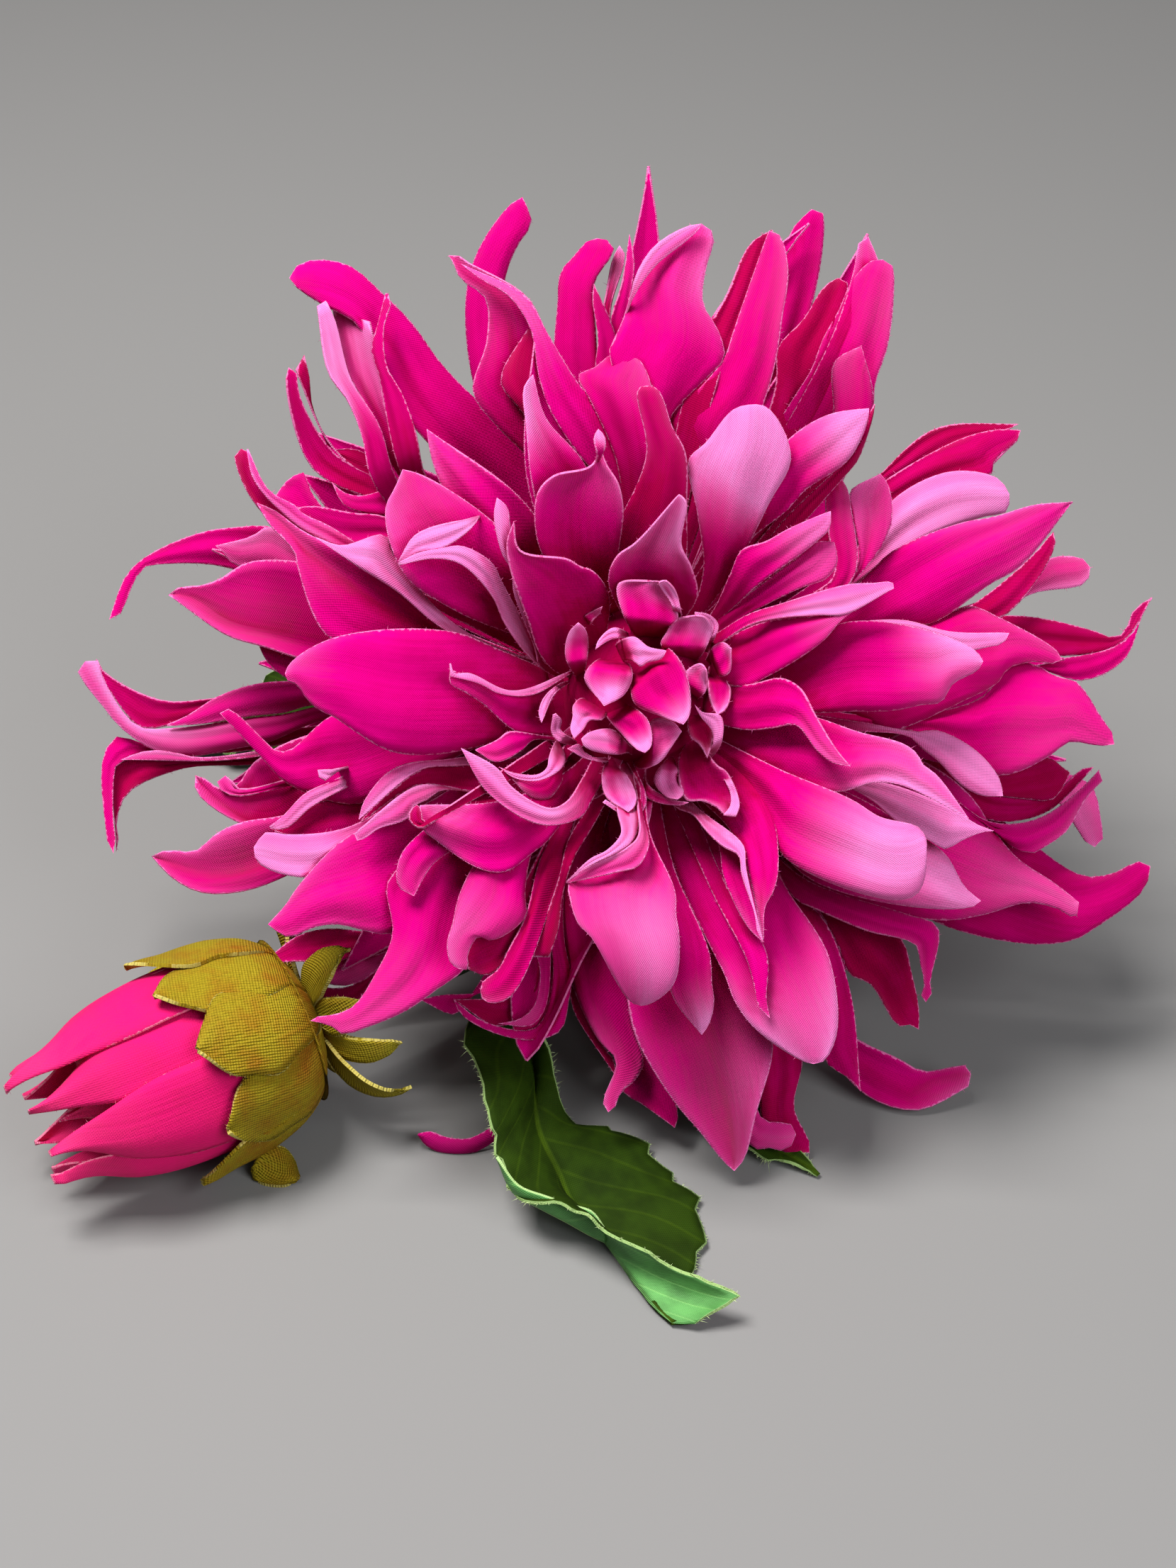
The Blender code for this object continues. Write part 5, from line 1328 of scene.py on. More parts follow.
DRAWN_HEART = (
    Drawn(
        HEART_LAYER,
        ((2.4, 16.1), (-2.8, 15.6), (-0.4, 8.4), (1.2, 7.2)),
        ((2.4, 16.1), (4, 15.6), (4.6, 14), (5.6, 10.6), (4.4, 9.6), (3.2, 6.8)),
        rise=11, lift=2, cup=-0.8, pale=0.5, start=0.2,
    ),
    Drawn(
        HEART_LAYER,
        ((4, 16.2), (3, 15.9), (4.8, 12.6), (5.2, 10)),
        ((4, 16.2), (5.2, 14.8), (6.1, 10.8), (5.8, 9.8)),
        rise=12.5, lift=2, cup=-0.4, pale=0.7, start=-0.5,
    ),
    Drawn(
        HEART_LAYER,
        ((7.8, 11.2), (5, 10.4), (4, 8.8), (3.2, 7.2), (6, 5)),
        ((7.8, 11.2), (9.4, 11), (10.4, 9.6), (8.4, 5), (7.4, 4.6)),
        rise=9.5, lift=2, cup=-1, pale=0.6, start=0.1,
    ),
    Drawn(
        HEART_LAYER,
        ((8, 11.7), (10, 11.3), (11.3, 10), (9.8, 6)),
        ((8, 11.3), (9.6, 10.8), (10.4, 9.6), (9.2, 6.2)),
        rise=9, lift=2, cup=-0.3, pale=1.2, start=-0.5,
    ),
    Drawn(
        HEART_LAYER,
        ((4, 6.2), (1.4, 6.8), (-0.6, 8.2), (-3, 7.2), (-3.5, 6)),
        ((4, 6.2), (3.4, 5.2), (1.2, 4.5), (0.4, 4), (-0.6, 4.7), (-3.4, 4.9)),
        rise=13, lift=1.5, cup=-0.9, pale=0.9, start=0,
    ),
    Drawn(
        HEART_LAYER,
        ((-6, 6.4), (-5.6, 7.6), (-3.4, 9.4), (-0.8, 8.4)),
        ((-6, 6.4), (-3.8, 7.8), (-0.8, 8.1)),
        rise=11, lift=1, cup=-0.5, pale=0.6, start=-0.2,
    ),
    Drawn(
        HEART_LAYER,
        ((-4.8, -1.6), (-2, 0), (-0.8, 3), (-1.4, 4.4), (-2.6, 4.8)),
        ((-4.8, -1.6), (-7.5, 2.6), (-5.6, 4.9), (-4.2, 5)),
        rise=14.5, lift=1, cup=-1.2, pale=0.9, start=0.1,
    ),
    Drawn(
        HEART_LAYER,
        ((6.4, -4.2), (7.2, -3), (6.4, 4), (3.8, 6.8), (1, 6.5)),
        ((6.4, -4.2), (3.2, -3), (-0.6, -1), (-0.6, 3.4), (0, 5)),
        rise=13.5, lift=2, cup=-1.3, pale=0.7, start=0.4, deep=0.15,
    ),
    Drawn(
        HEART_LAYER,
        ((1, -8.2), (1.8, -7.4), (1.4, -3.6), (-1, -1.6), (-3, -1.2)),
        ((1, -8.2), (0, -7.8), (-2.4, -5.4), (-4.6, -2.6), (-4.4, -1.6)),
        rise=13, lift=2, cup=-1.1, pale=0.9, start=0.35, deep=0.15,
    ),
    Drawn(
        HEART_LAYER,
        ((6.2, -5.2), (2.6, -9.8), (0, -10.4), (-0.6, -9.6)),
        ((6.2, -5.2), (5, -3.9), (2.2, -3.4), (1.6, -4.4), (2.2, -6), (1.6, -7.8), (0, -9)),
        rise=11, lift=1, cup=-0.8, pale=0.6, start=0,
    ),
    Drawn(
        HEART_LAYER,
        ((-9, -6.2), (-9.5, -5), (-9.2, -3), (-9.2, -1.6), (-8.2, -0.6), (-6.6, -0.9)),
        ((-9, -6.2), (-7.8, -5), (-6.8, -3.6), (-5, -3.5), (-4.5, -2.6), (-5.4, -1.6)),
        rise=10, lift=1.5, cup=-0.8, pale=0.7, start=0,
    ),
    Drawn(
        HEART_LAYER,
        ((-8, -6.2), (-7, -5.4), (-3.4, -5), (-1.6, -6.8), (0, -8)),
        ((-8, -6.2), (-7.6, -7.2), (-3, -8.4), (-1.4, -8.2), (-0.4, -9)),
        rise=11, lift=1, cup=-0.9, pale=0.6, start=0,
    ),
    Drawn(
        HEART_LAYER,
        ((-8.4, 10.2), (-9.6, 9), (-10.2, 5.4), (-8.4, 1.8)),
        ((-8.4, 10.2), (-7.4, 9.2), (-7.4, 4), (-8, 2.4)),
        rise=8, lift=2, cup=-0.8, pale=0.4,
    ),
    Drawn(
        HEART_LAYER,
        ((-5, 12.5), (-7.8, 10.8), (-8, 10)),
        ((-5, 12.5), (-5.4, 11.4), (-6.4, 10.4), (-7, 9)),
        rise=6, lift=2, cup=-0.4, pale=0.5,
    ),
    Drawn(
        HEART_LAYER,
        ((13.2, 6.6), (12, 7.4), (10.8, 7), (9.6, 5)),
        ((13.2, 6.6), (12.8, 3), (11.8, 2.6), (10.6, 4)),
        rise=8, lift=1, cup=-0.7, pale=0.3, deep=0.1,
    ),
    Drawn(
        HEART_LAYER,
        ((9.7, 3.6), (8.8, 4.4), (6.6, 3), (7.2, -0.4)),
        ((9.7, 3.6), (9.6, 0.6), (8, -1)),
        rise=9.5, lift=1.5, cup=-0.9, pale=0.8, start=0.1,
    ),
    Drawn(
        HEART_LAYER,
        ((11.2, -2.9), (10.4, -1.4), (9.8, 2.6), (10, 4)),
        ((11.2, -2.9), (12.4, -2), (13, 1), (11, 3.4)),
        rise=6.5, lift=1.5, cup=0.5, pale=0.3,
    ),
    Drawn(
        HEART_LAYER,
        ((15.8, -0.6), (12, -3.4), (9, -3)),
        ((15.8, -0.6), (16, -1.6), (12, -3.9), (9, -4)),
        rise=3, lift=2, cup=-0.3, pale=0.3,
    ),
    Drawn(
        HEART_LAYER,
        ((8, -1.4), (9, -2.4), (11.6, -3), (11.6, -7), (9.8, -9)),
        ((8, -1.4), (8.8, -3), (10.6, -5.4), (10.6, -7), (9.8, -8), (9.7, -9)),
        rise=8, lift=1, cup=-0.5, pale=1.6, start=-0.5,
    ),
    Drawn(
        HEART_LAYER,
        ((9.8, -9), (8.6, -7), (7.4, -6), (7, -4), (7.6, -2)),
        ((9.8, -9), (10.6, -5.4), (8.4, -2)),
        rise=6, lift=1, cup=0.5, deep=0.7,
    ),
    Drawn(
        HEART_LAYER,
        ((13.8, -17.2), (12.4, -17), (11, -15.8), (9, -14.9), (6.9, -14.8), (5.8, -8.8), (7, -6.6)),
        ((13.8, -17.2), (14.3, -15.6), (12.4, -10.8), (11.2, -10), (8.6, -5.8)),
        rise=6, lift=3, cup=1.6, deep=0.1, pale=0.5, start=0.5,
    ),
    Drawn(
        HEART_LAYER,
        ((13.8, -17.2), (14.3, -15.6), (12.2, -10.8), (11.4, -10.4)),
        ((12, -17), (13, -15.8), (13.1, -14), (11.2, -10.8)),
        rise=8, lift=2, cup=-0.3, pale=1.5, start=-0.5,
    ),
    Drawn(
        HEART_LAYER,
        ((5.6, -14.8), (4, -14.4), (2.3, -12), (4, -9.2), (4.8, -8.8)),
        ((5.6, -14.8), (6.4, -14), (5.8, -12), (5.2, -9.2), (4.9, -8.8)),
        rise=6, lift=2, cup=-0.9, pale=0.9, start=-0.1,
    ),
    Drawn(
        HEART_LAYER,
        ((7.2, -15.2), (5, -14.8), (1.4, -12.6), (1, -10)),
        ((7.2, -15.2), (6, -15.6), (1, -14.2), (0.4, -11)),
        rise=5, lift=2, cup=-0.4, deep=0.2,
    ),
    Drawn(
        HEART_LAYER,
        ((-1.4, -16.6), (-4.6, -14.2), (-5, -10.6), (-3.8, -8.6)),
        ((-1.4, -16.6), (-0.5, -15.8), (-0.2, -14.6), (-1.6, -11.4), (-2.6, -10.6), (-3.2, -9.6)),
        rise=7, lift=2, cup=-0.7, pale=0.7, start=-0.1,
    ),
    Drawn(
        HEART_LAYER,
        ((-5, -15.2), (-1.4, -17.2), (0.2, -16.8), (1.1, -15.4), (-0.8, -9.2)),
        ((-4.6, -14.8), (-1.4, -16.6), (-0.2, -16.2), (0.3, -13.4), (-1.6, -9.6)),
        rise=6.5, lift=2, cup=-0.4, pale=0.5,
    ),
    Drawn(
        HEART_LAYER,
        ((0.6, -19.9), (-1.8, -17.6), (0, -17), (1, -15), (0.6, -12)),
        ((0.6, -19.9), (1.4, -18.4), (2, -14.4), (1.4, -12)),
        rise=4, lift=2, cup=-0.4, pale=0.5,
    ),
    Drawn(
        HEART_LAYER,
        ((-10.6, -14.5), (-10.3, -12.4), (-9.6, -13.4), (-5.4, -14.1)),
        ((-10.6, -14.5), (-9.4, -15.2), (-5.4, -14.3)),
        rise=3, lift=1, cup=-0.3, pale=1.2, start=-0.5,
    ),
    Drawn(
        HEART_LAYER,
        ((-10, -7.6), (-8.4, -7), (-7.6, -8), (-6.4, -8.8), (-4, -9)),
        ((-10, -7.6), (-7.4, -9), (-3.6, -9.6)),
        rise=8, lift=1, cup=-0.4, pale=0.6, start=-0.2,
    ),
    Drawn(
        HEART_LAYER,
        ((-11.6, -2.6), (-10.8, -3.6), (-11, -4.8), (-8.6, -6.6)),
        ((-12, -2.8), (-12.2, -5.2), (-11.4, -6.4), (-9, -7.2)),
        rise=6, lift=1, cup=-0.4, pale=0.6, start=-0.2,
    ),
    Drawn(
        HEART_LAYER,
        ((-13.6, -4), (-11.6, 0.2), (-9.8, 1.6)),
        ((-13.6, -4), (-14, -2.6), (-13.4, -0.6), (-11, 1.6), (-9.8, 2)),
        rise=5, lift=1, cup=-0.3, pale=0.6, start=-0.2,
    ),
    Drawn(
        INNER,
        ((-26.5, 4.4), (-26, 3), (-24, 3), (-18, 0.5), (-9.4, 3.4)),
        ((-26.5, 2.6), (-22, 1.4), (-20, 0.3), (-15.2, -0.1), (-9.4, 3)),
        rise=-6, cup=-0.5, pale=0.9, start=-0.4,
    ),
    Drawn(
        INNER,
        ((-26.5, 3.6), (-18, 0.1), (-15.2, 0.4), (-9.4, 3), (-6, 2)),
        ((-26.5, 3.6), (-26.5, 1.6), (-24.5, 0.4), (-22, -1.2), (-17.2, -5.2), (-12, -6), (-8.8, -6.6),
         (-6, -3)),
        rise=-8, cup=0.7, deep=0.1,
    ),
    Drawn(
        SECOND,
        ((-23, -7.8), (-19.6, -6.2), (-18.4, -5.3), (-13, -5.8), (-9, -6)),
        ((-23, -7.8), (-20, -9.5), (-16.4, -7.8), (-15, -6.5), (-9, -7)),
        rise=-5, cup=-0.8, pale=0.2,
    ),
    Drawn(
        HEART_LAYER,
        ((-19.6, -10.2), (-17.6, -11.7), (-14, -12.1), (-10.6, -10.1), (-10.3, -8.8), (-11.1, -6.6)),
        ((-19.6, -10.2), (-17.6, -11), (-14, -11.2), (-12.8, -10.2), (-12.6, -9), (-11.8, -6.8)),
        rise=8, lift=1, cup=-0.5, pale=0.7, start=-0.4,
    ),
    Drawn(
        HEART_LAYER,
        ((-18.6, -11), (-15, -14.4), (-12.6, -14.6), (-11, -12.6), (-10, -9)),
        ((-18.6, -10.8), (-16, -11.6), (-13, -11.4), (-11, -8)),
        rise=6, lift=1, cup=-0.5, deep=0.2,
    ),
)


def unit(vectors):
    """Vectors at length one."""
    length = np.linalg.norm(vectors, axis=-1, keepdims=True)
    return vectors / np.maximum(length, 1e-9)


def ease(values):
    """Eases from 0 to 1, flat outside."""
    t = np.clip(values, 0.0, 1.0)
    return t * t * (3.0 - 2.0 * t)


def hump(t):
    """Rises from 0 to 1 in the middle and falls back to 0."""
    return t * (1.0 - t) * 4.0


def travelled(points):
    """How far along a line of points each lies from the first."""
    steps = np.linalg.norm(np.diff(points, axis=0), axis=1)
    return np.concatenate([[0.0], np.cumsum(steps)])


def turn_about(vector, axis, angle):
    """A vector turned about an axis of length one."""
    spun = vector * math.cos(angle) + np.cross(axis, vector) * math.sin(angle)
    return spun + axis * np.dot(axis, vector) * (1.0 - math.cos(angle))


def polar(degrees):
    """A unit direction round the bloom's axis; 0 is its right, 90 its top."""
    angle = math.radians(degrees)
    return np.array([math.cos(angle), math.sin(angle), 0.0])


def along(degrees, rise):
    """A direction that leans from the radial one towards the axis by an angle."""
    lean = math.radians(rise)
    return polar(degrees) * math.cos(lean) + ALONG_AXIS * math.sin(lean)


def midrib(row, layer):
    """A petal's middle line, as the four points of a cubic curve."""
    start = polar(row.root) * ROOT_RADIUS + ALONG_AXIS * layer.root_height
    end = polar(row.tip) * row.reach + ALONG_AXIS * layer.tip_height
    pull = np.linalg.norm(end - start) * PULL
    leave = start + along(row.root, layer.launch) * pull
    arrive = end - along(row.tip + row.turn, layer.pitch) * pull
    return start, leave, arrive, end


def on_cubic(points, t):
    """Places on a cubic curve of four points."""
    a, b, c, d = points
    s = 1.0 - t
    return a * s**3 + 3 * b * s * s * t + 3 * c * s * t * t + d * t**3


def cubic_heading(points, t):
    """Directions along a cubic curve of four points."""
    a, b, c, d = points
    s = 1.0 - t
    return unit((b - a) * s * s + (c - b) * 2 * s * t + (d - c) * t * t)


def smooth_curve(points, steps):
    """Places on a smooth curve through the given points."""
    spots = np.array(points, float)
    ends = np.concatenate([[2 * spots[0] - spots[1]], spots, [2 * spots[-1] - spots[-2]]])
    found = []
    for a, b, c, d in zip(ends, ends[1:], ends[2:], ends[3:]):
        for t in np.arange(steps) / steps:
            bend = (2 * a - 5 * b + 4 * c - d) * t**2 + (3 * b - a - 3 * c + d) * t**3
            found.append((2 * b + (c - a) * t + bend) / 2)
    found.append(spots[-1])
    return np.array(found)


def edge_line(points, amount):
    """Evenly spread places on a smooth line through a few points as they are seen."""
    spots = np.array(points, float)
    steps = np.linalg.norm(np.diff(spots, axis=0), axis=1) ** EDGE_EVENNESS
    at = np.concatenate([[0.0], np.cumsum(steps)])
    slope = np.gradient(spots, at, axis=0)
    fine = np.linspace(0.0, at[-1], EDGE_STEPS)
    k = np.clip(np.searchsorted(at, fine, side="right") - 1, 0, len(at) - 2)
    width = (at[k + 1] - at[k])[:, None]
    x = ((fine - at[k]) / width[:, 0])[:, None]
    line = (2 * x**3 - 3 * x**2 + 1) * spots[k] + (x**3 - 2 * x**2 + x) * width * slope[k]
    line = line + (3 * x**2 - 2 * x**3) * spots[k + 1] + (x**3 - x**2) * width * slope[k + 1]
    walked = travelled(line)
    even = np.linspace(0.0, walked[-1], amount)
    return np.stack([np.interp(even, walked, line[:, axis]) for axis in range(2)], axis=1)


def to_world(points):
    """From the bloom's own axes to the table's."""
    return HEART + points @ BLOOM_AXES


def seen(places, heights):
    """Where points stand that the camera sees at the given places against the heart's plane."""
    nearer = (CAMERA_DISTANCE - heights) / CAMERA_DISTANCE
    right = (places[..., 0] + CAMERA_LEFT) * nearer - CAMERA_LEFT
    up = (places[..., 1] + CAMERA_DOWN) * nearer - CAMERA_DOWN
    return np.stack([right, up, heights], axis=-1)


def above_table(grid, gap):
    """Lifts what lies lower than a gap over the table."""
    grid[..., 2] = np.maximum(grid[..., 2], gap)
    return grid


def faces_away(grid):
    """Whether a sheet's upper side looks away from the viewer."""
    normal = np.cross(np.gradient(grid, axis=0), np.gradient(grid, axis=1))
    return np.sum(normal @ OUTWARD) < 0.0


class Cloth:
    """Gathers thin pieces of fabric into one mesh."""

    def __init__(self):
        self.points, self.faces, self.slots, self.smooth = [], [], [], []
        self.places, self.tints, self.normals = [], [], []
        self.count = 0

    def add(self, points, faces, slots, places, tints, normals=None, smooth=None):
        """Adds points with what each carries, and the faces between them."""
        self.points.append(above_table(points.copy(), 0.0))
        self.normals.append(np.zeros_like(points) if normals is None else normals)
        self.smooth.append(np.ones(len(faces), bool) if smooth is None else smooth)
        self.faces.append(faces + self.count)
        self.slots.append(slots)
        self.places.append(places)
        self.tints.append(tints)
        self.count += len(points)

    def sheet(self, grid, places, tints, thickness=FABRIC, slots=(0, 0)):
        """A closed thin sheet over a grid of middle points, flat round its rim."""
        rows, columns = grid.shape[:2]
        normal = unit(np.cross(np.gradient(grid, axis=0), np.gradient(grid, axis=1)))
        over = (grid + normal * thickness / 2).reshape(-1, 3)
        under = (grid - normal * thickness / 2).reshape(-1, 3)
        index = np.arange(rows * columns).reshape(rows, columns)
        a, b = index[:-1, :-1].ravel(), index[:-1, 1:].ravel()
        c, d = index[1:, 1:].ravel(), index[1:, :-1].ravel()
        top = np.stack([a, d, c, b], axis=1)
        bottom = np.stack([a, b, c, d], axis=1) + rows * columns
        rim = np.concatenate([index[0, :], index[1:, -1], index[-1, -2::-1], index[-2:0:-1, 0]])
        after = np.roll(rim, -1)
        band = np.stack([rim, after, after + rows * columns, rim + rows * columns], axis=1)
        faces = np.concatenate([top, bottom, band])
        amounts = (len(top), len(bottom), len(band))
        outer = normal.reshape(-1, 3)
        self.add(
            np.concatenate([over, under]),
            faces,
            np.repeat((slots[0], slots[1], slots[0]), amounts),
            np.tile(places.reshape(-1, 2), (2, 1)),
            np.tile(tints.reshape(-1, 3), (2, 1)),
            np.concatenate([outer, -outer]),
            np.repeat((True, True, False), amounts),
        )
        return normal

    def fray(self, grid, normal, places, step=FRAY_STEP, length=FRAY_LENGTH, slot=0, skip=0.12):
        """Short loose threads that stand out of the two long edges, past a share of them."""
        for side, inner in ((0, 1), (-1, -2)):
            edge = grid[:, side]
            total = travelled(edge)
            amount = int(total[-1] / step)
            if amount < 2:
                continue
            at = np.sort(draw.uniform(total[-1] * skip, total[-1], amount))

            def read(values):
                return np.stack([np.interp(at, total, column) for column in values.T], axis=1)

            out = unit(read(edge - grid[:, inner]))
            run = unit(read(np.gradient(edge, axis=0)))
            up = read(normal[:, side])
            base = read(edge) - out * FRAY_INSET
            lean = draw.normal(0.0, FRAY_LEAN, (amount, 1))
            lift = draw.normal(0.0, FRAY_LIFT, (amount, 1))
            reach = length * draw.gamma(FRAY_ALIKE, 1.0 / FRAY_ALIKE, (amount, 1))
            tip = base + unit(out + run * lean + up * lift) * reach
            beside = run * FRAY_HALF
            corners = [base + beside, base - beside, base + up * FRAY_HALF * FRAY_HEIGHT, tip]
            points = np.stack(corners, axis=1).reshape(-1, 3)
            first = np.arange(amount)[:, None] * 4
            sides = ((0, 1, 2), (0, 3, 1), (1, 3, 2), (2, 3, 0))
            faces = np.concatenate([first + np.array(corner) for corner in sides])
            spots = np.repeat(read(places[:, side]), 4, axis=0)
            self.add(points, faces, np.full(len(faces), slot), spots, np.zeros((amount * 4, 3)))

    def build(self, name, materials, slot, *nodes):
        """Makes the mesh object, in place of the given nodes."""
        data = bpy.data.meshes.new(name)
        faces = [face.tolist() for block in self.faces for face in block]
        data.from_pydata((np.concatenate(self.points) * MM).tolist(), [], faces)
        data.polygons.foreach_set("material_index", np.concatenate(self.slots).astype(np.int32))
        data.polygons.foreach_set("use_smooth", np.concatenate(self.smooth))
        corner = np.zeros(len(data.loops), np.int32)
        data.loops.foreach_get("vertex_index", corner)
        layer = data.uv_layers.new(name="millimetres")
        spots = np.concatenate(self.places)[corner]
        layer.data.foreach_set("uv", spots.ravel().astype(np.float32))
        tint = data.attributes.new("tint", "FLOAT_COLOR", "POINT")
        shade = np.concatenate(self.tints)
        shade = np.concatenate([shade, np.ones((len(shade), 1))], axis=1)
        tint.data.foreach_set("color", shade.ravel().astype(np.float32))
        data.update()
        made = bpy.data.objects.new(name, data)
        bpy.context.scene.collection.objects.link(made)
        for material in materials:
            data.materials.append(material)
        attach(made, "root")
        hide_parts(*nodes)


def even_rays():
    """Directions spread evenly all round."""
    turn = math.pi * (3.0 - math.sqrt(5.0)) * np.arange(SHADE_RAYS)
    up = 1.0 - (2.0 * np.arange(SHADE_RAYS) + 1.0) / SHADE_RAYS
    flat = np.sqrt(1.0 - up * up)
    return np.stack([flat * np.cos(turn), flat * np.sin(turn), up], axis=1)


def shade_by_neighbours(cloths):
    """Paints shade into the colour: deepens it and takes the pale away where neighbouring petals take the
    open air over a point away.
    """
    points = np.concatenate([block for cloth in cloths for block in cloth.points])
    faces = []
    before = 0
    for cloth in cloths:
        faces += [(face + before).tolist() for block in cloth.faces for face in block]
        before += cloth.count
    tree = BVHTree.FromPolygons(points.tolist(), faces)
    rays = even_rays()
    sent = [Vector(ray) for ray in rays]
    for cloth in cloths:
        normals = np.concatenate(cloth.normals)
        starts = np.concatenate(cloth.points) + normals * SHADE_START
        facing = normals @ rays.T
        taken = np.zeros(len(starts))
        for index in np.flatnonzero(facing.max(axis=1) > SHADE_FACING):
            start = Vector(starts[index])
            share = 0.0
            for ray in np.flatnonzero(facing[index] > SHADE_GRAZE):
                gap = tree.ray_cast(start, sent[ray], SHADE_REACH)[3]
                if gap is not None:
                    share += facing[index, ray] * (1.0 - gap / SHADE_REACH)
            taken[index] = share / facing[index][facing[index] > SHADE_GRAZE].sum()
        tints = np.concatenate(cloth.tints)
        tints[:, 0] *= 1.0 - SHADE_PALE * taken
        tints[:, 1] = np.clip(tints[:, 1] + SHADE_DEEP * taken, 0.0, 1.0)
        cloth.tints = [tints]


def middle_line(points, row, curl, steps):
    """Places, directions and across vectors down a petal, with its tip curled."""
    t = np.linspace(0.0, 1.0, steps) ** 0.9
    places = on_cubic(points, t[:, None])
    heading = cubic_heading(points, t[:, None])
    across = np.zeros_like(heading)
    side = polar(row.root + 90.0)
    bend = -math.radians(curl) * ease((t - CURL_FROM) / (1.0 - CURL_FROM))
    for i in range(steps):
        side = unit(side - heading[i] * np.dot(side, heading[i]))
        across[i] = side
        heading[i] = turn_about(heading[i], side, bend[i])
    lengths = np.linalg.norm(np.diff(places, axis=0), axis=1)
    steps_along = unit(heading[1:] + heading[:-1]) * lengths[:, None]
    line = np.concatenate([[places[0]], places[0] + np.cumsum(steps_along, axis=0)])
    phase = draw.uniform(0.0, 2 * math.pi, 2)
    swing, bob = (SWAY * np.sin(t * SWAY_TURN + at) * hump(t) for at in phase)
    line = line + across * swing[:, None] + np.cross(heading, across) * bob[:, None]
    miss = places[-1] - line[-1]
    miss[2] *= MISS_RISE
    line = line + miss * (t[:, None] ** 2)
    heading = unit(np.gradient(line, axis=0))
    across = unit(across - heading * np.sum(across * heading, axis=1, keepdims=True))
    return t, line, heading, across


def half_widths(row, t):
    """Half the petal's width down its length: narrow at the root, closing at the tip."""
    swell = ROOT_SHARE + (1.0 - ROOT_SHARE) * np.sin(math.pi / 2 * np.minimum(t / WIDEST_AT, 1.0))
    late = np.clip((t - WIDEST_AT) / (1.0 - WIDEST_AT), 0.0, 1.0)
    roundness = 1.0 - 0.5 * np.clip((row.blunt - 2.2) / 1.2, 0.0, 1.0)
    close = np.maximum(1.0 - late**row.blunt, 0.0) ** roundness
    return np.maximum(row.width / 2 * swell * close, TIP_HALF)


def petal_section(row, layer, t, s, half, phase):
    """How far aside of and over its middle line each point of a petal lies."""
    full = half / FULL_HALF
    belly = np.sin(math.pi * t)
    uneven = 1.0 + UNEVEN * np.sin(t * 6.0 + phase[0] + (s > 0) * 2.0) * ease(t / 0.4)
    width = half * uneven
    angle = s * np.radians(row.cup * (0.8 + 0.3 * t))
    shift = width * s * np.sinc(angle / math.pi)
    lift = width * s * np.sin(angle / 2) * np.sinc(angle / 2 / math.pi)
    lift = lift - RIB_DEPTH * width * np.exp(-((s / RIB_HALF) ** 2)) * ease(t / 0.3)
    wave = np.sin(t * (7.0 + phase[1]) + phase[2] + s * 0.9)
    lift = lift + layer.ruffle * wave * s**2 * full * belly
    lift = lift + PLEAT_DEPTH * np.cos(s * PLEATS + phase[1] + t * 1.5) * belly * full
    lift = lift + WARP * np.sin(t * 3.4 + phase[3]) * s * full
    return shift, lift


def petal(cloth, row, layer, rows=ROWS, columns=COLUMNS, thickness=FABRIC, frayed=True):
    """One petal of fabric by its row, hollowed, ruffled and frayed."""
    t, line, heading, across = middle_line(midrib(row, layer), row, layer.curl, rows)
    normal = np.cross(heading, across)
    roll = (np.radians(row.roll) * ease(t))[:, None]
    side = across * np.cos(roll) + normal * np.sin(roll)
    face = normal * np.cos(roll) - across * np.sin(roll)
    half = half_widths(row, t)[:, None]
    even = np.linspace(-1.0, 1.0, columns + 1)
    s = (np.sin(even * math.pi / 2) * EDGE_CROWDING + even * (1.0 - EDGE_CROWDING))[None, :]
    phase = draw.uniform(0.0, 2 * math.pi, 4)
    t = t[:, None]
    shift, lift = petal_section(row, layer, t, s, half, phase)
    grid = line[:, None] + side[:, None] * shift[..., None] + face[:, None] * lift[..., None]
    grid = above_table(to_world(grid), thickness / 2)
    distance = travelled(line)[:, None]
    places = np.stack([s * half, distance + 0.0 * s], axis=2) + phase[:2] * WEAVE_SHIFT
    rim = np.minimum(half * (1.0 - np.abs(s)), (distance[-1] - distance) * TIP_RIM)
    # Pale towards the tip, partly the dye's fade and partly painted highlight; deeper towards the root,
    # partly the dye and partly painted shade under the petals in front
    fade = ease((t - 0.3) / 0.65) * (0.8 + 0.2 * np.cos(s * 2.2 + phase[0]))
    pale = np.clip(0.6 * layer.pale * fade, 0.0, 1.0)
    depth = np.clip(layer.deep + 0.75 * (1.0 - ease(t / 0.55)) + 0.0 * s, 0.0, 1.0)
    tints = np.stack([pale, depth, np.clip(rim, 0.0, 1.0)], axis=2)
    normal = cloth.sheet(grid, places, tints, thickness)
    if frayed:
        cloth.fray(grid, normal, places)


def back_petals(start, end, amount, middle_reach):
    """A ring of hidden petals: evenly round the back, a little uneven in reach."""
    rows = []
    for index in range(amount):
        at = start + (end - start) * index / (amount - 1)
        reach = middle_reach + BACK_REACH_WAVE * math.sin(index * BACK_WAVE_STEP)
        rows.append(BACK_LOOK._replace(root=at - BACK_SWING, tip=at, reach=reach))
    return rows


def layer_height(layer, reach, radii):
    """How high a layer's petal of a given reach stands at distances from the bloom's axis."""
    row = Petal(0, 0, reach, 1, 0, 0, 0, 1)
    curve = on_cubic(midrib(row, layer), np.linspace(0.0, 1.0, HEIGHT_STEPS)[:, None])
    return np.interp(radii, curve[:, 0], curve[:, 2])


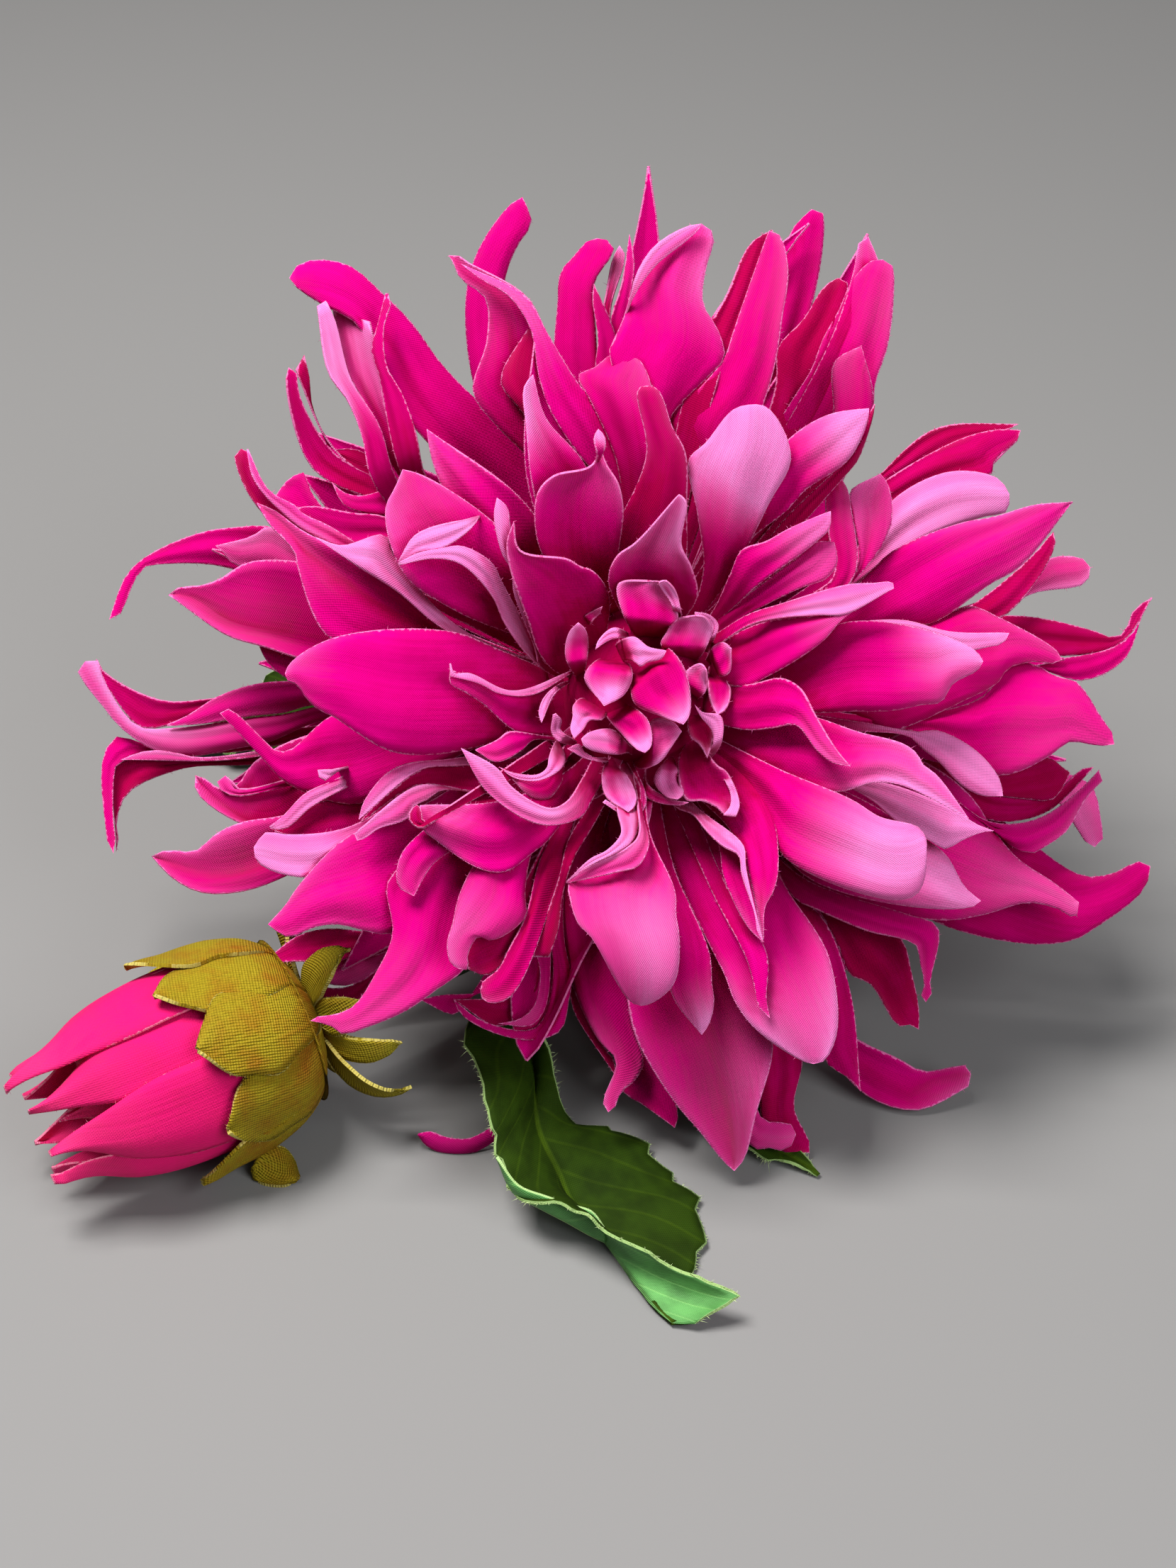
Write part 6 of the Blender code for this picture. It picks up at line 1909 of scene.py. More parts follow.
def to_core(first, second, fold):
    """A petal's edges and crease led on from where they are last seen to the bloom's core."""
    root = (np.array(first[-1]) + np.array(second[-1])) / 2
    reach = np.linalg.norm(root)
    if reach < CORE_REACH:
        return first, second, fold
    inward = root / reach
    across = np.array([-inward[1], inward[0]]) * CORE_HALF
    if across @ (np.array(first[-1]) - np.array(second[-1])) < 0.0:
        across = -across
    end = inward * DRAWN_ROOT
    longer = (*fold, tuple(end)) if fold else fold
    return (*first, tuple(end + across)), (*second, tuple(end - across)), longer


def drawn_places(row, c):
    """Where a petal is seen, how far down it each row lies past its hidden root, and half its width."""
    lines = to_core(row.first, row.second, row.fold)
    edges = [edge_line(line, DRAWN_ROWS)[::-1][:, None] for line in lines[:2]]
    whole = np.linalg.norm(np.diff(np.array(lines[0]), axis=0), axis=1)
    hidden = whole[len(row.first) - 1 :].sum() / whole.sum()
    t = np.clip((np.linspace(0.0, 1.0, DRAWN_ROWS)[:, None] - hidden) / (1.0 - hidden), 0.0, 1.0)
    share = (c[..., None] + 1.0) / 2
    flat = edges[0] * (1.0 - share) + edges[1] * share
    if row.fold:
        crease = edge_line(lines[2], DRAWN_ROWS)[::-1][:, None]
        near = edges[0] * -c[..., None] + crease * (1.0 + c[..., None])
        far = edges[1] * c[..., None] + crease * (1.0 - c[..., None])
        flat = np.where(c[..., None] < 0, near, far)
    return flat, t, np.linalg.norm(edges[0] - edges[1], axis=2) / 2


def drawn_heights(row, flat, t, c, half, bow, phase):
    """How high each point of a drawn petal stands over the heart's plane."""
    radii = np.linalg.norm(flat[:, DRAWN_COLUMNS // 2], axis=1)
    body = np.minimum(half / DRAWN_FULL_HALF, 1.0)
    heights = layer_height(row.layer, max(radii.max(), DRAWN_ROOT + 2), radii)[:, None]
    heights = heights + row.rise * ease(t / 0.35) + row.lift * ease((t - 0.5) / 0.5)
    heights = heights + body * (DRAWN_CUP * row.cup * (bow - CUP_MIDDLE) + row.tilt * c)
    wave = np.sin(t * (8.0 + phase[1] / 2) + phase[2] + c * 1.1)
    heights = heights + row.layer.ruffle * DRAWN_RUFFLE * wave * c * c * body
    return heights + PLEAT_DEPTH * np.cos(c * PLEATS + phase[0] + t * 3.0) * np.sin(math.pi * t) * body


def drawn_tints(row, t, c, bow, rim, phase):
    """How pale and deep each point of a drawn petal is, and how near to its cut edge."""
    fade = ease((t - row.start) / 0.6) * (0.85 + 0.15 * np.cos(c * 2.2 + phase[0]))
    glow = FLORET_RIM if row.layer is HEART_LAYER else PETAL_RIM
    # Pale towards the tip, partly the dye's fade and partly painted highlight, and pale near the cut edge
    pale = PALE_AND_HIGHLIGHT * (row.pale + row.layer.pale) * fade**1.4 + glow * (1.0 - rim) * ease(t / 0.4)
    # Deeper towards the root, partly the dye and partly painted shade under the petals that overlap it
    root_dye_and_shade_mask = 1.0 - ease((t - 0.1) / 0.55)
    # Painted shade deepening the middle of a hollowed petal
    hollow = max(row.cup, 0.0) * HOLLOW_SHADE * (1.0 - bow)
    depth = row.layer.deep + row.deep + ROOT_DYE_AND_SHADE * root_dye_and_shade_mask + hollow
    return np.stack([np.clip(pale, 0.0, MOST_PALE), np.clip(depth, 0.0, 1.0), rim], axis=2)


def drawn_petal(cloth, row):
    """One petal between its two edges as they are seen, at its layer's heights."""
    c = np.linspace(-1.0, 1.0, DRAWN_COLUMNS + 1)[None, :]
    flat, t, half = drawn_places(row, c)
    bow = np.abs(c) if row.fold else (c * c + np.abs(c)) / 2
    phase = draw.uniform(0.0, 2 * math.pi, 4)
    heights = drawn_heights(row, flat, t, c, half, bow, phase)
    grid = above_table(to_world(seen(flat, heights)), FABRIC / 2)
    if faces_away(grid):
        grid = grid[:, ::-1]
        c = -c
    distance = travelled(grid[:, DRAWN_COLUMNS // 2])[:, None]
    places = np.stack([c * half, distance + 0.0 * c], axis=2) + phase[:2] * WEAVE_SHIFT
    rim = np.minimum(half * (1.0 - np.abs(c)), (distance[-1] - distance) * TIP_RIM)
    tints = drawn_tints(row, t, c, bow, np.clip(rim, 0.0, 1.0), phase)
    normal = cloth.sheet(grid, places, tints)
    cloth.fray(grid, normal, places)


def shown_sheet(cloth, row, thickness, slots=(0, 0)):
    """A small sheet between its two edges as they are seen, each at its own height."""
    edges = []
    for line, height in zip(row[:2], row[2:]):
        edges.append(seen(edge_line(line, SHOWN_ROWS), np.full(SHOWN_ROWS, height))[:, None])
    share = np.linspace(0.0, 1.0, SHOWN_COLUMNS + 1)[None, :, None]
    grid = edges[0] * (1.0 - share) + edges[1] * share
    grid = to_world(grid + ALONG_AXIS * SHOWN_BULGE * np.sin(math.pi * share))
    if faces_away(grid):
        grid = grid[:, ::-1]
    grid = above_table(grid, thickness / 2)
    run = np.cumsum(np.linalg.norm(np.gradient(grid, axis=0), axis=2), axis=0)
    wide = np.cumsum(np.linalg.norm(np.gradient(grid, axis=1), axis=2), axis=1)
    rim = np.clip(np.minimum(wide - wide[:, :1], wide[:, -1:] - wide), 0.0, 1.0)
    tint = np.full_like(rim, SHOWN_TINT)
    places = np.stack([wide, run], axis=2)
    normal = cloth.sheet(grid, places, np.stack([tint, tint, rim], axis=2), thickness, slots)
    cloth.fray(grid, normal, places, slot=slots[0], skip=0.0)


def bloom(magenta):
    """The bloom: the petals that face the viewer, those among and behind them, and the heart."""
    shown = (
        ("bloom_inner", DRAWN_HEART),
        ("bloom_top_left", DRAWN_TOP_LEFT),
        ("bloom_top_right", DRAWN_TOP_RIGHT),
        ("bloom_right", DRAWN_RIGHT),
        ("bloom_lower_right", DRAWN_LOWER_RIGHT),
        ("bloom_bottom", DRAWN_BOTTOM),
        ("bloom_lower_left", DRAWN_LOWER_LEFT),
        ("bloom_left", DRAWN_LEFT),
    )
    behind = (
        ("bloom_third", THIRD, THIRD_PETALS),
        ("bloom_fourth", FOURTH, FOURTH_PETALS),
        ("bloom_outer", OUTER, OUTER_PETALS),
        ("bloom_back", BACK, back_petals(BACK_FROM, BACK_TO, BACK_PETALS, BACK_REACH)),
        ("bloom_under", UNDER, back_petals(0.0, UNDER_TO, UNDER_PETALS, UNDER_REACH)),
    )
    cloths = {piece[0]: Cloth() for piece in (*shown, *behind)}
    shown_sheet(cloths["bloom_outer"], TABLE_TIP, FABRIC)
    turned(cloths["bloom_inner"], CORE_PROFILE, to_world, 1.0)
    for name, rows in shown:
        for row in rows:
            drawn_petal(cloths[name], row)
    for name, layer, rows in behind:
        for row in rows:
            petal(cloths[name], row, layer)
    # Painted shade between the petals, baked into their colour
    shade_by_neighbours(cloths.values())
    for name, cloth in cloths.items():
        cloth.build(name, [magenta], "bloom_fabric", "bloom_petals")


def ring_tube(cloth, rings, places, depth):
    """Closed skin round a row of rings of points."""
    rows, sides = rings.shape[:2]
    index = np.arange(rows * sides).reshape(rows, sides)
    after = np.roll(index, -1, axis=1)
    corners = (index[:-1], after[:-1], after[1:], index[1:])
    faces = np.stack([corner.ravel() for corner in corners], axis=1)
    first, last = rows * sides, rows * sides + 1
    points = np.concatenate([rings.reshape(-1, 3), [rings[0].mean(axis=0), rings[-1].mean(axis=0)]])
    caps = [[first, b, a] for a, b in zip(index[0], after[0])]
    caps += [[last, a, b] for a, b in zip(index[-1], after[-1])]
    flat = np.concatenate([places.reshape(-1, 2), [places[0, 0], places[-1, 0]]])
    tints = np.tile([0.0, depth, 1.0], (len(points), 1))
    cloth.add(points, faces, np.zeros(len(faces), int), flat, tints)
    cloth.add(points, np.array(caps), np.zeros(len(caps), int), flat, tints)


def turned(cloth, profile, to_place, depth):
    """A solid turned round an axis, from a radius and height profile."""
    shape = smooth_curve(profile, TURNED_STEPS)
    radius = np.maximum(shape[:, :1], AXIS_RADIUS)
    height = np.repeat(shape[:, 1:], TURNED_SIDES, axis=1)
    angle = np.linspace(0.0, 2 * math.pi, TURNED_SIDES, endpoint=False)
    rings = np.stack([radius * np.cos(angle), radius * np.sin(angle), height], axis=2)
    ring_tube(cloth, to_place(rings), np.stack([radius * angle, height], axis=2), depth)


def wire(cloth, route, radius):
    """A round wire along a route, with ends cut off square."""
    spots = smooth_curve(FOOT + np.array(route), ROUTE_STEPS)
    heading = unit(np.gradient(spots, axis=0))
    side = unit(np.cross(heading, ALONG_AXIS))
    up = np.cross(side, heading)
    angle = np.linspace(0.0, 2 * math.pi, WIRE_SIDES, endpoint=False)
    ring = side[:, None] * np.cos(angle)[None, :, None] + up[:, None] * np.sin(angle)[None, :, None]
    around = np.tile(radius * angle, (len(spots), 1))
    down = np.repeat(travelled(spots)[:, None], WIRE_SIDES, axis=1)
    ring_tube(cloth, spots[:, None] + ring * radius, np.stack([around, down], axis=2), 0.0)


def stem(plastic):
    """The wire stem with its branch, and the green cup behind the bloom."""
    cloth = Cloth()
    wire(cloth, STEM_ROUTE, STEM_RADIUS)
    wire(cloth, BRANCH_ROUTE, BRANCH_RADIUS)
    cloth.build("stem_wire", [plastic], "stem_plastic", "stem")
    cup = Cloth()
    turned(cup, CUP_PROFILE, to_world, 0.0)
    for index in range(CUP_SEPALS):
        at = 90.0 + 360.0 * index / CUP_SEPALS
        row = CUP_SEPAL._replace(root=at, tip=at)
        petal(cup, row, CUP_RING, CUP_SEPAL_ROWS, CUP_SEPAL_COLUMNS, CUP_FABRIC, frayed=False)
    cup.build("bloom_cup", [plastic], "stem_plastic", "bloom_calyx")


def bud_axes():
    """The bud's axis, the way to the viewer's side and the way up from it."""
    axis = unit(BUD_AXIS)
    near = unit(np.cross(ALONG_AXIS, axis))
    return axis, near, np.cross(axis, near)


def bud_point(degrees, radius, along_bud):
    """Places round the bud: 0 degrees is its top and 90 its side towards the viewer."""
    axis, near, up = bud_axes()
    angle = np.radians(degrees)[..., None]
    out = up * np.cos(angle) + near * np.sin(angle)
    return FOOT + BUD_BASE + axis * along_bud[..., None] + out * radius[..., None]


def bud_radius(along_bud):
    """The bud's radius at distances from its base."""
    shape = smooth_curve(BUD_PROFILE, BUD_STEPS)
    return np.interp(along_bud, shape[:, 0], shape[:, 1])


def wrapped(cloth, degrees, radius, along_bud, thickness, pale, depth, fray=1.0):
    """A sheet wrapped round the bud over a grid of angles, radii and distances."""
    grid = above_table(bud_point(degrees, radius, along_bud), thickness / 2 + TABLE_GAP)
    run = np.linalg.norm(np.gradient(grid, axis=0), axis=2)
    wide = np.linalg.norm(np.gradient(grid, axis=1), axis=2)
    middle = grid.shape[1] // 2
    x = np.cumsum(wide, axis=1)
    x = x - x[:, middle : middle + 1]
    y = np.repeat(np.cumsum(run, axis=0)[:, middle : middle + 1], grid.shape[1], axis=1)
    reach = np.maximum(x[:, -1:], -x[:, :1])
    rim = np.clip(np.minimum(reach - np.abs(x), y[-1:] - y), 0.0, 1.0)
    tints = np.stack([np.clip(pale, 0.0, 1.0), np.clip(depth, 0.0, 1.0), rim], axis=2)
    flat = np.stack([x, y], axis=2) + draw.uniform(0.0, WEAVE_SPREAD, 2)
    normal = cloth.sheet(grid, flat, tints, thickness)
    cloth.fray(grid, normal, flat, length=FRAY_LENGTH * fray, skip=BUD_FRAY_FROM)


def bud_petal(cloth, row):
    """One satin petal wrapped round the closed bud, one edge under its neighbour's."""
    t = np.linspace(0.0, 1.0, BUD_ROWS)[:, None]
    s = np.linspace(-1.0, 1.0, BUD_COLUMNS + 1)[None, :]
    at = BUD_START + (row.length - BUD_START) * t
    close = np.maximum(1.0 - np.clip((t - 0.5) / 0.5, 0.0, 1.0) ** 2.0, 0.02)
    half = row.spread * (0.78 + 0.22 * np.sin(math.pi / 2 * np.minimum(t / 0.4, 1.0))) * close
    phase = draw.uniform(0.0, 2 * math.pi, 3)
    degrees = row.centre + half * s + 2.0 * np.sin(t * 3.0 + phase[0]) * t
    blend = ease((t - 0.72) / 0.28)
    radius = bud_radius(at) * (1.0 - blend) + (row.tip_radius + BUD_TIP_OUT) * blend - row.sink
    radius = np.minimum(radius, bud_radius(at) - row.sink * 0.6)
    wave = np.sin(s * 4.5 + phase[1] + t * 2.0) * ease(t / 0.3) * (1 - t * 0.5)
    radius = radius + BUD_EDGE_OVER * s * (1.0 - t) + BUD_EDGE_WAVE * wave
    radius = radius - BUD_EDGE_CLOSE * (s**2) * ease((t - 0.35) / 0.5) * (row.sink < 2.0)
    pale = 0.15 + 0.25 * ease((t - 0.5) / 0.5) + 0.0 * s
    depth = 0.45 * (1.0 - ease(t / 0.4)) + 0.14 * row.sink + 0.0 * s
    wrapped(cloth, degrees, radius, at + 0.0 * s, BUD_FABRIC, pale, depth)


def sepal(cloth, row):
    """One sepal: from the bud's neck round its base and up its side."""
    t = np.linspace(0.0, 1.0, SEPAL_ROWS)[:, None]
    s = np.linspace(-1.0, 1.0, SEPAL_COLUMNS + 1)[None, :]
    start, end = SEPAL_BASE[0][0], SEPAL_BASE[-1][0]
    at = start + (row.length - start) * t**0.85
    base = smooth_curve(SEPAL_BASE, SEPAL_BASE_STEPS)
    outside = np.where(at < end, np.interp(at, base[:, 0], base[:, 1]), bud_radius(at) + SEPAL_GAP)
    swell = 0.62 + 0.38 * np.sin(math.pi / 2 * np.minimum(t / 0.45, 1.0))
    close = np.maximum(1.0 - np.clip((t - 0.45) / 0.55, 0.0, 1.0) ** 2.4, 0.03)
    phase = draw.uniform(0.0, 2 * math.pi, 3)
    uneven = 1.0 + SEPAL_UNEVEN * np.sin(t * 17.0 + phase[0] + 2.0 * np.sign(s))
    degrees = row.centre + row.spread * 1.12 * swell * close * uneven * s
    lift = row.lift * ease(t / 0.5) + SEPAL_TIP_OUT * ease((t - 0.7) / 0.3)
    wave = SEPAL_WAVE * np.sin(s * 3.0 + phase[1] + t * 4.0) + SEPAL_EDGE_OVER * s
    radius = outside + lift + wave * ease(t / 0.4)
    pale = 0.5 * ease((t - 0.2) / 0.8) * (0.7 + 0.3 * np.cos(s * 3.0 + phase[2]))
    depth = 0.2 + 0.4 * (1.0 - ease(t / 0.35)) + 0.0 * s
    wrapped(cloth, degrees, radius, at + 0.0 * s, SEPAL_FABRIC, pale, depth, SEPAL_FRAY)


def bract(cloth, row):
    """A small leaf that spreads from the bud's neck and bends back along the stem."""
    t = np.linspace(0.02, 1.0, BRACT_ROWS)[:, None]
    s = np.linspace(-1.0, 1.0, BRACT_COLUMNS + 1)[None, :]
    out = BRACT_ROOT + row.length * np.sin(t * math.pi / 2)
    half = np.degrees(row.width / 2 * np.interp(t, BRACT_SHARES, BRACT_WIDTHS) / out)
    phase = draw.uniform(0.0, 2 * math.pi, 2)
    curl = BRACT_CURL * ease((t - 0.4) / 0.6) * np.sin(phase[0] + s * 1.5)
    curl = curl + BRACT_HOLLOW * s * s * ease(t / 0.5)
    pale = 0.6 * ease((t - 0.3) / 0.7) + 0.0 * s
    depth = 0.5 * (1.0 - ease(t / 0.4)) + 0.0 * s
    degrees = row.centre + half * s
    back = curl - row.bend * t * t
    wrapped(cloth, degrees, out + 0.0 * s, back, SEPAL_FABRIC, pale, depth, BRACT_FRAY)


def bud(crimson, olive):
    """The side bud: its satin petals, and its cup of sepals and bracts."""
    axis, near, up = bud_axes()

    def to_bud(points):
        return FOOT + BUD_BASE + axis * points[..., 2:] + near * points[..., :1] + up * points[..., 1:2]

    satin = Cloth()
    for row in BUD_PETALS:
        bud_petal(satin, row)
    core = [(BUD_CORE_TIP, BUD_START)]
    for at in np.linspace(BUD_START, BUD_CORE_END, BUD_CORE_STATIONS):
        core.append((max(bud_radius(at) - BUD_CORE_INSET, BUD_CORE_TIP), at))
    core.append((BUD_CORE_TIP, BUD_CORE_END + 1.0))
    turned(satin, core, to_bud, 1.0)
    satin.build("bud_satin", [crimson], "bud_fabric", "bud_petals")
    cup = Cloth()
    for row in SEPALS:
        sepal(cup, row)
    for row in BRACTS:
        bract(cup, row)
    turned(cup, BUD_NECK, to_bud, 0.4)
    shown_sheet(cup, BUD_FLAP, SEPAL_FABRIC)
    cup.build("bud_sepals", [olive], "calyx_fabric", "bud_calyx")


def leaf_grid(keel, left, right, lengths):
    """A leaf's sheet between its edges: two bulging halves with teeth along their edges."""
    s = np.linspace(0.0, 1.0, LEAF_HALF_COLUMNS + 1)[1:]
    heading = np.gradient(keel, axis=0)
    tooth = ((lengths / LEAF_TOOTH) % 1.0) ** 1.4 - 0.5
    grow = tooth * 2 * LEAF_TOOTH_DEPTH / np.maximum(np.linalg.norm(left - keel, axis=1), 4.0)
    wave = LEAF_WAVE * np.sin(lengths[:, None] * LEAF_WAVE_RATE) * s * s
    halves = []
    for edge, sign in ((left, 1.0), (right, -1.0)):
        reach = (edge - keel)[:, None] * (s * (1.0 + grow[:, None] * s**4))[..., None]
        face = unit(np.cross(edge - keel, heading)) * sign
        wide = np.linalg.norm(edge - keel, axis=1)
        bulge = LEAF_BULGE * wide[:, None] * np.sin(math.pi * s) + wave
        halves.append(keel[:, None] + reach + face[:, None] * bulge[..., None])
    return np.concatenate([halves[0][:, ::-1], keel[:, None], halves[1]], axis=1)


def leaf(name, rows, materials, place):
    """One leaf with a dark face, a paler satin underside and a frayed edge."""
    lines = smooth_curve(rows, LEAF_STEPS)
    keel, left, right = (FOOT + lines[:, k] for k in range(3))
    lengths = travelled(keel)
    grid = above_table(leaf_grid(keel, left, right, lengths), LEAF_FABRIC / 2 + TABLE_GAP)
    columns = grid.shape[1]
    steps = np.cumsum(np.linalg.norm(np.diff(grid, axis=1), axis=2), axis=1)
    across = np.concatenate([np.zeros((len(grid), 1)), steps], axis=1)
    across = across - across[:, LEAF_HALF_COLUMNS : LEAF_HALF_COLUMNS + 1]
    flat = np.stack([across, np.repeat(lengths[:, None], columns, axis=1)], axis=2)
    rim = np.clip(np.minimum(across[:, -1:] - across, across - across[:, :1]), 0.0, 1.0)
    depth = np.repeat((1.0 - ease(lengths / LEAF_DEEP_LENGTH))[:, None], columns, axis=1)
    cloth = Cloth()
    tints = np.stack([np.zeros_like(rim), depth, rim], axis=2)
    normal = cloth.sheet(grid, flat, tints, LEAF_FABRIC, (0, 1))
    cloth.fray(grid, normal, flat, LEAF_FRAY_STEP, LEAF_FRAY_LENGTH, slot=2, skip=LEAF_FRAY_FROM)
    cloth.build(name, materials, "leaf_fabric", place)


def leaf_rows(route, width):
    """Rows of a plain leaf: a thin stalk, then a blade that swells and closes."""
    places = smooth_curve(route, LEAF_ROUTE_STEPS)
    last = len(places) - 1
    rows = []
    for index, place in enumerate(places):
        ahead = places[min(index + 1, last)] - places[max(index - 1, 0)]
        side = unit(np.cross(ahead, ALONG_AXIS))
        blade = max(0.0, (index / last - LEAF_STALK_SHARE) / (1.0 - LEAF_STALK_SHARE))
        half = max(LEAF_STALK_HALF, width / 2 * math.sin(math.pi * min(blade, 1.0) ** LEAF_BELLY))
        if index == last:
            half = TIP_HALF
        lift = ALONG_AXIS * half * math.sin(math.radians(LEAF_LIFT))
        rows.append((place, place + side * half + lift, place - side * half + lift))
    return rows


def leaves(materials):
    """The three leaves, and the front one's turned edge."""
    curl = Cloth()
    shown_sheet(curl, LEAF_CURL, LEAF_FABRIC, (1, 0))
    curl.build("front_leaf_edge", materials, "leaf_fabric", "front_leaf")
    leaf("front_leaf_cloth", FRONT_LEAF, materials, "front_leaf")
    leaf("right_leaf_cloth", leaf_rows(RIGHT_LEAF, RIGHT_LEAF_WIDTH), materials, "right_leaf")
    leaf("back_leaf_cloth", leaf_rows(BACK_LEAF, BACK_LEAF_WIDTH), materials, "back_leaf")


def node(tree, kind, **values):
    """Adds a shader node with some of its settings and inputs."""
    made = tree.nodes.new(kind)
    for name, value in values.items():
        if hasattr(made, name):
            setattr(made, name, value)
        else:
            made.inputs[name.replace("_", " ")].default_value = value
    return made


def math_node(tree, operation, *values, clamp=False):
    """A math node on sockets or numbers."""
    made = node(tree, "ShaderNodeMath", operation=operation, use_clamp=clamp)
    for socket, value in zip(made.inputs, values):
        if isinstance(value, (int, float)):
            socket.default_value = value
        else:
            tree.links.new(value, socket)
    return made.outputs[0]


def map_range(tree, value, low, high, to_low=0.0, to_high=1.0):
    """Maps a socket's range to another, clamped and eased."""
    made = node(tree, "ShaderNodeMapRange", interpolation_type="SMOOTHSTEP")
    tree.links.new(value, made.inputs["Value"])
    for name, number in (("From Min", low), ("From Max", high), ("To Min", to_low), ("To Max", to_high)):
        made.inputs[name].default_value = number
    return made.outputs[0]


def mixed(tree, factor, low, high, blend="MIX"):
    """Two colours, each a socket or a colour, mixed or multiplied by a factor."""
    made = node(tree, "ShaderNodeMix", data_type="RGBA", blend_type=blend)
    for name, value in (("A", low), ("B", high)):
        socket = next(s for s in made.inputs if s.name == name and s.type == "RGBA")
        if isinstance(value, tuple):
            socket.default_value = (*value, 1.0)
        else:
            tree.links.new(value, socket)
    if isinstance(factor, float):
        made.inputs["Factor"].default_value = factor
    else:
        tree.links.new(factor, made.inputs["Factor"])
    return next(s for s in made.outputs if s.type == "RGBA")


def noise(tree, place, **values):
    """A noise texture at a place."""
    made = node(tree, "ShaderNodeTexNoise", **values)
    tree.links.new(place, made.inputs["Vector"])
    return made.outputs["Fac"]


def mapped(tree, place, **values):
    """A place turned or stretched."""
    made = node(tree, "ShaderNodeMapping", **values)
    tree.links.new(place, made.inputs["Vector"])
    return made.outputs[0]


def split_place(tree, place):
    """The two coordinates of a flat place."""
    made = tree.nodes.new("ShaderNodeSeparateXYZ")
    tree.links.new(place, made.inputs[0])
    return made.outputs["X"], made.outputs["Y"]


def weave_height(tree, place, period, slant):
    """The height of a plain weave: crossed threads over a flat place in millimetres."""
    x, y = split_place(tree, mapped(tree, place, Rotation=(0.0, 0.0, math.radians(slant))))
    rate = 2 * math.pi / period
    across = math_node(tree, "SINE", math_node(tree, "MULTIPLY", x, rate))
    down = math_node(tree, "SINE", math_node(tree, "MULTIPLY", y, rate))
    return math_node(tree, "MULTIPLY", across, down)


def new_material(name):
    """A material with its nodes, and its main shader."""
    made = bpy.data.materials.new(name)
    made.use_nodes = True
    return made, made.node_tree, made.node_tree.nodes["Principled BSDF"]


def cloth_inputs(tree):
    """Where a point lies on its flat sheet, and the pale, deep and rim shares that it carries."""
    place = node(tree, "ShaderNodeUVMap", uv_map="millimetres")
    tint = node(tree, "ShaderNodeAttribute", attribute_name="tint")
    parts = tree.nodes.new("ShaderNodeSeparateColor")
    tree.links.new(tint.outputs["Color"], parts.inputs[0])
    return place.outputs[0], parts.outputs["Red"], parts.outputs["Green"], parts.outputs["Blue"]


def finish(tree, shader, colour, height, strength, distance):
    """Gives the shader its colour, and a bump of so many millimetres by a height."""
    bump = node(tree, "ShaderNodeBump", Strength=strength, Distance=distance * MM)
    tree.links.new(height, bump.inputs["Height"])
    tree.links.new(bump.outputs[0], shader.inputs["Normal"])
    tree.links.new(colour, shader.inputs["Base Color"])


def set_gloss(shader, rough, shine, sheen, sheen_tint):
    """Sets roughness, gloss and sheen, the same all over."""
    shader.inputs["Roughness"].default_value = rough
    shader.inputs["Specular IOR Level"].default_value = shine
    shader.inputs["Sheen Weight"].default_value = sheen
    shader.inputs["Sheen Tint"].default_value = (*sheen_tint, 1.0)


def let_light_through(made, tree, shader, colour, share):
    """Lets a share of the light through the fabric."""
    glow = tree.nodes.new("ShaderNodeBsdfTranslucent")
    tree.links.new(colour, glow.inputs["Color"])
    both = tree.nodes.new("ShaderNodeMixShader")
    both.inputs["Fac"].default_value = share
    tree.links.new(shader.outputs[0], both.inputs[1])
    tree.links.new(glow.outputs[0], both.inputs[2])
    tree.links.new(both.outputs[0], tree.nodes["Material Output"].inputs["Surface"])
    return made


def fabric(
    name,
    middle,
    deep,
    pale,
    edge,
    rough,
    sheen,
    shine=0.1,
    period=WEAVE,
    slant=8.0,
    through=0.22,
    coarse=1.0,
    patches=1.0,
):
    """Woven fabric: coloured from deep to pale by the tint it carries, which on the bloom holds painted
    shade and painted highlight as well as the dye, with a pale cut edge, creases and some light through it.
    """
    made, tree, shader = new_material(name)
    place, red, green, blue = cloth_inputs(tree)
    blotch = noise(tree, place, Scale=0.16, Detail=4.0, Roughness=0.6)
    streaks = noise(tree, mapped(tree, place, Scale=(1.6, 0.07, 1.0)), Scale=1.0, Detail=3.0)
    wander = math_node(tree, "MULTIPLY", math_node(tree, "SUBTRACT", blotch, 0.5), 0.7 * patches)
    streaky = math_node(tree, "MULTIPLY", math_node(tree, "SUBTRACT", streaks, 0.5), 0.5)
    wander = math_node(tree, "ADD", wander, streaky)
    depth = math_node(tree, "ADD", green, wander, clamp=True)
    paleness = math_node(tree, "ADD", red, math_node(tree, "MULTIPLY", wander, 0.4))
    paleness = math_node(tree, "SUBTRACT", paleness, 0.10, clamp=True)
    paleness = math_node(tree, "MULTIPLY", paleness, red, clamp=True)
    colour = mixed(tree, paleness, mixed(tree, depth, middle, deep), pale)
    threads = weave_height(tree, place, period, slant)
    colour = mixed(tree, 1.0, colour, map_range(tree, threads, -1.0, 1.0, 0.78, 1.10), "MULTIPLY")
    ragged = math_node(tree, "SUBTRACT", noise(tree, place, Scale=1.8, Detail=2.0), 0.3)
    inside = math_node(tree, "SUBTRACT", blue, math_node(tree, "MULTIPLY", ragged, 0.6))
    colour = mixed(tree, map_range(tree, inside, -0.10, 0.02, 0.6, 0.0), colour, edge)
    rumple = math_node(tree, "ADD", threads, math_node(tree, "MULTIPLY", streaks, RUMPLE))
    finish(tree, shader, colour, rumple, 0.5 * coarse, 0.08)
    set_gloss(shader, rough, shine, sheen, pale)
    shader.inputs["Sheen Roughness"].default_value = 0.35
    return let_light_through(made, tree, shader, colour, through)


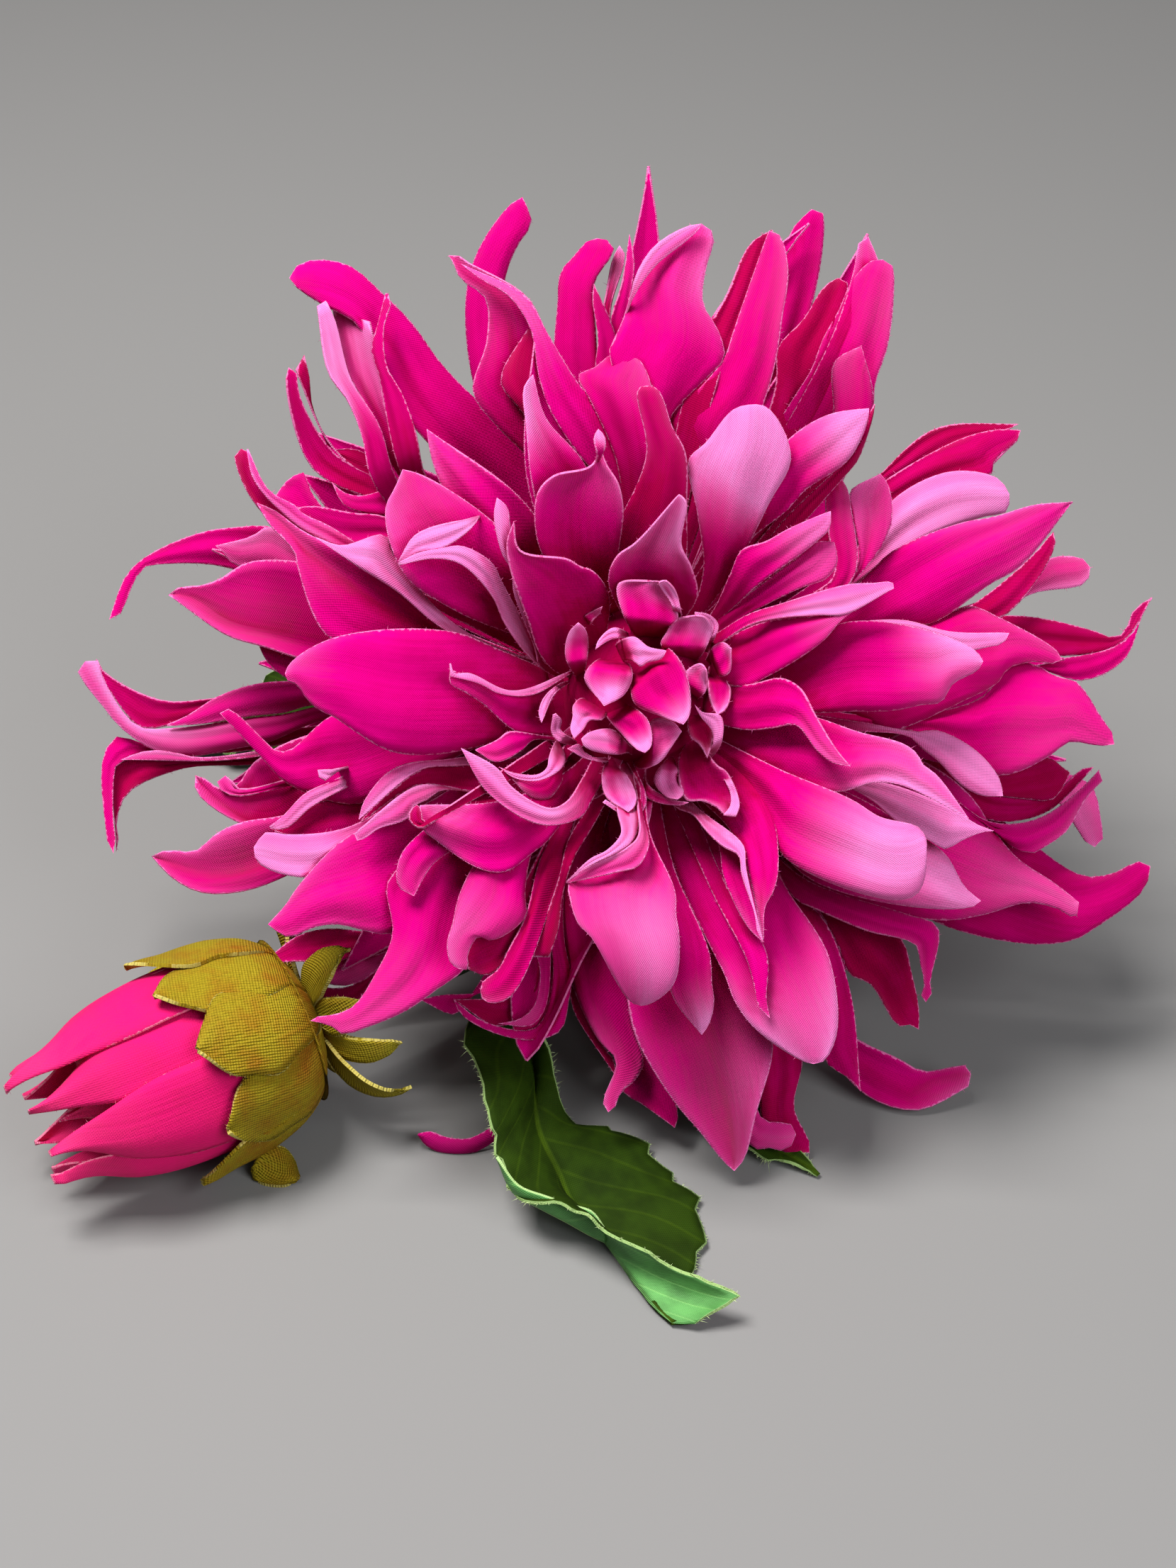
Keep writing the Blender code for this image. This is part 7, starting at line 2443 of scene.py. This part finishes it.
def leaf_cloth(name, face, vein, edge, rough, sheen, veins=1.0, shine=0.3):
    """Leaf fabric with a middle rib and slanting side veins."""
    made, tree, shader = new_material(name)
    place, _, _, blue = cloth_inputs(tree)
    x, y = split_place(tree, place)
    side = math_node(tree, "ABSOLUTE", x)
    slanted = math_node(tree, "SUBTRACT", y, math_node(tree, "MULTIPLY", side, VEIN_SLANT))
    wave = math_node(tree, "FRACT", math_node(tree, "DIVIDE", slanted, VEIN_STEP))
    off = math_node(tree, "ABSOLUTE", math_node(tree, "SUBTRACT", wave, 0.5))
    lines = math_node(tree, "MULTIPLY", map_range(tree, off, 0.02, 0.09, 1.0, 0.0), 0.55 * veins)
    both = math_node(tree, "MAXIMUM", lines, map_range(tree, side, 0.25, 0.8, 1.0, 0.0))
    blotch = map_range(tree, noise(tree, place, Scale=0.22, Detail=5.0), 0.3, 0.7, 0.7, 1.25)
    threads = weave_height(tree, place, LEAF_WEAVE, LEAF_WEAVE_SLANT)
    shade = math_node(tree, "MULTIPLY", blotch, map_range(tree, threads, -1.0, 1.0, 0.85, 1.1))
    colour = mixed(tree, 1.0, mixed(tree, both, face, vein), shade, "MULTIPLY")
    colour = mixed(tree, map_range(tree, blue, 0.0, 0.2, 0.8, 0.0), colour, edge)
    height = math_node(tree, "SUBTRACT", math_node(tree, "MULTIPLY", threads, 0.3), both)
    finish(tree, shader, colour, height, 0.5, 0.15)
    set_gloss(shader, rough, shine, sheen, vein)
    return made


def stem_plastic():
    """Moulded green plastic with fine mottling."""
    made, tree, shader = new_material("stem_plastic")
    place = tree.nodes.new("ShaderNodeTexCoord").outputs["Object"]
    mottle = noise(tree, place, Scale=160.0, Detail=5.0)
    fine = noise(tree, place, Scale=1400.0, Detail=3.0)
    dark, light = (0.012, 0.035, 0.008), (0.035, 0.085, 0.02)
    finish(tree, shader, mixed(tree, map_range(tree, mottle, 0.3, 0.7), dark, light), fine, 0.4, 0.1)
    rough = map_range(tree, mottle, 0.2, 0.8, 0.38, 0.6)
    tree.links.new(rough, shader.inputs["Roughness"])
    return made


def magenta_fabric():
    """The bloom's matt fabric, from a deep magenta root to a pale pink tip, its deep colour also serving as
    painted shade and its pale as painted highlight.
    """
    return fabric(
        "magenta_fabric",
        middle=(0.74, 0.0, 0.228),
        deep=(0.40, 0.0, 0.060),
        pale=(0.93, 0.40, 0.84),
        edge=(0.95, 0.30, 0.64),
        rough=0.7,
        sheen=0.015,
        shine=0.02,
    )


def crimson_satin():
    """The bud's satin."""
    return fabric(
        "crimson_satin",
        middle=(0.86, 0.006, 0.17),
        deep=(0.56, 0.0, 0.06),
        pale=(0.95, 0.20, 0.42),
        edge=(0.88, 0.34, 0.48),
        rough=0.6,
        sheen=0.06,
        patches=1.5,
    )


def olive_fabric():
    """The coarse olive fabric of the bud's sepals, browned where the glue has soaked in."""
    return fabric(
        "olive_fabric",
        middle=(0.33, 0.245, 0.010),
        deep=(0.30, 0.085, 0.005),
        pale=(0.36, 0.37, 0.03),
        edge=(0.62, 0.54, 0.16),
        rough=0.65,
        sheen=0.05,
        period=0.55,
        slant=30.0,
        through=0.15,
        coarse=2.5,
        patches=4.0,
    )


def leaf_materials():
    """The leaves' dark face, their paler underside and their pale threads."""
    return [
        leaf_cloth(
            "leaf_face",
            face=(0.013, 0.029, 0.001),
            vein=(0.030, 0.058, 0.002),
            edge=(0.30, 0.45, 0.16),
            rough=0.75,
            sheen=0.0,
            veins=0.6,
            shine=0.06,
        ),
        leaf_cloth(
            "leaf_under",
            face=(0.085, 0.260, 0.065),
            vein=(0.150, 0.360, 0.100),
            edge=(0.45, 0.62, 0.25),
            rough=0.5,
            sheen=0.1,
            shine=0.2,
        ),
        leaf_cloth(
            "leaf_fringe",
            face=(0.50, 0.62, 0.28),
            vein=(0.55, 0.66, 0.32),
            edge=(0.60, 0.72, 0.35),
            rough=0.7,
            sheen=0.0,
            veins=0.0,
        ),
    ]


def floor():
    """A plain pale floor."""
    data = bpy.data.meshes.new("floor")
    corners = [(x * FLOOR_HALF, y * FLOOR_HALF, 0.0) for x, y in ((-1, -1), (1, -1), (1, 1), (-1, 1))]
    data.from_pydata(corners, [], [(0, 1, 2, 3)])
    made = bpy.data.objects.new("floor", data)
    bpy.context.scene.collection.objects.link(made)
    plain, _, shader = new_material("floor")
    shader.inputs["Base Color"].default_value = FLOOR_COLOUR
    shader.inputs["Roughness"].default_value = FLOOR_ROUGHNESS
    data.materials.append(plain)


def lights():
    """Soft studio light from a window and a fill, and a dim sky."""
    world = bpy.data.worlds.new("studio")
    world.use_nodes = True
    background = world.node_tree.nodes["Background"]
    background.inputs["Color"].default_value = WORLD_COLOUR
    background.inputs["Strength"].default_value = WORLD_STRENGTH
    bpy.context.scene.world = world
    for row in LAMPS:
        light = bpy.data.lights.new(row.name, "AREA")
        light.size = row.size
        light.energy = row.power
        light.color = row.colour
        lamp = bpy.data.objects.new(row.name, light)
        lamp.location = row.place
        aim = Vector(HEART * MM) - Vector(row.place)
        lamp.rotation_euler = aim.to_track_quat("-Z", "Y").to_euler()
        bpy.context.scene.collection.objects.link(lamp)


def viewpoint():
    """The camera, square to the bloom's face, a little left of and below its heart."""
    camera = bpy.data.cameras.new("camera")
    camera.sensor_fit = "VERTICAL"
    camera.sensor_height = SENSOR
    camera.lens = FOCAL_PIXELS / FRAME_PIXELS * SENSOR
    camera.clip_start = CLIP_START
    view = bpy.data.objects.new("camera", camera)
    stand = Matrix(BLOOM_AXES).transposed().to_4x4()
    place = HEART - RIGHT * CAMERA_LEFT - FACE_UP * CAMERA_DOWN + OUTWARD * CAMERA_DISTANCE
    stand.translation = Vector(place * MM)
    view.matrix_world = stand
    bpy.context.scene.collection.objects.link(view)
    bpy.context.scene.camera = view
    bpy.context.scene.view_settings.view_transform = "Standard"


bloom(magenta_fabric())
bud(crimson_satin(), olive_fabric())
leaves(leaf_materials())
stem(stem_plastic())
floor()
lights()
viewpoint()
